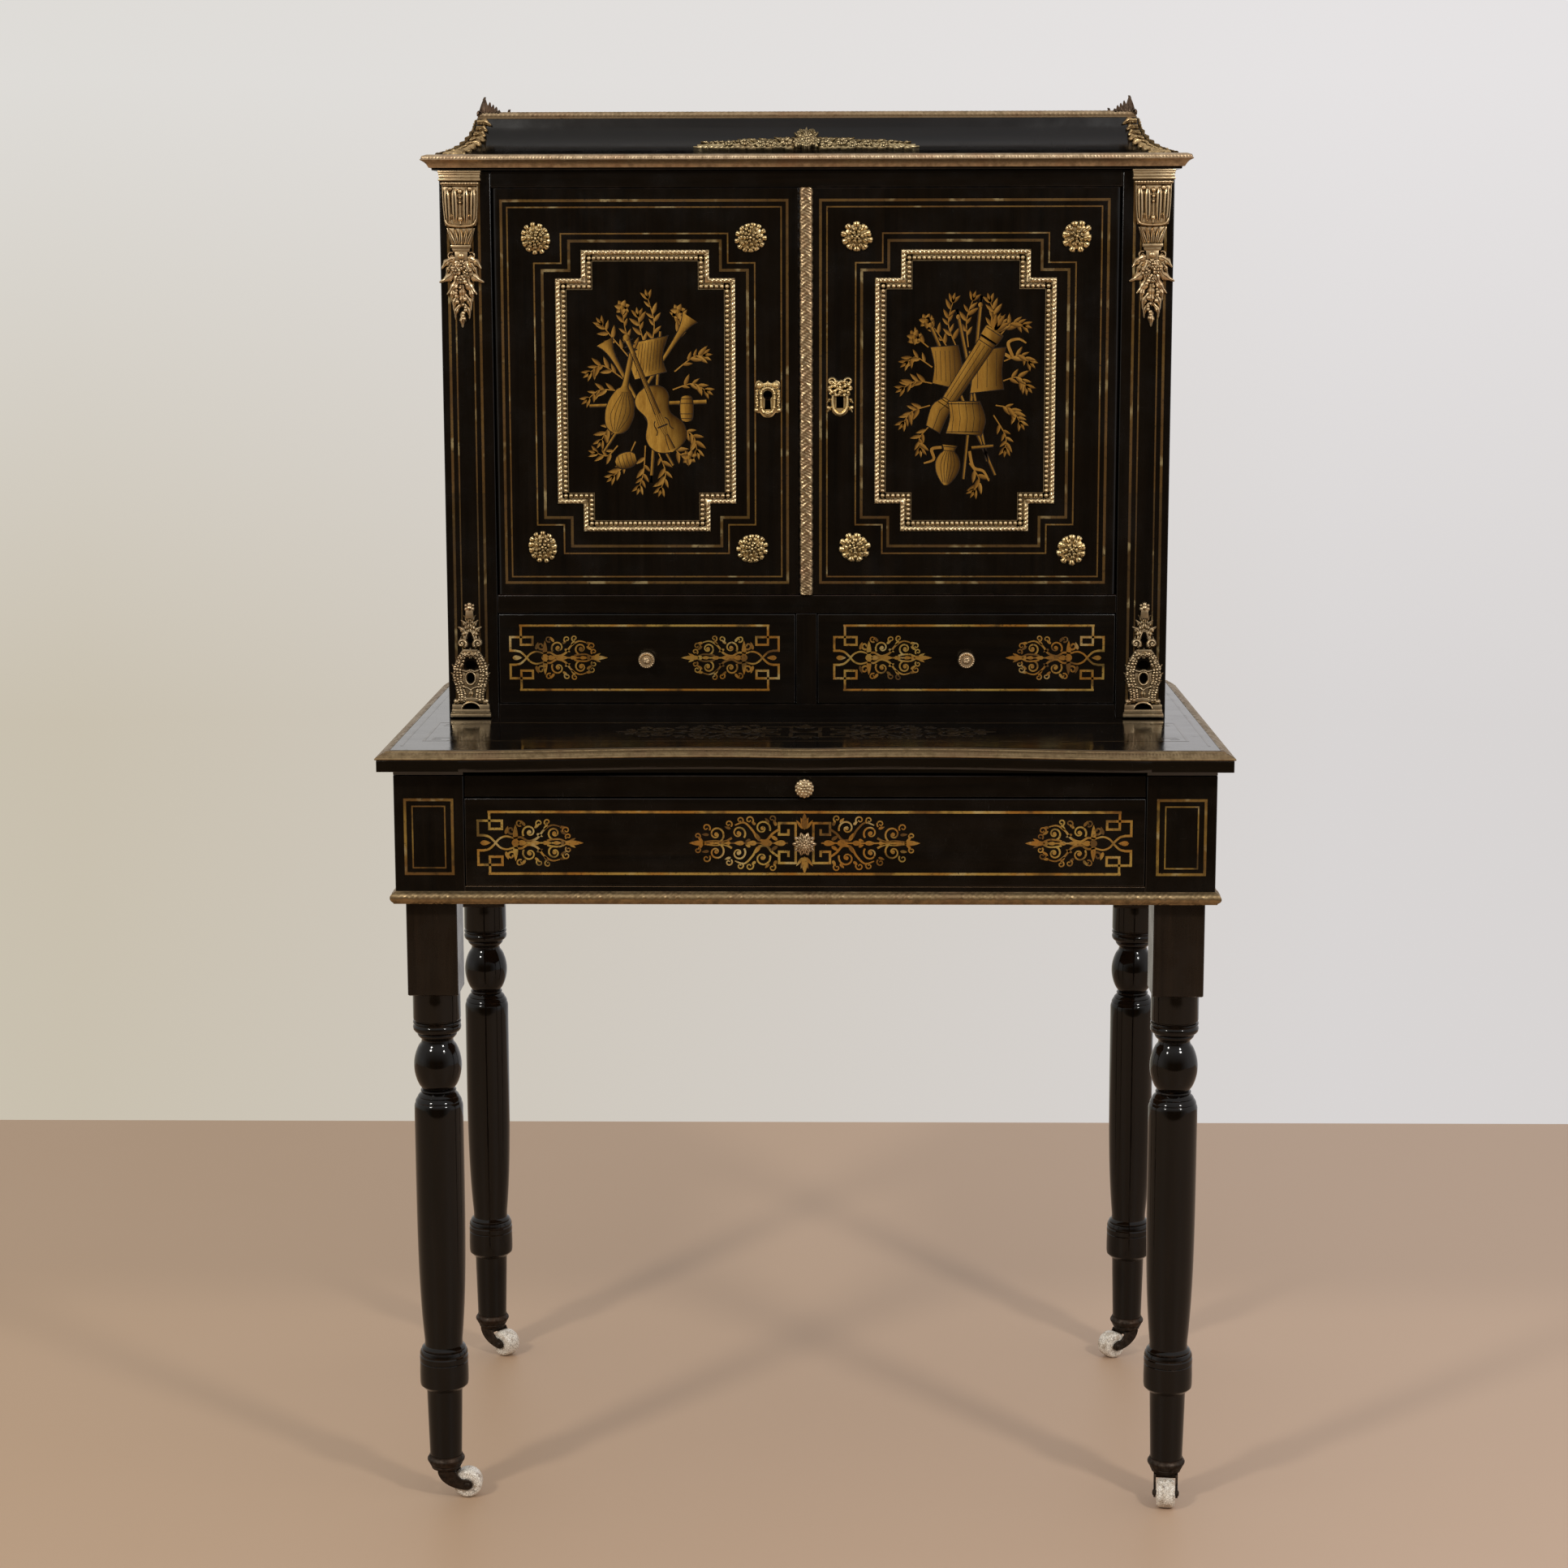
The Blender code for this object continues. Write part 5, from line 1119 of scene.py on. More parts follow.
DOOR_LINES = {
    "left": {"thick": (-305, -19, 909, 1291), "thin": (-299, -25, 915, 1284.5),
             "step_thin": (-272.7, -51.5, 938.7, 1258.5), "step_thick": (-264.6, -58.8, 946.1, 1251.3)},
    "right": {"thick": (14.3, 301.6, 909, 1291), "thin": (20.8, 295, 915, 1284.5),
              "step_thin": (49.5, 269.5, 938.7, 1258.5), "step_thick": (55.5, 262.5, 946.1, 1251.3)}}
ROSETTES = {"left": ((-270.5, 1253.9), (-55.4, 1254.3), (-267.7, 945.3), (-54.9, 943.6)),
            "right": ((50.8, 1254.9), (269.9, 1255.2), (48.9, 944.4), (268.5, 942.6))}
BEAD_STEP, BEAD_PITCH, BEAD_RADIUS, BEAD_LINE = (26, 28), 4.9, 2.5, 8.4
BEAD_TRIM = {"left": (0.3, -1.9), "right": (-0.3, -1.5)}
BAND_SECTION = ((0, -0.3, 0), (0.1, 1.0, 0.3), (0.9, 1.7, 1), (2.5, 2.2, 1), (4.0, 1.7, 1),
                (5.0, 0.7, 0.3), (5.5, 0.25, 0), (6.0, 0.35, 0), (10.6, 0.35, 0), (10.9, 1.3, 0),
                (11.4, 1.3, 0), (11.5, -0.3, 0))


def walked(corners, step):
    """A closed line with extra points along its sides, and the run at each."""
    points = []
    for one, two in zip(corners, [*corners[1:], corners[0]]):
        one, two = Vector(one), Vector(two)
        count = max(1, round((two - one).length / step))
        points += [tuple(one.lerp(two, i / count)) for i in range(count)]
    runs, run = [], 0.0
    for i, point in enumerate(points):
        runs.append(run)
        run += math.dist(points[(i + 1) % len(points)], point)
    return points, runs


def make_bead_frame(side):
    """A ribbed brass band with re-entrant corners and a row of pearls along its inside."""
    low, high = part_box(f"{side}_door_bead_frame")
    trim = BEAD_TRIM[side]
    corners = stepped_corners(low.x / MM + trim[0], high.x / MM + trim[1], low.z / MM, high.z / MM,
                              *BEAD_STEP)
    points, runs = walked(corners, 0.78)
    work = Relief(door_face)
    rings = []
    for point, step, run in zip(points, side_steps(points, True), runs):
        ring = []
        for inward, out, rib in BAND_SECTION:
            ribs = rib * (2.1 * wave(run + 0.7 * inward, 4.2, 0.7) - 1.2)
            ring.append(work.face(point[0] + step.x * inward, point[1] + step.y * inward, out + ribs))
        rings.append(ring)
    loft(work.bm, rings, closed=True)
    inner = [tuple(Vector(c) + s * BEAD_LINE) for c, s in zip(corners, side_steps(corners, True))]
    for u, v in walked(inner, BEAD_PITCH)[0]:
        work.dome(u, v, BEAD_RADIUS, 2.9, 8, 0.5)
    work.finish(f"{side}_door_beading", "bead", f"{side}_door", [f"{side}_door_bead_frame"], 60)


def make_astragal():
    """The brass strip on the right door: a worn ribbon winding round a finely ribbed bar."""
    low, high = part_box("door_astragal")
    work = Relief(door_face, 0, low.z / MM)
    across, steps, turnings = 14, 620, 22
    length = (high.z - low.z) / MM
    rings = []
    for k in range(steps + 1):
        t = k / steps
        phase = 2 * math.pi * turnings * t
        half = 6.2 + 0.7 * abs(math.sin(phase)) + 0.3 * math.sin(11.3 * phase)
        ring = [work.face(-half, length * t, -0.2)]
        for i in range(across + 1):
            a = -1 + 2 * i / across
            bar_rise = 2.8 * max(1 - a * a, 0) ** 0.5
            band = math.exp(-((a - 0.6 * math.sin(phase)) / 0.3) ** 4)
            grain = 0.45 * wave(length * t + 3.2 * a, 2.9, 0.8) + 0.3 * wave(length * t - 4 * a, 4.7)
            rise = 0.5 + bar_rise + 0.8 * band + grain * (1.3 - 0.8 * band)
            edge = 0.35 if abs(a) == 1 else 1
            ring.append(work.face(half * a, length * t, min(rise, 5.9) * edge))
        ring.append(work.face(half, length * t, -0.2))
        rings.append(ring)
    loft(work.bm, rings)
    work.leaf((0, 16), (0, 0.5), 12, 5.4, lobes=2)
    work.leaves((((0, 12), (5.6, 1.5), 5, 0),), 4)
    work.finish("door_astragal_ribbon", "astragal", "right_door", ["door_astragal"], 50)


# Knob sections as (share of the radius, share of the length)
BALL_KNOB = ((0, 1.0), (0.25, 0.995), (0.5, 0.965), (0.72, 0.91), (0.9, 0.82), (0.99, 0.7), (1.0, 0.62),
             (0.93, 0.52), (0.76, 0.44), (0.55, 0.39), (0.43, 0.34), (0.40, 0.27), (0.44, 0.21),
             (0.62, 0.17), (0.7, 0.13), (0.68, 0.08), (0.8, 0.05), (0.8, 0), (0, 0))
DISC_KNOB = ((0, 1.0), (0.18, 0.99), (0.3, 0.95), (0.36, 0.88), (0.42, 0.82), (0.55, 0.80), (0.66, 0.82),
             (0.72, 0.88), (0.8, 0.92), (0.9, 0.90), (0.98, 0.82), (1.0, 0.74), (0.96, 0.66), (0.8, 0.58),
             (0.5, 0.5), (0.4, 0.4), (0.4, 0.25), (0.5, 0.18), (0.78, 0.13), (0.84, 0.06), (0.84, 0), (0, 0))
FLOWER_KNOB = ((0, 0.96), (0.3, 0.93), (0.55, 0.84), (0.75, 0.70), (0.85, 0.58), (0.7, 0.5), (0.45, 0.42),
               (0.42, 0.2), (0.7, 0.1), (0.7, 0), (0, 0))

# Rows of the star's petals as shares of the knob: reach, turn, how far out, width
STAR_ROWS = ((1.22, 0, 0.56, 0.5), (0.98, 0.5, 0.7, 0.44), (0.68, 0, 0.84, 0.36))


def make_knob(cad_node, body, section, petals=0):
    """A turned brass knob on its collar: granulated ball, star of pointed petals or beaded disc."""
    low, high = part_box(cad_node)
    x, z, back = (low.x + high.x) / 2, (low.z + high.z) / 2, high.y
    length, radius = (high.y - low.y) / MM, (high.x - low.x) / 2 / MM
    bm = turn(bmesh.new(), [(r * radius * MM, t * length * MM) for r, t in section], KNOB_SIDES)
    bmesh.ops.transform(bm, verts=bm.verts, matrix=Matrix.Translation((x, back, z))
                        @ Matrix.Rotation(math.pi / 2, 4, "X"))
    work = Relief(lambda u, v, w: Vector((x + u, back - w, z + v)), bm=bm, foot=0.5 * length)

    def ring_of_grains(share, out, count, size):
        for k in range(count):
            a = 2 * math.pi * (k + 3 * share) / count
            work.dome(share * radius * math.cos(a), share * radius * math.sin(a), size, 0.8 * size, 8,
                      out * length)

    if petals:
        for reach, turned, out, width in STAR_ROWS:
            for k in range(petals):
                a = 2 * math.pi * (k + turned) / petals
                spine = [(reach * t * radius * math.cos(a), reach * t * radius * math.sin(a), out * length)
                         for t in (0.3, 0.5, 0.7, 0.85, 0.94, 1)]
                widths = [width * radius * share for share in (0.5, 0.8, 1, 0.72, 0.4, 0.08)]
                work.blade(spine, widths, (2.0, 2.4, 2.4, 1.9, 1.2, 0.5), 0.5)
        ring_of_grains(0.27, 0.93, 7, 1.2)
        ring_of_grains(0, 0.97, 1, 1.4)
    elif section is DISC_KNOB:
        ring_of_grains(0.84, 0.9, 20, 0.9)
        work.flower(0, 0, 0.34 * radius, 5, 0.8, 0.15, lift=0.97 * length)
    else:
        for share, out, count in ((0, 0.98, 1), (0.34, 0.96, 6), (0.62, 0.9, 10), (0.84, 0.8, 14)):
            ring_of_grains(share, out, count, 1.75)
    work.finish(f"{cad_node}_brass", "foot" if section is BALL_KNOB else "knob", body, [cad_node])


# Rings of petals as (radius, petals, rise, inner share, lift, width): full on the left, open on the right
ROSETTE_RINGS = {
    "left": ((15.3, 13, 2.8, 0.7, 0.8, 7.7), (11.3, 11, 2.8, 0.68, 1.8, 5.6), (7.8, 8, 2.6, 0.58, 2.6, 5.2),
             (4.6, 5, 2.4, 0.35, 3.2, 4.4)),
    "right": ((15.3, 10, 3.2, 0.62, 0.8, 9.4), (10.4, 8, 3.0, 0.6, 2.0, 7.0), (6.6, 6, 2.6, 0.48, 3.0, 5.6),
              (3.6, 4, 2.2, 0.2, 3.6, 3.6))}


def make_rosettes(side):
    bm = bmesh.new()
    for k, (u, v) in enumerate(ROSETTES[side]):
        work = Relief(door_face, u, v, bm=bm)
        work.dome(0, 0, 12.6, 1.6, 28)
        for radius, petals, rise, inner, lift, width in ROSETTE_RINGS[side]:
            work.flower(0, 0, radius, petals, rise, inner, 0.3 * k + 0.7 * lift, lift, width, 0.07)
        work.dome(0, 0, 1.5, 1.8, 10, 4.4)
    piece(f"{side}_door_rosettes", bm, "rosette", f"{side}_door")


# Where the mounts sit: across and up, the pilasters' on either side
LEFT_KEY, RIGHT_KEY, HEAD, FOOT = (-38.8, 1094.9), (33.9, 1096.4), (345.1, 1320.3), (343.6, 771.6)


def oval(radius, radius_up, steps=24, start=90, sweep=360):
    return [(radius * math.cos(math.radians(start + sweep * i / steps)),
             radius_up * math.sin(math.radians(start + sweep * i / steps))) for i in range(steps + 1)]


LEFT_SHIELD = ((0, 16.6), (4.4, 15.2), (8.4, 17.8), (11.8, 16.0), (12.4, 12.0), (11.0, 8.4), (12.6, 4.6),
               (12.4, -2), (11.6, -7), (12.8, -11), (11.0, -14.4), (7.6, -14.8), (4.6, -18.2), (0, -19.2))
KEYHOLE_RIM = ((0, -15.2), (4.0, -13.6), (6.4, -9), (6.8, 0), (6.6, 4.8), (4.6, 9.0), (0, 10.6))
RIGHT_TONGUE = ((0, 2.0), (7.4, 2.4), (9.0, -2), (9.2, -8), (8.2, -13.6), (5, -17.8), (0, -19.6))


def make_escutcheons():
    """Key plates: a pearled shield on the left door, a knotted scroll over a tongue on the right."""
    work = Relief(door_face, *LEFT_KEY)
    work.cushion(LEFT_SHIELD, 1.6)
    work.both_straps(rounded(KEYHOLE_RIM), 3.6, 4.2)
    for s in (1, -1):
        for u, v in KEYHOLE_RIM[1:-1]:
            work.dome(s * u, v, 1.7, 1.8, 8, 3.2)
        work.dome(s * 8.2, 13.2, 4.2, 3.6, 14, 1.0)
        work.strap(spiral((s * 8.2, 13.2), 4.0, 1.0, 200, 400 * s, 18), 1.9, 4.8, 1.4)
        work.strap(rounded([(s * 10.2, 9), (s * 11.4, 3), (s * 10.2, -3), (s * 11.2, -9)]), 3.2, 3.6)
        for k in range(6):
            work.dome(s * (10.9 + 0.5 * (-1) ** k), 7.4 - 2.9 * k, 1.3, 1.7, 8, 2.8)
        work.dome(s * 11.2, -11.6, 2.8, 3.6, 10)
    work.leaf((0, -11.8), (0, -19.0), 10, 4.0)
    work.leaf((0, 8.4), (0, 17.4), 7, 3.4, lobes=2)
    work.finish("left_door_key_plate", "rosette", "left_door")
    # Painted shade: the keyhole is a black sheet laid over the plate, not a hole
    hole = Sheet(door_face, *LEFT_KEY)
    hole.disc((0, 3.4), 4.6, layer=62)
    hole.strip([(-2.7, 1), (-3.1, -10.8)], [(2.7, 1), (3.1, -10.8)], 61)
    hole.finish("left_door_keyhole", "hollow", "left_door")

    work = Relief(door_face, *RIGHT_KEY)
    work.cushion(RIGHT_TONGUE, 1.8)
    work.both_straps(rounded([(7.0, 1), (7.4, -7), (5.8, -13.2), (2.6, -16.6), (0, -17.2)]), 3.9, 4.6)
    for k, (v, half) in enumerate(((3.2, 10), (6.6, 12), (10.2, 12.4), (13.8, 10.6))):
        fold = [(half * i / 12, v + 1.5 * math.sin(0.55 * i + 2.3 * k)) for i in range(-12, 13)]
        work.strap(fold, 4.6, 3.4 + 0.8 * (k % 2), 3.0)
        for i in range(-2 + k % 2, 3):
            work.dome(0.42 * half * i, v + 1.5 * math.cos(3.1 * i + k), 1.7, 2.0, 8, 3.2)
    work.both_straps(spiral((8.4, 15.2), 4.0, 1.2, 180, -400, 18), 2.8, 4.4, 1.8)
    work.leaves((((7.0, -3), (13.2, -6.6), 5.0, 0.2), ((6.4, -9.5), (12.6, -15.6), 5.0, 0.1)), 3.2, 2)
    work.leaves((((1.0, 9), (6.4, 18.2), 6.0, 0.1),), 3.8, 2, 0.6)
    for s in (1, -1):
        work.dome(s * 11.8, -10.8, 2.2, 2.8)
    work.finish("right_door_key_plate", "rosette", "right_door")
    # Painted shade: the keyhole is a black sheet laid over the plate, not a hole
    hole = Sheet(door_face, *RIGHT_KEY)
    hole.strip([(-3.6, 0.8), (-3.6, -11.2)], [(3.6, 0.8), (3.6, -11.2)], 68)
    hole.finish("right_door_keyhole", "hollow", "right_door")


# Mounts on the pilasters and the crown


TONGUE_STATIONS = (0, 0.12, 0.3, 0.55, 0.78, 0.92, 1)


def make_capital(side, sign):
    """Pilaster head: a moulded cap, a leafy console, an urn, spreading leaves and a fruit drop."""
    chance = random.Random(5)
    work = Relief(door_face, sign * HEAD[0], HEAD[1], sign)
    for half, top, low, out in ((21.4, 0, 1.8, 8.8), (20.8, 1.8, 4.4, 8.0), (20.4, 4.4, 7.6, 7.6),
                                (21.0, 7.6, 9.8, 8.4), (17.4, 9.8, 11.4, 4.4), (18.6, 11.4, 13.2, 7.4),
                                (18.0, 13.2, 14.6, 5.6)):
        work.bar(half, -low, -top, out)
    for k in range(13):
        work.dome(-18 + 3 * k, -12.3, 1.3, 1.2, 8, 6.6)
    work.bar(18.2, -53.6, -14, 2.6, taper=2.6)
    work.strap(rounded([(-15.4, -48), (-12, -53), (0, -54.4), (12, -53), (15.4, -48)]), 3.4, 4.6)
    work.strap([(0, -52), (0, -20)], 2.8, 4.8, 1.8)
    for v, r in ((-20, 2.8), (-26, 2.0), (-31, 1.8), (-47, 2.6)):
        work.dome(0, v, r, 3.6, 10, 2.6)
    for s in (1, -1):
        for foot, head, width, bulge in ((5.2, 5.8, 8.4, 5.6), (12.2, 13.4, 8.4, 5.2)):
            spine = [(s * (foot + (head - foot) * t), -51 + 34 * t, 1.6 * t * t) for t in TONGUE_STATIONS]
            widths = [width * share for share in (0.35, 0.7, 0.95, 1, 0.92, 0.7, 0.3)]
            work.blade(spine, widths, [bulge * share for share in (0.6, 0.9, 1, 1, 1, 0.9, 0.5)], 0.4)
        work.leaf((s * 9.0, -52), (s * 9.4, -37), 5.6, 5.6, lobes=2)
        work.leaf((s * 9.2, -18), (s * 9.6, -30), 4.6, 4.4)
        work.strap([(s * 17.4, -15), (s * 16.8, -34), (s * 15.4, -50)], 2.0, 4.0)
        work.dome(s * 10.0, -17.6, 2.6, 2.8, 12, 3.0)
    work.bar(14.0, -73, -56.2, 1.4, taper=4.4)
    for u, tip in ((0, 0), (4.4, 6.2), (-4.4, -6.2), (8.4, 12.4), (-8.4, -12.4)):
        work.leaf((0.66 * u, -73.5), (tip, -56.4), 5.2, 4.6 if u else 5.4, lift=1.8, curl=5)
    work.bar(10.2, -75.6, -72.8, 5.4)
    work.bar(9.2, -79.4, -75.6, 3.6, taper=1.2)
    work.bar(6.4, -88, -79, 3.0, taper=0.6)
    work.both_straps(spiral((10.2, -83.6), 3.8, 1.0, 120, -400, 20), 2.0, 3.2, 1.4)
    work.dome(0, -83.5, 3.6, 3.0, 12, 2.2)
    work.leaves((((2, -86), (19.8, -96), 10.0, 0.16), ((3, -89), (22.4, -109.5), 12.0, -0.14)), 4.4, 3, 1.2)
    work.leaves((((2.5, -95), (15.0, -121.5), 10.0, -0.1), ((4, -89), (15.5, -103), 7.6, 0.14)), 4.2, 3, 1)
    work.leaves((((2.5, -107), (10.4, -129), 8.6, 0.1),), 4.2, 3)
    for k in range(20):
        t = (k + 0.5) / 20
        u = chance.uniform(-1, 1) * (9.5 * (1 - t) ** 0.8 + 1.2)
        work.dome(u, -91 - 56 * t, chance.uniform(1.5, 2.4), 2.2, 8, chance.uniform(2.4, 4.2))
    for k, (u, v, r) in enumerate(((5.6, -98, 4.6), (-6.0, -101, 4.8), (0, -92.5, 5.0), (0.5, -107, 4.4))):
        work.flower(u, v, r, 6, 2.4, turned=0.3 * k, lift=3.0)
        work.dome(u, v, 1.4, 1.6, 8, 4.8)
    work.leaf((0, -112), (0, -134), 10, 4.6, lobes=3)
    work.leaves((((1.5, -121), (8.4, -138), 7.4, 0.14), ((1.2, -131), (7.0, -146), 6.2, 0.14)), 3.8, 2)
    work.leaf((0, -140), (0, -154.5), 8.0, 4.2, lobes=2)
    work.finish(f"{side}_pilaster_head", "ormolu", "carcass")


def make_pilaster_foot(side, sign):
    """Pilaster foot: a stepped base over an arch, a lyre of berries, scrolls, leaves and a finial."""
    chance = random.Random(9)
    work = Relief(door_face, sign * FOOT[0], FOOT[1], sign)
    for half, low, top, out in ((20.6, 0, 3.0, 6.8), (20.2, 3.0, 4.2, 5.2), (19.4, 4.2, 7.6, 5.8)):
        work.bar(half, low, top, out)
    for s in (1, -1):
        work.bar(5.0, 7.4, 12.6, 5.0, u0=s * 14.0)
        work.leaf((s * 8, 15), (s * 18.6, 10.5), 6.4, 4.6, bend=0.2 * s, lobes=2)
        work.dome(s * 15.4, 15.4, 2.8, 3.4, 12)
    work.strap([(u, v + 8) for u, v in oval(9.6, 6.8, 18, 0, 180)], 3.0, 5.2)
    work.bar(11.0, 15.4, 19.4, 3.2)
    arm = rounded([(8.8, 17), (9.2, 24), (11.2, 32), (13.2, 41), (13.0, 50), (9.8, 58.5), (5.2, 66)])
    work.bar(9.0, 17, 47, 1.3)
    work.both_straps(arm, 9.4, 2.8, 8.0)
    for s in (1, -1):
        for u, v in arm[1::2]:
            for shift in (-3.0, 0.0, 3.0):
                work.dome(s * (u + shift + chance.uniform(-0.4, 0.4)), v + chance.uniform(-0.8, 0.8),
                          chance.uniform(1.5, 2.0), 2.2, 8, 2.4 - 0.28 * abs(shift))
    work.leaves((((12.4, 23), (16.8, 29.5), 4.6, 0.16), ((13.6, 30), (19.0, 37.5), 5.2, 0.16),
                 ((15.4, 37), (20.2, 45.0), 5.6, 0.16), ((15.6, 45), (19.2, 53.5), 5.4, 0.16),
                 ((13.2, 53), (15.2, 60.5), 4.8, 0.14)), 3.6, 2)
    work.strap([(u, v + 39.5) for u, v in oval(5.2, 6.6, 20, 90, 372)], 3.0, 4.2)
    work.both_straps([(8.6, 47.6), (4.2, 46.4), (0, 47.8)], 3.0, 4.2)
    work.both_straps([(8.0, 31.0), (3.0, 29.6), (0, 27.2)], 2.8, 3.8)
    work.leaf((0, 17), (0, 30), 7.0, 4.4, lobes=2)
    for half, low, top, out in ((8.4, 61.6, 65.6, 3.8), (7.6, 65.6, 69.0, 3.2)):
        work.bar(half, low, top, out)
    for k in range(8):
        work.dome(-7 + 2 * k, 63.4 + 0.8 * (k % 2), 1.4, 1.8, 8, 3.4)
    work.leaf((0, 60), (0, 71), 6.6, 5.6, lobes=2)
    work.both_straps(spiral((8.2, 75.0), 4.6, 0.9, 215, -430, 22), 4.4, 4.6, 2.4)
    work.leaves((((4.4, 71), (8.6, 83), 5.4, -0.2), ((5.0, 80.0), (12.2, 92), 9.0, 0.2),
                 ((2.6, 86), (9.0, 99), 7.6, 0.16), ((2.0, 92), (6.4, 104), 5.8, 0.16)), 4.0, 3)
    for s in (1, -1):
        work.dome(s * 8.0, 75.0, 3.4, 3.4, 12)
    work.both_straps([(4.2, 74), (4.8, 80), (2.0, 87)], 3.0, 4.0, 2.4)
    work.leaf((0, 87), (0, 105), 7.0, 4.8, lobes=3)
    work.bar(3.6, 101, 110, 3.6, taper=-0.6)
    for u, v, r in ((0, 111.6, 3.4), (-3.0, 110.4, 2.4), (3.0, 110.4, 2.4), (0, 115.0, 2.4),
                    (-3.6, 114, 1.6), (3.6, 114, 1.6)):
        work.dome(u, v, r, 1.1 * r, 12, 1.4)
    work.finish(f"{side}_pilaster_foot", "foot", "carcass")
    # Painted shade: the piercings are black discs laid over the mount, standing for shaded openings
    holes = Sheet(door_face, sign * FOOT[0], FOOT[1])
    for v, wide, tall in ((53.0, 5.6, 4.8), (39.5, 3.8, 5.2), (78.6, 2.6, 4.0), (9.6, 8.0, 4.4)):
        holes.disc((0, v), wide, tall, layer=46)
    holes.finish(f"{side}_pilaster_foot_piercings", "hollow", "carcass", "ebonised_wood")


def make_garland():
    """Leaves and flowers along the crown's cove, thinning to both ends, with a posy in the middle."""
    chance = random.Random(11)
    work = Relief(cove_face)
    reach, count = 109, 17
    line = [(-reach + 2 * reach * i / 60, 26 - 2 * abs(2 * i / 60 - 1)) for i in range(61)]
    work.strap(line, 4.6, 2.4)
    for s in (1, -1):
        for k in range(count):
            t = (k + 0.5) / count
            u, middle, half = s * (12 + (reach - 20) * t), 26.5 - 2.5 * t, 9.6 - 5 * t
            for up in (1, -1):
                size = chance.uniform(0.75, 1.1)
                work.leaf((u - s * 3, middle + up * 1.5), (u + s * 7 * size, middle + up * half * size),
                          (6.2 - 2.2 * t) * size, 3.2, bend=0.16 * up * s, lift=1.4, lobes=2)
            work.leaf((u - s * 4, middle), (u + s * 5, middle + chance.uniform(-1.5, 1.5)),
                      5.4 - 1.6 * t, 3.8, lift=1.0, lobes=2)
            if k in (1, 4, 6, 9, 12):
                r = 6.4 - 3.0 * t
                rise = middle + chance.uniform(-2, 2.5)
                work.flower(u, rise, r, 6, 2.4, turned=0.3 * k, lift=2.4)
                work.dome(u, rise, 1.6, 1.6, 8, 4.2)
        work.leaf((s * (reach - 22), 23.6), (s * (reach + 4), 22.5), 8.4, 3.4, lobes=3)
    for k in range(11):
        a = math.radians(-40 + 26 * k)
        work.leaf((0, 30), (15 * math.cos(a), 31 + 15.5 * math.sin(a)), 7.5, 4, lift=2, lobes=2)
    for u, v, r, lift in ((0, 33, 8.6, 3.6), (-7.5, 27, 6.0, 3.0), (7.5, 28, 6.4, 3.0), (-4.5, 39, 5.2, 3.2),
                          (5.0, 39.5, 4.8, 3.2), (0, 23, 5.2, 3.0)):
        work.flower(u, v, r, 7, 2.6, turned=0.2 * u, lift=lift)
        work.flower(u, v, 0.55 * r, 5, 1.8, turned=0.5, lift=lift + 1.8)
        work.dome(u, v, 0.22 * r, 1.4, 8, lift + 3.0)
    work.finish("crown_garland", "garland", "carcass")


def make_cove_leaves():
    """Acanthus over the front corners of the cove: leaflets on a rib, spreading towards its foot."""
    for name, sign in SIDES:
        bm = bmesh.new()

        def front(u, v, w):
            place = cove_face(0, v, w)
            inward = cove_face(0, v, 0).y - CROWN_LOW.y
            return Vector((sign * (CROWN_HIGH.x - inward - u), place.y, place.z))

        def side(u, v, w):
            place = cove_face(0, v, w)
            inward = cove_face(0, v, 0).y - CROWN_LOW.y
            out = CROWN_LOW.y + inward - place.y
            return Vector((sign * (CROWN_HIGH.x - inward + out), CROWN_LOW.y + inward + u, place.z))

        def ridge(u, v, w):
            one, two = front(0, v, w), side(0, v, w)
            return Vector((two.x - sign * 0.7 * u, one.y + 0.7 * u, one.z))

        Relief(ridge, bm=bm).leaf((0, 2), (0, 55.5), 15, 3.6, lobes=8)
        for face in (front, side):
            chance, work = random.Random(3), Relief(face, bm=bm)
            for k in range(8):
                t = k / 7
                v, reach = 11 + 42 * t, 22 - 7.5 * t
                work.leaf((0.6, v), (reach * chance.uniform(0.85, 1.1), v - 5 + 1.4 * t), 11 - 2 * t,
                          3.8, bend=0.12, lift=1.4, lobes=2)
                work.dome(2.4 + 0.2 * reach, v - 1.5, 1.9 - 0.5 * t, 2.2, 8, 2.0)
            work.leaf((1, 9), (25, 3.6), 9.5, 3.4, bend=-0.08, lobes=3)
            work.leaf((0.5, 8), (12, 1.0), 7.5, 3.0, lobes=2)
        piece(f"crown_{name}_acanthus", bm, "acanthus", "carcass")


# Inlay

THICK_LINE, THIN_LINE = 2.6, 1.4


def make_door_inlay(side):
    sheet, lines = Sheet(door_face), DOOR_LINES[side]
    sheet.ring(box_corners(*lines["thick"]), THICK_LINE, tone=0.74)
    sheet.ring(box_corners(*lines["thin"]), THIN_LINE, tone=0.6)
    for key, width, tone in (("step_thin", THIN_LINE, 0.55), ("step_thick", 2.7, 0.82)):
        sheet.ring(stepped_corners(*lines[key], 27, 29), width, tone=tone)
    sheet.finish(f"{side}_door_lines", "line", f"{side}_door")


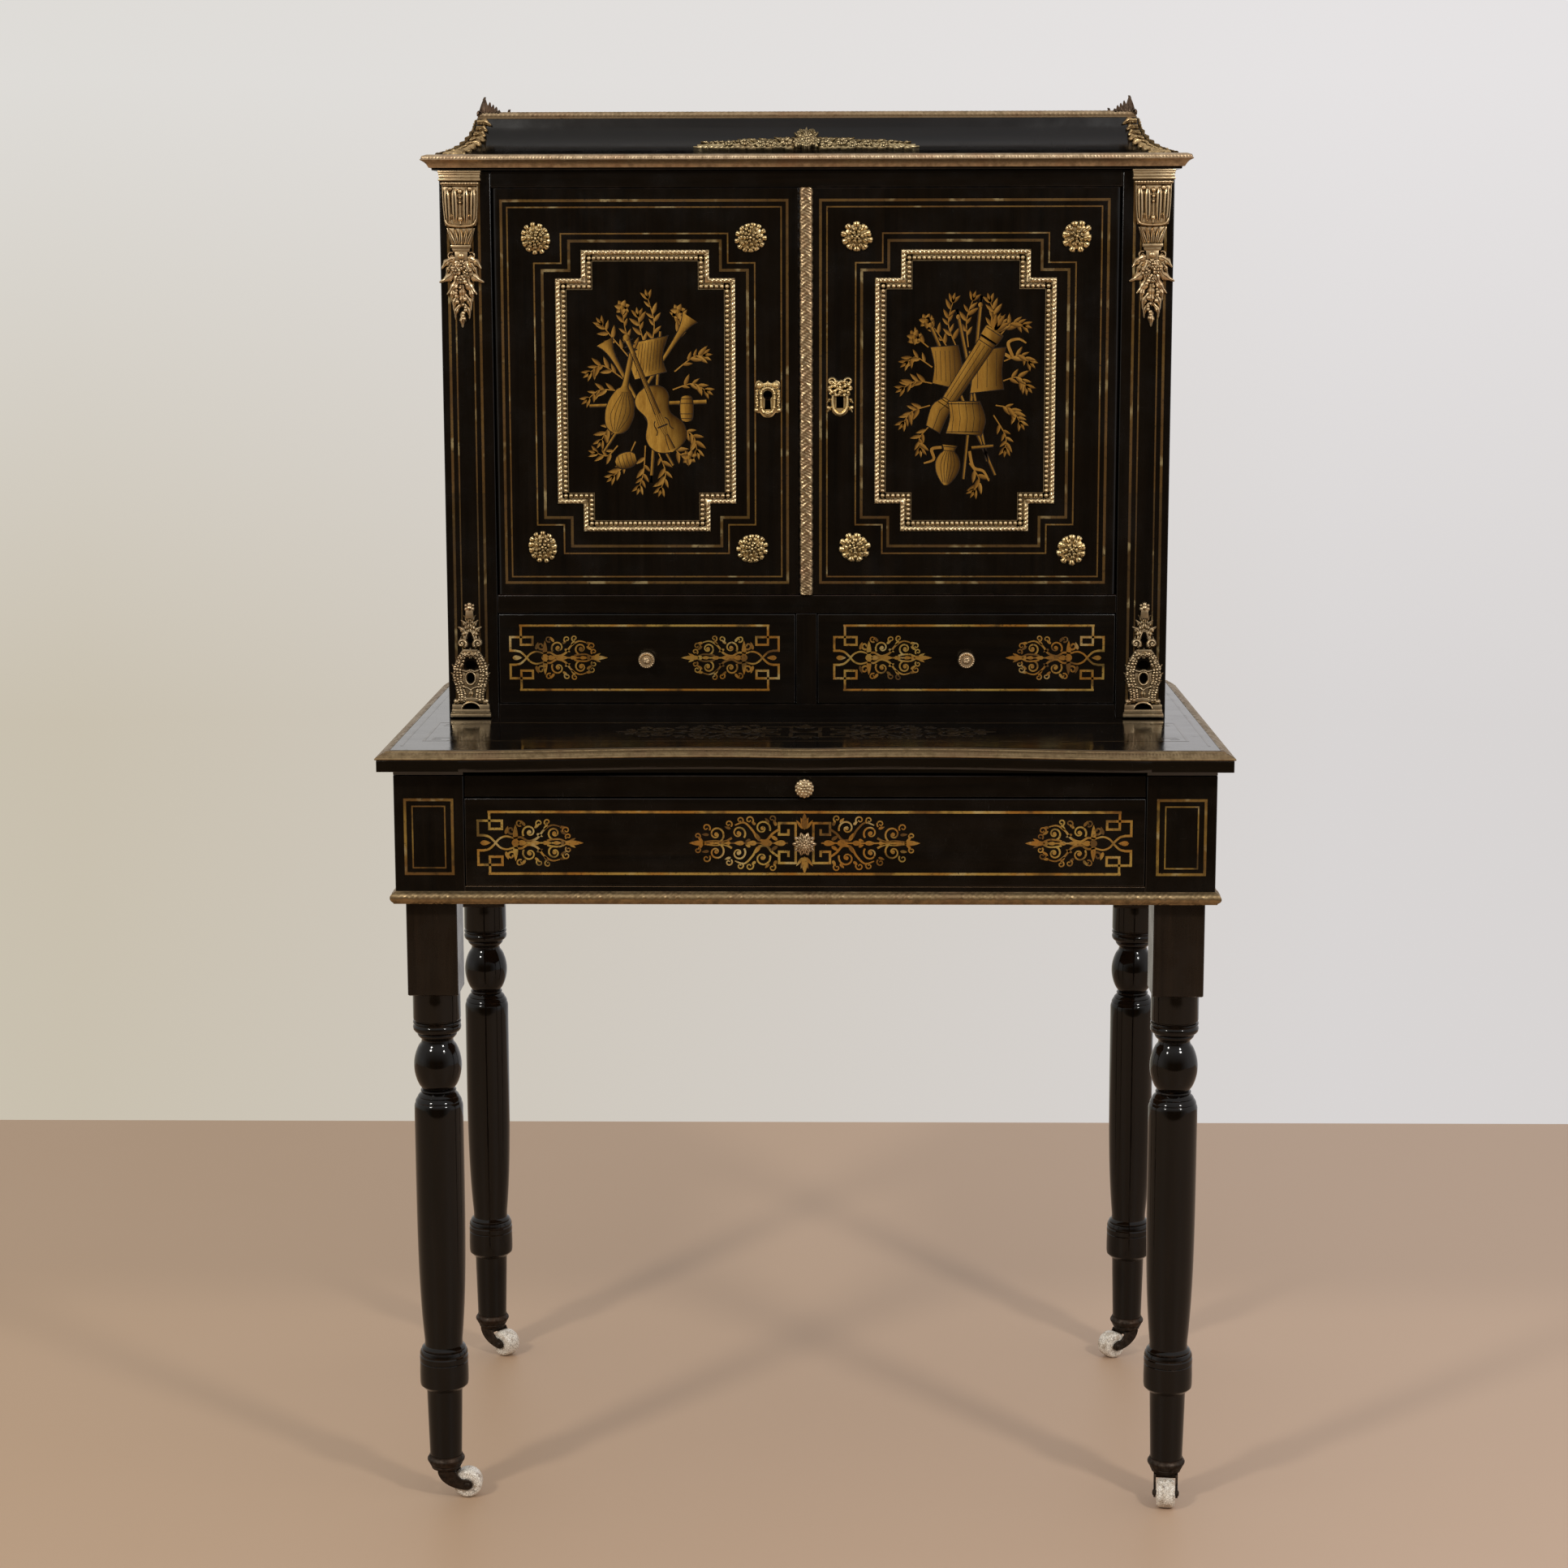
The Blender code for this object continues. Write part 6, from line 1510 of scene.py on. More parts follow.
def make_straight_lines():
    """Lines on the pilasters, the stiles and the sides."""
    for side, sign in SIDES:
        sheet = Sheet(door_face)
        for u, width in ((358, THICK_LINE), (351.5, THIN_LINE), (333.6, THIN_LINE), (327, THICK_LINE)):
            sheet.ribbon([(sign * u, 786), (sign * u, 1000)], width, tone=0.92)
            sheet.ribbon([(sign * u, 1000), (sign * u, 1316)], width, tone=0.72)
        sheet.finish(f"{side}_pilaster_lines", "line", "carcass")
        sheet = Sheet(apron_face)
        for u0, u1, v0, v1, width in ((339.2, 384.7, 648, 720.3, 2.6), (346.3, 377.7, 653.8, 714, 1.3)):
            sheet.ring(box_corners(sign * u0, sign * u1, v0, v1), width, tone=0.1)
        sheet.finish(f"{side}_stile_lines", "line", "carcass")
        sheet = Sheet(side_face(sign, CABINET_HALF))
        for inset, width in ((26, THICK_LINE), (33, THIN_LINE)):
            sheet.ring(box_corners(-34 + inset, 258.6 - inset, 775 + inset, 1316 - inset), width, tone=0.25)
        sheet.finish(f"{side}_cabinet_side_lines", "line", "carcass")
        sheet = Sheet(side_face(sign, APRON_HALF))
        for inset, width in ((22, 3.0), (28, 1.4)):
            sheet.ring(box_corners(-243 + inset, 258.6 - inset, 626 + inset, 742 - inset), width, tone=0.25)
        sheet.finish(f"{side}_apron_lines", "line", "carcass")


class Strapwork:
    """A mirrored and scaled part of an ornament on a sheet, in millimetres from its start."""

    def __init__(self, sheet, u0, v0, along, up, scale):
        self.sheet, self.scale = sheet, scale
        self.put = lambda s, t: (u0 + along * s * scale, v0 + up * t * scale)

    def band(self, points, width, end_width=None, swell=0.0, **named):
        end_width = width if end_width is None else end_width
        self.sheet.ribbon([self.put(*point) for point in points], width * self.scale,
                          end_width * self.scale, swell=swell * self.scale, **named)

    def curl(self, centre, radius, end_radius, start, sweep, steps, width, end_width, **named):
        self.band(spiral(centre, radius, end_radius, start, sweep, steps), width, end_width, **named)

    def petal(self, base, tip, width, layer, tone=None):
        self.sheet.petal(self.put(*base), self.put(*tip), width * self.scale, layer, tone)

    def disc(self, centre, radius, layer, tone=None):
        self.sheet.disc(self.put(*centre), radius * self.scale, layer=layer, tone=tone)


END_PETALS = (((58, 9), (64, 6.0), 3.6), ((56, 14.6), (61, 18.6), 3.4), ((65, 13), (69, 18.6), 3.4),
              ((80, 15.6), (87, 15.0), 3.2), ((81, 12), (87, 7.6), 3.4), ((47, 16.6), (43, 22), 3.6),
              ((28, 8.5), (30.5, 16.4), 4.2), ((89, 1), (95.5, 4.6), 3.2), ((37.5, 1), (37.5, 18), 6.0))
END_TENDRILS = (((60.5, 19.4), 3.4, 240), ((68.4, 20.4), 3.2, 250), ((86.4, 12.4), 3.6, 200),
                ((41.5, 19.6), 3.4, 300), ((88.5, 6.4), 3.0, 230))
END_BUDS = ((3.5, 13.5, 6.0), (40, 49, 6.6), (52, 62, 5.6), (63.5, 72, 5.0), (74, 82, 4.4), (84, 103, 6.2))


def end_arabesque(sheet, u0, v0, along, line, scale=1.0):
    """Strapwork that starts from a Greek key at the end of a drawer and points along it."""
    for up in (1, -1):
        work = Strapwork(sheet, u0, v0, along, up, scale)
        work.band([(12.5, line / scale), (12.5, 13.6), (24.6, 13.6), (24.6, 21.6), (1.4, 21.6),
                   (1.4, 7.4), (7.5, 7.4)], 2.3, layer=1, tone=0.2)
        cross = rounded([(6.6, 7.4), (12, 6), (17, 1.6), (22, -4), (28.5, -6.4), (36, -4.6)])
        work.band(cross, 2.2, 1.6, layer=2 if up > 0 else 3, tone=0.2)
        work.curl((33.4, 12.4), 4.0, 0.9, -60, -330, 16, 2.0, 1.4, layer=2)
        stem = rounded([(36, 4.6), (43, 5.4), (50, 1.8), (58.5, 4.6), (65, 12.6), (73, 17.4), (81, 15.8)])
        work.band(stem, 1.7, 1.0, 0.8, layer=3)
        for centre, radius, start in (((51, 10.6), 6.9, 215), ((75, 9.4), 6.2, 250)):
            work.curl(centre, radius, 1.4, start, -425, 24, 1.8, 1.1, layer=2, tone=0.15)
            work.disc(centre, 1.9, 3, 0.45)
        work.band(rounded([(68, 2), (72, 3.2), (80, 3.6), (86, 1.2)]), 2.0, 1.4, layer=3)
        for centre, radius, start in END_TENDRILS:
            work.curl(centre, radius, 0.9, start, -380, 16, 1.5, 0.9, layer=4)
        for base, tip, width in END_PETALS:
            work.petal(base, tip, 0.8 * width, 3)
    work = Strapwork(sheet, u0, v0, along, 1, scale)
    for start, end, width in END_BUDS:
        work.petal((start, 0), (end, 0), 0.8 * width, 4, 0.5)
    work.band([(38, 0), (60, 0), (86, 0)], 1.5, layer=1)
    work.disc((37.5, 0), 3.6, 4)
    work.disc((83.4, 0), 2.3, 4)


CENTRE_PETALS = (((0.6, 15), (3.6, 25), 3.6), ((1.6, 14), (8.0, 22.5), 3.4), ((27, 17), (30, 22.5), 3.8),
                 ((34, 20), (38, 24.5), 3.4), ((47, 18), (51, 21), 3.4), ((71, 14), (77, 16), 3.2),
                 ((92, 8), (99, 8.6), 3.4), ((98, 1), (103, 6.6), 3.2), ((26, 3), (33, 7.5), 4.2),
                 ((52, 3.5), (57, 1.6), 3.4), ((43, 2), (47, 10), 4.4))
CENTRE_TENDRILS = (((31, 24), 3.6, 250), ((53, 22.6), 4.0, 210), ((62, 22.4), 3.4, 240),
                   ((73, 18.8), 3.6, 230), ((94.5, 15), 4.0, 220), ((103, 7), 3.0, 240))
CENTRE_BUDS = ((18, 30, 6.6), (31, 43, 7.4), (46, 56, 5.8), (58, 68, 5.4), (71, 80, 5.0), (82, 92, 4.6),
               (95, 111, 6.0))
CENTRE_SCROLLS = (((40.5, 14.6), 7.8, 200), ((63.5, 9.8), 7.0, 220), ((85, 8.6), 8.0, 235))


def centre_arabesque(sheet, u0, v0, scale=1.0):
    """The strapwork round the middle knob, alike to left and right."""
    for along in (1, -1):
        for up in (1, -1):
            work = Strapwork(sheet, u0, v0, along, up, scale)
            work.band([(8.5, 3.4), (8.5, 19.5), (24.5, 19.5), (24.5, 8.4), (15.5, 8.4), (15.5, 13.6)], 2.3,
                      layer=1, tone=0.2)
            stem = rounded([(24, 14), (31, 9), (37, 2.6), (45, 4.4), (50, 12.5), (58, 20), (67, 17.5)])
            work.band(stem, 1.9, 1.1, 0.8, layer=2)
            for centre, radius, start in CENTRE_SCROLLS:
                work.curl(centre, radius, 1.5, start, -432, 24, 1.8, 1.1, layer=3, tone=0.15)
                work.disc(centre, 1.9, 4, 0.45)
            work.band(rounded([(70, 5), (77, 1.6), (88, 2.0), (98, 0.8)]), 2.1, 1.4, layer=4)
            for centre, radius, start in CENTRE_TENDRILS:
                work.curl(centre, radius, 0.9, start, -390, 16, 1.5, 0.9, layer=4)
            for base, tip, width in CENTRE_PETALS:
                work.petal(base, tip, 0.84 * width, 3)
        work = Strapwork(sheet, u0, v0, along, 1, scale)
        for start, end, width in CENTRE_BUDS:
            work.petal((start, 0), (end, 0), 0.84 * width, 4, 0.5)
        work.band([(16, 0), (60, 0), (98, 0)], 1.5)
    for up in (1, -1):
        work = Strapwork(sheet, u0, v0, 1, up, scale)
        work.petal((0, 13), (0, 30), 5.6, 4)
        work.band([(-8.5, 3.4), (-4.4, 0.6), (0, 0), (4.4, 0.6), (8.5, 3.4)], 2.4, layer=2)


def make_drawer_inlay():
    for side, sign in SIDES:
        sheet = Sheet(door_face)
        middle, line = 831.9, 33.0
        for up in (1, -1):
            v = middle + up * line
            sheet.ribbon([(sign * 293.3, v), (sign * 165, v), (sign * 37.7, v)], 2.1, tone=0.1)
        end_arabesque(sheet, sign * 304, middle, -sign, line, 0.98)
        end_arabesque(sheet, sign * 27, middle, sign, line, 0.98)
        sheet.finish(f"{side}_drawer_inlay", "strap", f"{side}_drawer")
    sheet = Sheet(apron_face)
    middle, line = 678.4, 30.2
    for up in (1, -1):
        sheet.ribbon([(-305, middle + up * line), (304, middle + up * line)], 2.4, tone=0.36)
    end_arabesque(sheet, -316, middle, 1, line)
    end_arabesque(sheet, 315, middle, -1, line)
    centre_arabesque(sheet, 0, middle)
    sheet.finish("table_drawer_inlay", "strap", "table_drawer")


def make_top_inlay():
    """A line with keyed corners round the table top, and strapwork before the cabinet, in brass painted near
    black for the dim look it has at a grazing view.
    """
    sheet = Sheet(top_face)
    half, front, back = 372, -192, -70
    sheet.ring(box_corners(-half, half, front, back), 2.6, tone=0.3)
    for sx in (1, -1):
        for corner, way in ((front, 1), (back, -1)):
            keyed = ((24, 0), (24, 20), (8, 20), (8, 10), (16, 10))
            sheet.ribbon([(sx * (half - s), corner + way * t) for s, t in keyed], 2.4)
        sheet.ribbon([(sx * 389, -225), (sx * 389, 0), (sx * 389, 250)], 2.2)
    centre_arabesque(sheet, 0, (front + back) / 2, 1.7)
    sheet.finish("table_top_inlay", "faint", "carcass")


def make_slide_leather():
    """A leather panel on the slide with a gilt line tooled near its edge."""
    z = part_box("writing_slide")[1].z
    bm = bmesh.new()
    half, front, back = 296, -196, 96
    rings = []
    for inset, level in ((0, -0.2), (0, 0.15), (1.2, 0.32)):
        corners = box_corners(-half + inset, half - inset, front + inset, back - inset)
        rings.append([(u * MM, v * MM, z + level * MM) for u, v in corners])
    loft(bm, rings)
    piece("slide_leather_panel", bm, "leather", "writing_slide")
    sheet = Sheet(lambda u, v, w: Vector((u, v, z + 0.28 * MM + w)))
    for inset, width in ((9, 1.6), (13, 0.7)):
        sheet.ring(box_corners(-half + inset, half - inset, front + inset, back - inset), width)
    sheet.finish("slide_gilt_tooling", "line", "writing_slide")


# Marquetry trophies of own design


def bellied(start, end, profile):
    """Edges of a form about an axis: profile gives (share along, half width)."""
    start, end = Vector(start), Vector(end)
    side = Vector((start.y - end.y, end.x - start.x)).normalized()
    left = [tuple(start.lerp(end, t) + side * w) for t, w in profile]
    right = [tuple(start.lerp(end, t) - side * w) for t, w in profile]
    return left, right


TWIG_LEAF = 10.5
ROD = ((0, 1.5), (0.02, 1.7), (0.9, 1.4), (1, 1.1))
HORN = ((0, 1.3), (0.6, 1.7), (0.8, 2.2), (0.9, 3.4), (0.96, 6.0), (1, 9.2))
FIDDLE = ((0, 1.5), (0.015, 9), (0.05, 16.0), (0.11, 20.2), (0.18, 20.6), (0.24, 17.0), (0.29, 13.2),
          (0.34, 12.6), (0.39, 15.0), (0.44, 17.4), (0.50, 16.4), (0.545, 11.0), (0.565, 4.6), (0.57, 2.6))


class Trophy(Sheet):
    """Marquetry in millimetres about the middle of a door panel."""

    def __init__(self, side):
        low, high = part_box(f"{side}_door_bead_frame")
        super().__init__(door_face, (low.x + high.x) / 2 / MM, (low.z + high.z) / 2 / MM)
        self.chance = random.Random(23)
        self.side, self.age = side, {"left": 0.12, "right": 0.6}[side]

    def strip(self, left, right, layer=0, tone=None, *rest, **named):
        tone = (self.chance.random() if tone is None else tone) + self.age
        super().strip(left, right, layer, tone, *rest, **named)

    def form(self, start, end, profile, layer, tone):
        """A form about an axis, with a dark seam along both edges."""
        left, right = (rounded(edge, 3) for edge in bellied(start, end, profile))
        self.strip(left, right, layer, tone)
        for edge in (left, right):
            self.cut(edge, 0.8, layer + 0.4)

    def plate(self, left, right, layer, tone):
        """A plate between two rounded edges, with a dark seam round it."""
        left, right = rounded(left, 4), rounded(right, 4)
        self.strip(left, right, layer, tone)
        self.cut([*left, *right[::-1], left[0]], 0.8, layer + 0.4)

    def cut(self, points, width=0.6, layer=14):
        """An engraved line."""
        self.ribbon(points, width, layer=layer, tone=0, material=1)

    def bands(self, start, end, places, half, layer, width=0.7):
        """Engraved lines across an axis."""
        for t in places:
            left, right = bellied(start, end, ((t, half),))
            self.cut([left[0], right[0]], width, layer)

    def staves(self, start, end, rows, layer):
        """Ruled lines between two edges, given as their end points."""
        for k in range(rows):
            t = (k + 0.7) / (rows + 0.4)
            self.cut([tuple(Vector(a).lerp(Vector(b), t)) for a, b in (start, end)], 0.45, layer)

    def twig(self, points, leaves, blossom):
        """A thin stem with small pointed leaves, ending in a leaf or a blossom."""
        stem = rounded(points, 8)
        self.ribbon(stem, 1.3, 0.7, layer=0, tone=0.5, material=2)
        for k in range(leaves):
            i = int((0.3 + 0.66 * k / leaves) * (len(stem) - 2))
            here, ahead = Vector(stem[i]), (Vector(stem[i + 1]) - Vector(stem[i])).normalized()
            way = 1 if k % 2 else -1
            turned = Matrix.Rotation(way * math.radians(self.chance.uniform(28, 52)), 2) @ ahead
            length = TWIG_LEAF * self.chance.uniform(0.8, 1.3)
            self.petal(tuple(here), tuple(here + turned * length), length * 0.34, layer=1 + k % 3,
                       material=2)
        last, way = Vector(stem[-1]), (Vector(stem[-1]) - Vector(stem[-2])).normalized()
        if blossom:
            for k in range(7):
                a = math.radians(51.4 * k + 15)
                self.petal(tuple(last), (last.x + 8 * math.cos(a), last.y + 8 * math.sin(a)), 5.4,
                           layer=3 + k % 2, tone=0.05 + 0.1 * (k % 3), material=2)
            self.disc(tuple(last), 2.2, layer=6, tone=0.7)
        else:
            for turn_by in (-34, 0, 34):
                out = Matrix.Rotation(math.radians(turn_by), 2) @ way * TWIG_LEAF
                self.petal(tuple(last), tuple(last + out), TWIG_LEAF * 0.34, layer=2, material=2)

    def scarf(self, points, width, layer):
        """A curling ribbon."""
        self.ribbon(rounded(points, 7), width, 0.5 * width, layer=layer, material=2, tone=0.2, swell=0.8)

    def done(self):
        self.finish(f"{self.side}_door_marquetry", ("veneer", "engraving", "pale_veneer"),
                    f"{self.side}_door", "ebonised_wood")


def make_music_trophy():
    work = Trophy("left")
    for points, leaves, blossom in (
            ([(-6, 30), (-20, 58), (-24, 84)], 7, True), ([(2, 34), (8, 66), (2, 92)], 8, False),
            ([(0, 40), (-6, 62), (-8, 74)], 5, False), ([(-14, 30), (-36, 56), (-44, 66)], 6, False),
            ([(-20, 10), (-44, 26), (-56, 20)], 8, False), ([(-22, 0), (-46, 2), (-58, -6)], 6, False),
            ([(-20, -26), (-38, -36), (-46, -48)], 6, False),
            ([(-12, -50), (-24, -74), (-34, -84)], 7, False),
            ([(-2, -54), (-4, -80), (-8, -94)], 6, False), ([(8, -54), (18, -80), (14, -96)], 7, False),
            ([(18, -44), (32, -62), (42, -66)], 6, True), ([(30, -34), (46, -44), (50, -58)], 7, False),
            ([(26, 2), (46, 8), (58, 2)], 7, False), ([(28, 20), (46, 34), (56, 36)], 6, False),
            ([(24, 44), (34, 64), (32, 80)], 6, True), ([(-30, -54), (-40, -64), (-50, -62)], 4, False)):
        work.twig(points, leaves, blossom)
    work.form((26, -74), (-42, 50), HORN, 5, 0.12)
    work.form((-44, -60), (44, 74), HORN, 6, 0.3)
    work.form((-58, -14), (60, -10), ((0, 1.6), (0.5, 1.9), (1, 2.2)), 6, 0.2)
    work.form((4, -84), (14, 60), ROD, 5, 0.4)
    work.plate([(-12, 12), (-16, 28), (-8, 50)], [(20, 20), (16, 36), (22, 56)], 8, 0.02)
    work.staves(((-13, 16), (18, 24)), ((-9, 47), (20, 53)), 9, 9)
    work.form((-32, -42), (-14, 44), ((0, 2), (0.03, 8), (0.1, 12.4), (0.24, 14.6), (0.38, 12.6), (0.5, 7.5),
                                     (0.56, 3.2), (0.8, 2.6), (1, 2.2)), 11, 0.25)
    for k in (-8, -4, 0, 4, 8):
        work.cut(rounded([(-32 + 0.3 * k, -40), (-27 + 1.2 * k, -22), (-22 + 0.3 * k, 0)], 4), 0.5, 12)
    start, end = (26, -60), (-20, 54)
    work.form(start, end, FIDDLE, 15, 0.05)
    work.form(start, end, ((0.33, 2.6), (0.6, 2.2), (0.84, 1.9)), 17, 0.75)
    work.form(start, end, ((0.84, 2.6), (0.9, 2.0), (0.97, 2.6), (1.0, 3.2)), 18, 0.2)
    work.disc(end, 3.4, layer=19, tone=0.35)
    work.form(start, end, ((0.02, 3.2), (0.1, 2.2), (0.15, 1.6)), 17, 0.85)
    work.bands(start, end, (0.225,), 5.4, 18, 1.5)
    for k in (-1.5, -0.5, 0.5, 1.5):
        line = bellied(start, end, ((0.14, 1.0 * k), (0.225, 2.2 * k), (0.86, 1.0 * k)))[0]
        work.cut(line, 0.35, 19)
    for s in (0, 1):
        slit = bellied(start, end, ((0.17, 9.4), (0.2, 7.0), (0.255, 7.6), (0.285, 5.2)))[s]
        work.cut(rounded(slit, 4), 1.0, 17)
    for t in (0.88, 0.93, 0.97):
        work.bands(start, end, (t,), 5.6, 17, 1.1)
    work.form((40, -30), (40, -4), ((0, 2), (0.08, 5.6), (0.5, 6.8), (0.92, 5.6), (1, 2)), 9, 0.35)
    work.bands((40, -30), (40, -4), (0.12, 0.3, 0.7, 0.88), 6.0, 11)
    work.form((-32, -72), (-12, -66), ((0, 2.5), (0.15, 6.5), (0.5, 8.2), (0.85, 7.0), (1, 4.0)), 8, 0.15)
    work.bands((-32, -72), (-12, -66), (0.2, 0.4, 0.6, 0.8), 6.4, 10, 0.5)
    work.done()


def make_arts_trophy():
    work = Trophy("right")
    for points, leaves, blossom in (
            ([(-8, 40), (-18, 66), (-14, 88)], 8, False), ([(-14, 36), (-30, 60), (-40, 70)], 7, True),
            ([(2, 44), (0, 70), (6, 90)], 7, False), ([(22, 52), (28, 72), (24, 88)], 7, False),
            ([(34, 56), (46, 68), (56, 66)], 6, False), ([(38, 30), (54, 36), (62, 30)], 6, False),
            ([(36, 10), (52, 14), (60, 6)], 7, False), ([(30, -14), (46, -18), (54, -30)], 8, False),
            ([(28, -24), (40, -44), (40, -56)], 6, False), ([(-34, 24), (-50, 34), (-58, 30)], 6, False),
            ([(-34, 8), (-50, 10), (-62, 4)], 7, False), ([(-36, -14), (-54, -20), (-62, -30)], 8, False),
            ([(-34, -32), (-46, -46), (-46, -56)], 6, False), ([(4, -72), (14, -88), (10, -98)], 5, False),
            ([(-38, 44), (-48, 52), (-52, 54)], 4, True)):
        work.twig(points, leaves, blossom)
    for start, end in (((-36, 66), (30, -84)), ((14, 86), (-2, -88)), ((-8, 74), (22, -70))):
        work.form(start, end, ROD, 5, 0.2)
        work.disc(start, 2.4, layer=6, tone=0.1, material=2)
    work.cut([(9, -56), (27, -55)], 2.0, 6)
    work.form((6, -56.5), (28, -54.5), ROD, 7, 0.25)
    work.plate([(-34, 8), (-32, 26), (-36, 44)], [(-6, 2), (-4, 24), (-8, 46)], 8, 0.3)
    work.staves(((-33, 12), (-7, 7)), ((-34, 40), (-9, 41)), 5, 9)
    work.plate([(4, -2), (6, 18), (2, 40)], [(38, 2), (36, 22), (40, 44)], 8, 0.12)
    work.staves(((5, 2), (37, 6)), ((5, 36), (37, 40)), 3, 9)
    start, end = (-24, -20), (32, 66)
    work.form(start, end, ((0, 3), (0.03, 6.4), (0.3, 7.6), (0.8, 8.8), (0.82, 9.8), (0.92, 10.2),
                           (0.94, 9.4)), 12, 0.05)
    work.bands(start, end, (0.06, 0.1, 0.78, 0.82, 0.92), 9.0, 14, 0.8)
    for k in (-4.5, 0, 4.5):
        work.cut(bellied(start, end, ((0.12, 0.9 * k), (0.76, 1.1 * k)))[0], 0.5, 14)
    axis = (Vector(end) - Vector(start)).normalized()
    for k in range(7):
        out = Matrix.Rotation(math.radians(-42 + 14 * k), 2) @ axis
        root = Vector(start).lerp(Vector(end), 0.93)
        work.petal(tuple(root), tuple(root + out * (20 - abs(k - 3))), 5.2, layer=10 + k % 2, material=2)
    work.plate([(-40, -34), (-34, -14), (-22, -6)], [(-26, -42), (-18, -24), (-10, -14)], 14, 0.22)
    work.cut([(-33, -38), (-26, -19), (-16, -10)], 0.6, 15)
    work.plate([(-20, -42), (-16, -26), (-18, -10)], [(16, -44), (20, -28), (14, -10)], 16, 0.08)
    for u in (-14, -7, 0, 7, 13):
        work.cut([(u, -41), (u + 1.5, -27), (u - 0.5, -11)], 0.5, 17)
    work.bands((-2, -44), (-2, -9), (0.1, 0.9), 17, 17, 0.8)
    start, end = (-20, -94), (-16, -54)
    work.form(start, end, ((0, 2), (0.1, 6), (0.32, 11), (0.55, 12.4), (0.75, 9.4), (0.86, 5.6),
                           (1, 7.6)), 12, 0.1)
    for k in (-7, -3.5, 0, 3.5, 7):
        work.cut(rounded(bellied(start, end, ((0.06, 0.4 * k), (0.5, k), (0.84, 0.5 * k)))[0], 4), 0.55, 14)
    work.bands(start, end, (0.86, 0.96), 6.2, 14, 0.8)
    work.scarf([(34, 40), (46, 34), (42, 48), (52, 52), (60, 48)], 3.0, 4)
    work.scarf([(-24, -56), (-34, -58), (-32, -68), (-42, -72)], 2.8, 4)
    work.scarf([(4, -60), (8, -76), (18, -80), (24, -90)], 2.8, 4)
    work.done()


make_boards()
make_mouldings()
make_corner_leaves()
for leg_corner in CASTER_HEADINGS:
    make_caster(leg_corner, *make_leg(leg_corner))
for door_side, hand in SIDES:
    make_bead_frame(door_side)
    make_rosettes(door_side)
    make_door_inlay(door_side)
    make_capital(door_side, hand)
    make_pilaster_foot(door_side, hand)
    make_knob(f"{door_side}_drawer_knob", f"{door_side}_drawer", DISC_KNOB)
make_knob("writing_slide_knob", "writing_slide", BALL_KNOB)
make_knob("table_drawer_knob", "table_drawer", FLOWER_KNOB, 10)
make_astragal()
make_escutcheons()
make_garland()
make_cove_leaves()
make_straight_lines()
make_drawer_inlay()
make_top_inlay()
make_slide_leather()
make_music_trophy()
make_arts_trophy()

# Camera, light and floor

CAMERA_PLACE = (0.0293, -3.1475, 1.2205)
CAMERA_PITCH, CAMERA_YAW, CAMERA_ROLL = 9.4676, -0.9655, -0.1091
CAMERA_LENS = 70.50
LAMP_POWER, LAMP_SIZE = 46, 0.45


def make_camera():
    pitch, yaw, roll = (math.radians(a) for a in (CAMERA_PITCH, CAMERA_YAW, CAMERA_ROLL))
    ahead = Vector((math.sin(yaw) * math.cos(pitch), math.cos(yaw) * math.cos(pitch),
                    -math.sin(pitch)))
    right = Vector((math.cos(yaw), -math.sin(yaw), 0))
    up = right.cross(ahead)
    level_right = right * math.cos(roll) + up * math.sin(roll)
    level_up = up * math.cos(roll) - right * math.sin(roll)
    camera = bpy.data.objects.new("camera", bpy.data.cameras.new("camera"))
    axes = Matrix((level_right, level_up, -ahead)).transposed().to_4x4()
    camera.matrix_world = Matrix.Translation(CAMERA_PLACE) @ axes
    camera.data.lens = CAMERA_LENS
    camera.data.sensor_width = 36
    bpy.context.scene.collection.objects.link(camera)
    bpy.context.scene.camera = camera


def make_lamp(name, place, aim, tint):
    lamp = bpy.data.objects.new(name, bpy.data.lights.new(name, "AREA"))
    lamp.data.shape = "DISK"
    lamp.data.size = LAMP_SIZE
    lamp.data.energy = LAMP_POWER
    lamp.data.color = tint
    lamp.location = place
    lamp.rotation_euler = (Vector(aim) - Vector(place)).to_track_quat("-Z", "Y").to_euler()
    bpy.context.scene.collection.objects.link(lamp)


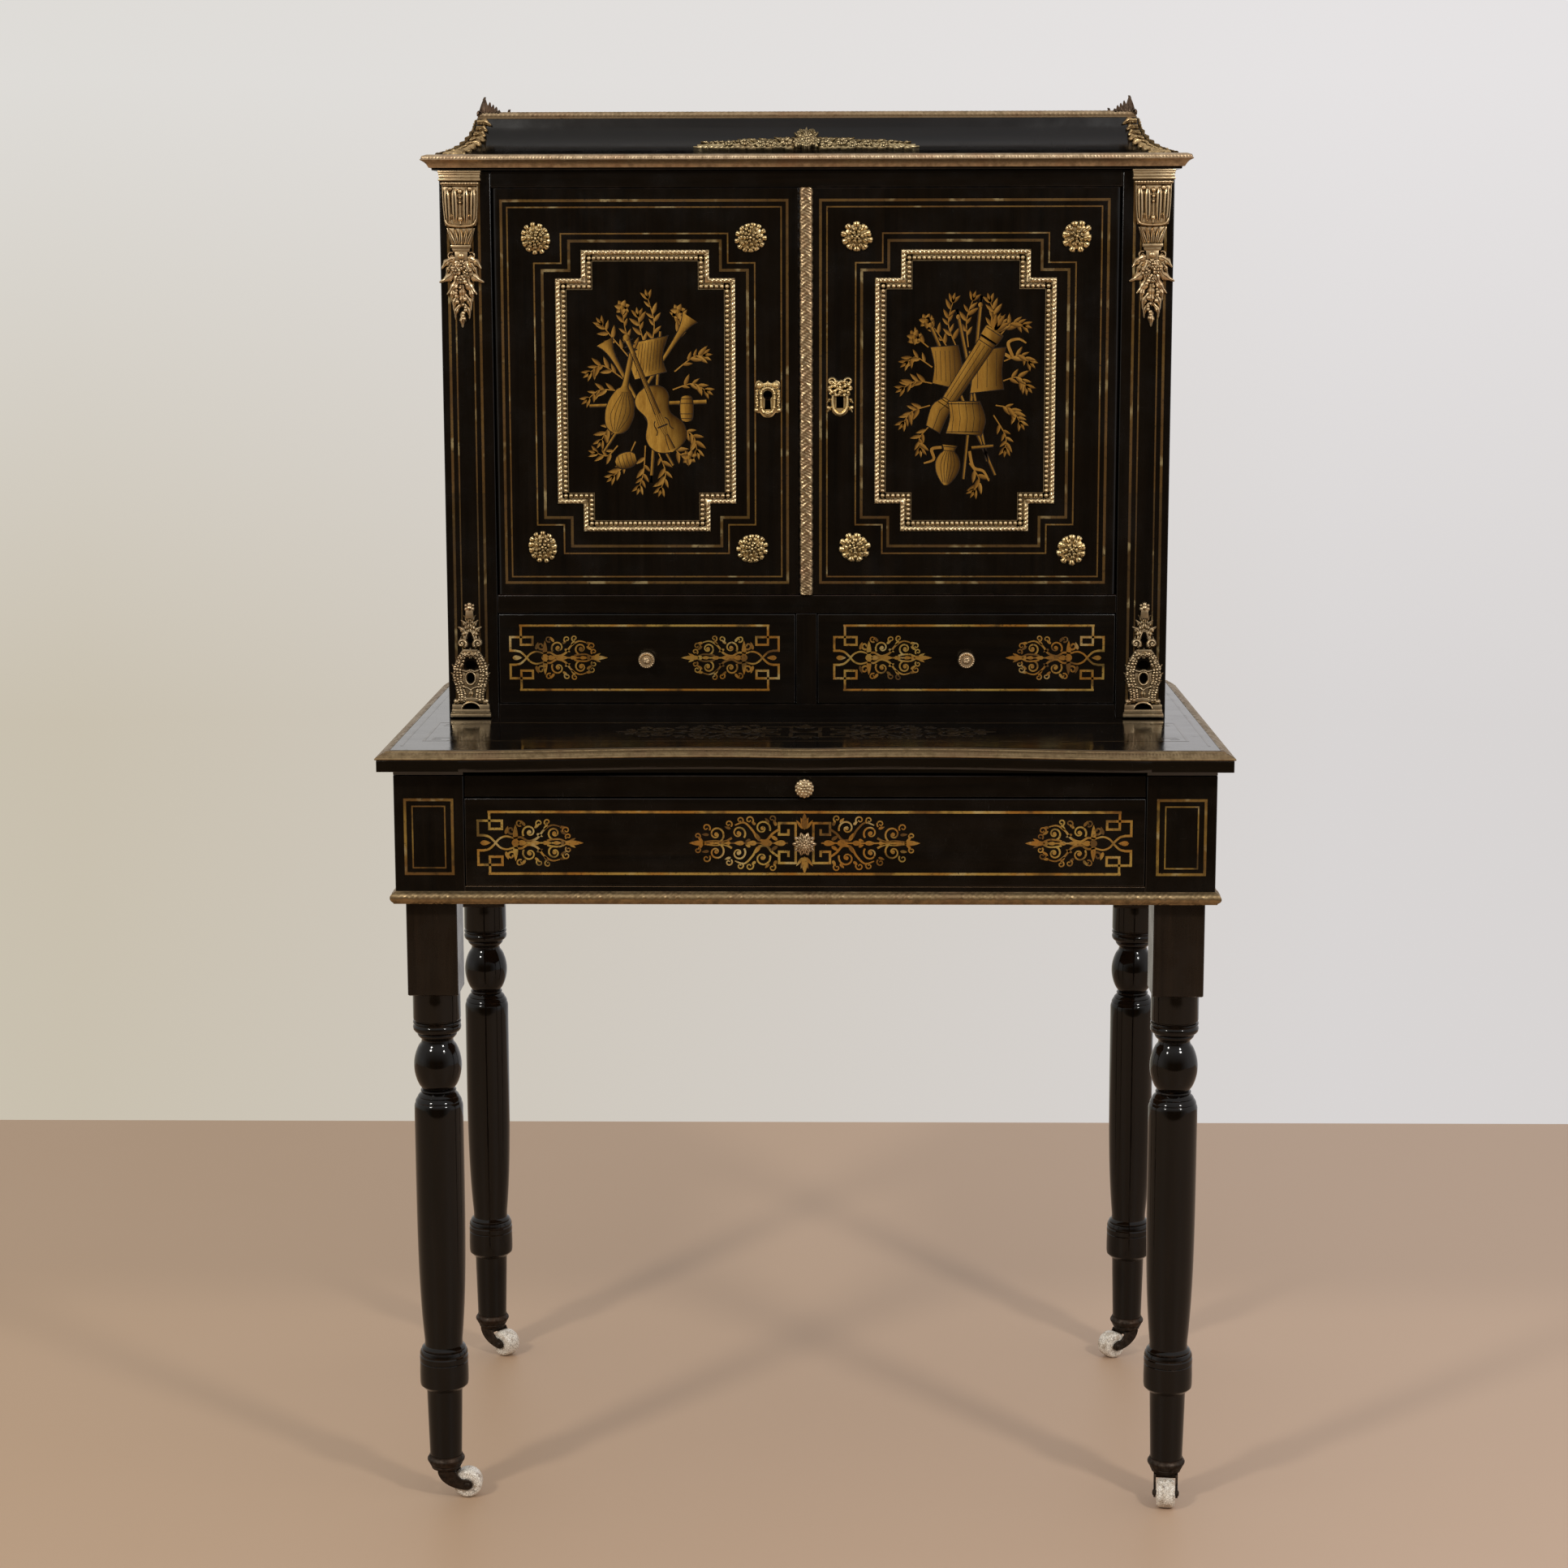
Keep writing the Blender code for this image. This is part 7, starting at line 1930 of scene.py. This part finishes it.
def make_world():
    """A pale room, lighter above and to the right, and dim on the side that faces the piece."""
    world = bpy.data.worlds.new("pale_room")
    bpy.context.scene.world = world
    world.use_nodes = True
    tree = world.node_tree
    way = node(tree, "ShaderNodeSeparateXYZ",
               {0: node(tree, "ShaderNodeTexCoord").outputs["Generated"]}).outputs
    to_right = ranged(tree, way["X"], -0.24, 0.16)
    wall = mixed(tree, to_right, (0.585, 0.530, 0.430), (0.69, 0.665, 0.660))
    ceiling = mixed(tree, to_right, (0.735, 0.715, 0.685), (0.79, 0.768, 0.770))
    room = mixed(tree, ranged(tree, way["Z"], -0.14, 0.06), wall, ceiling)
    front = ranged(tree, way["Y"], -0.35, -0.9)
    below = ranged(tree, way["Z"], 0.7, 0.1)
    sky = mixed(tree, maths(tree, "MULTIPLY", front, below), room, (0.088, 0.058, 0.030))
    wire(tree, tree.nodes["Background"], {"Color": sky, "Strength": 1.0})


def make_floor():
    bm = bmesh.new()
    reach_x, near, far = 3.2, -2.2, 1.18
    steps = 8
    rows = [[bm.verts.new((-reach_x + 2 * reach_x * i / steps, near + (far - near) * j / steps, 0))
             for i in range(steps + 1)] for j in range(steps + 1)]
    for j in range(steps):
        for i in range(steps):
            bm.faces.new((rows[j][i], rows[j][i + 1], rows[j + 1][i + 1], rows[j + 1][i]))
    mesh = bpy.data.meshes.new("pale_floor")
    bm.to_mesh(mesh)
    bm.free()
    material, tree, shader, coords = start_material("pale_floor")
    cloud = noise(tree, coords, 2.5, 3.0)
    # Painted light: the floor's colour grows lighter towards the right, where the room is brighter
    across = node(tree, "ShaderNodeSeparateXYZ", {0: coords}).outputs["X"]
    across = maths(tree, "ADD", ranged(tree, across, -0.9, 0.9), maths(tree, "MULTIPLY", cloud, 0.2), True)
    wire(tree, shader, {"Roughness": 0.5, "Base Color": mixed(
        tree, across, (0.425, 0.284, 0.172), (0.490, 0.344, 0.242))})
    mesh.materials.append(material)
    floor = bpy.data.objects.new("pale_floor", mesh)
    bpy.context.scene.collection.objects.link(floor)


bpy.context.scene.view_settings.view_transform = "Standard"
make_camera()
make_lamp("left_lamp", (-2.1, -2.5, 2.7), (0, 0, 0.9), (1.0, 0.97, 0.92))
make_lamp("right_lamp", (2.1, -2.5, 2.7), (0, 0, 0.9), (1.0, 0.98, 0.95))
make_world()
make_floor()
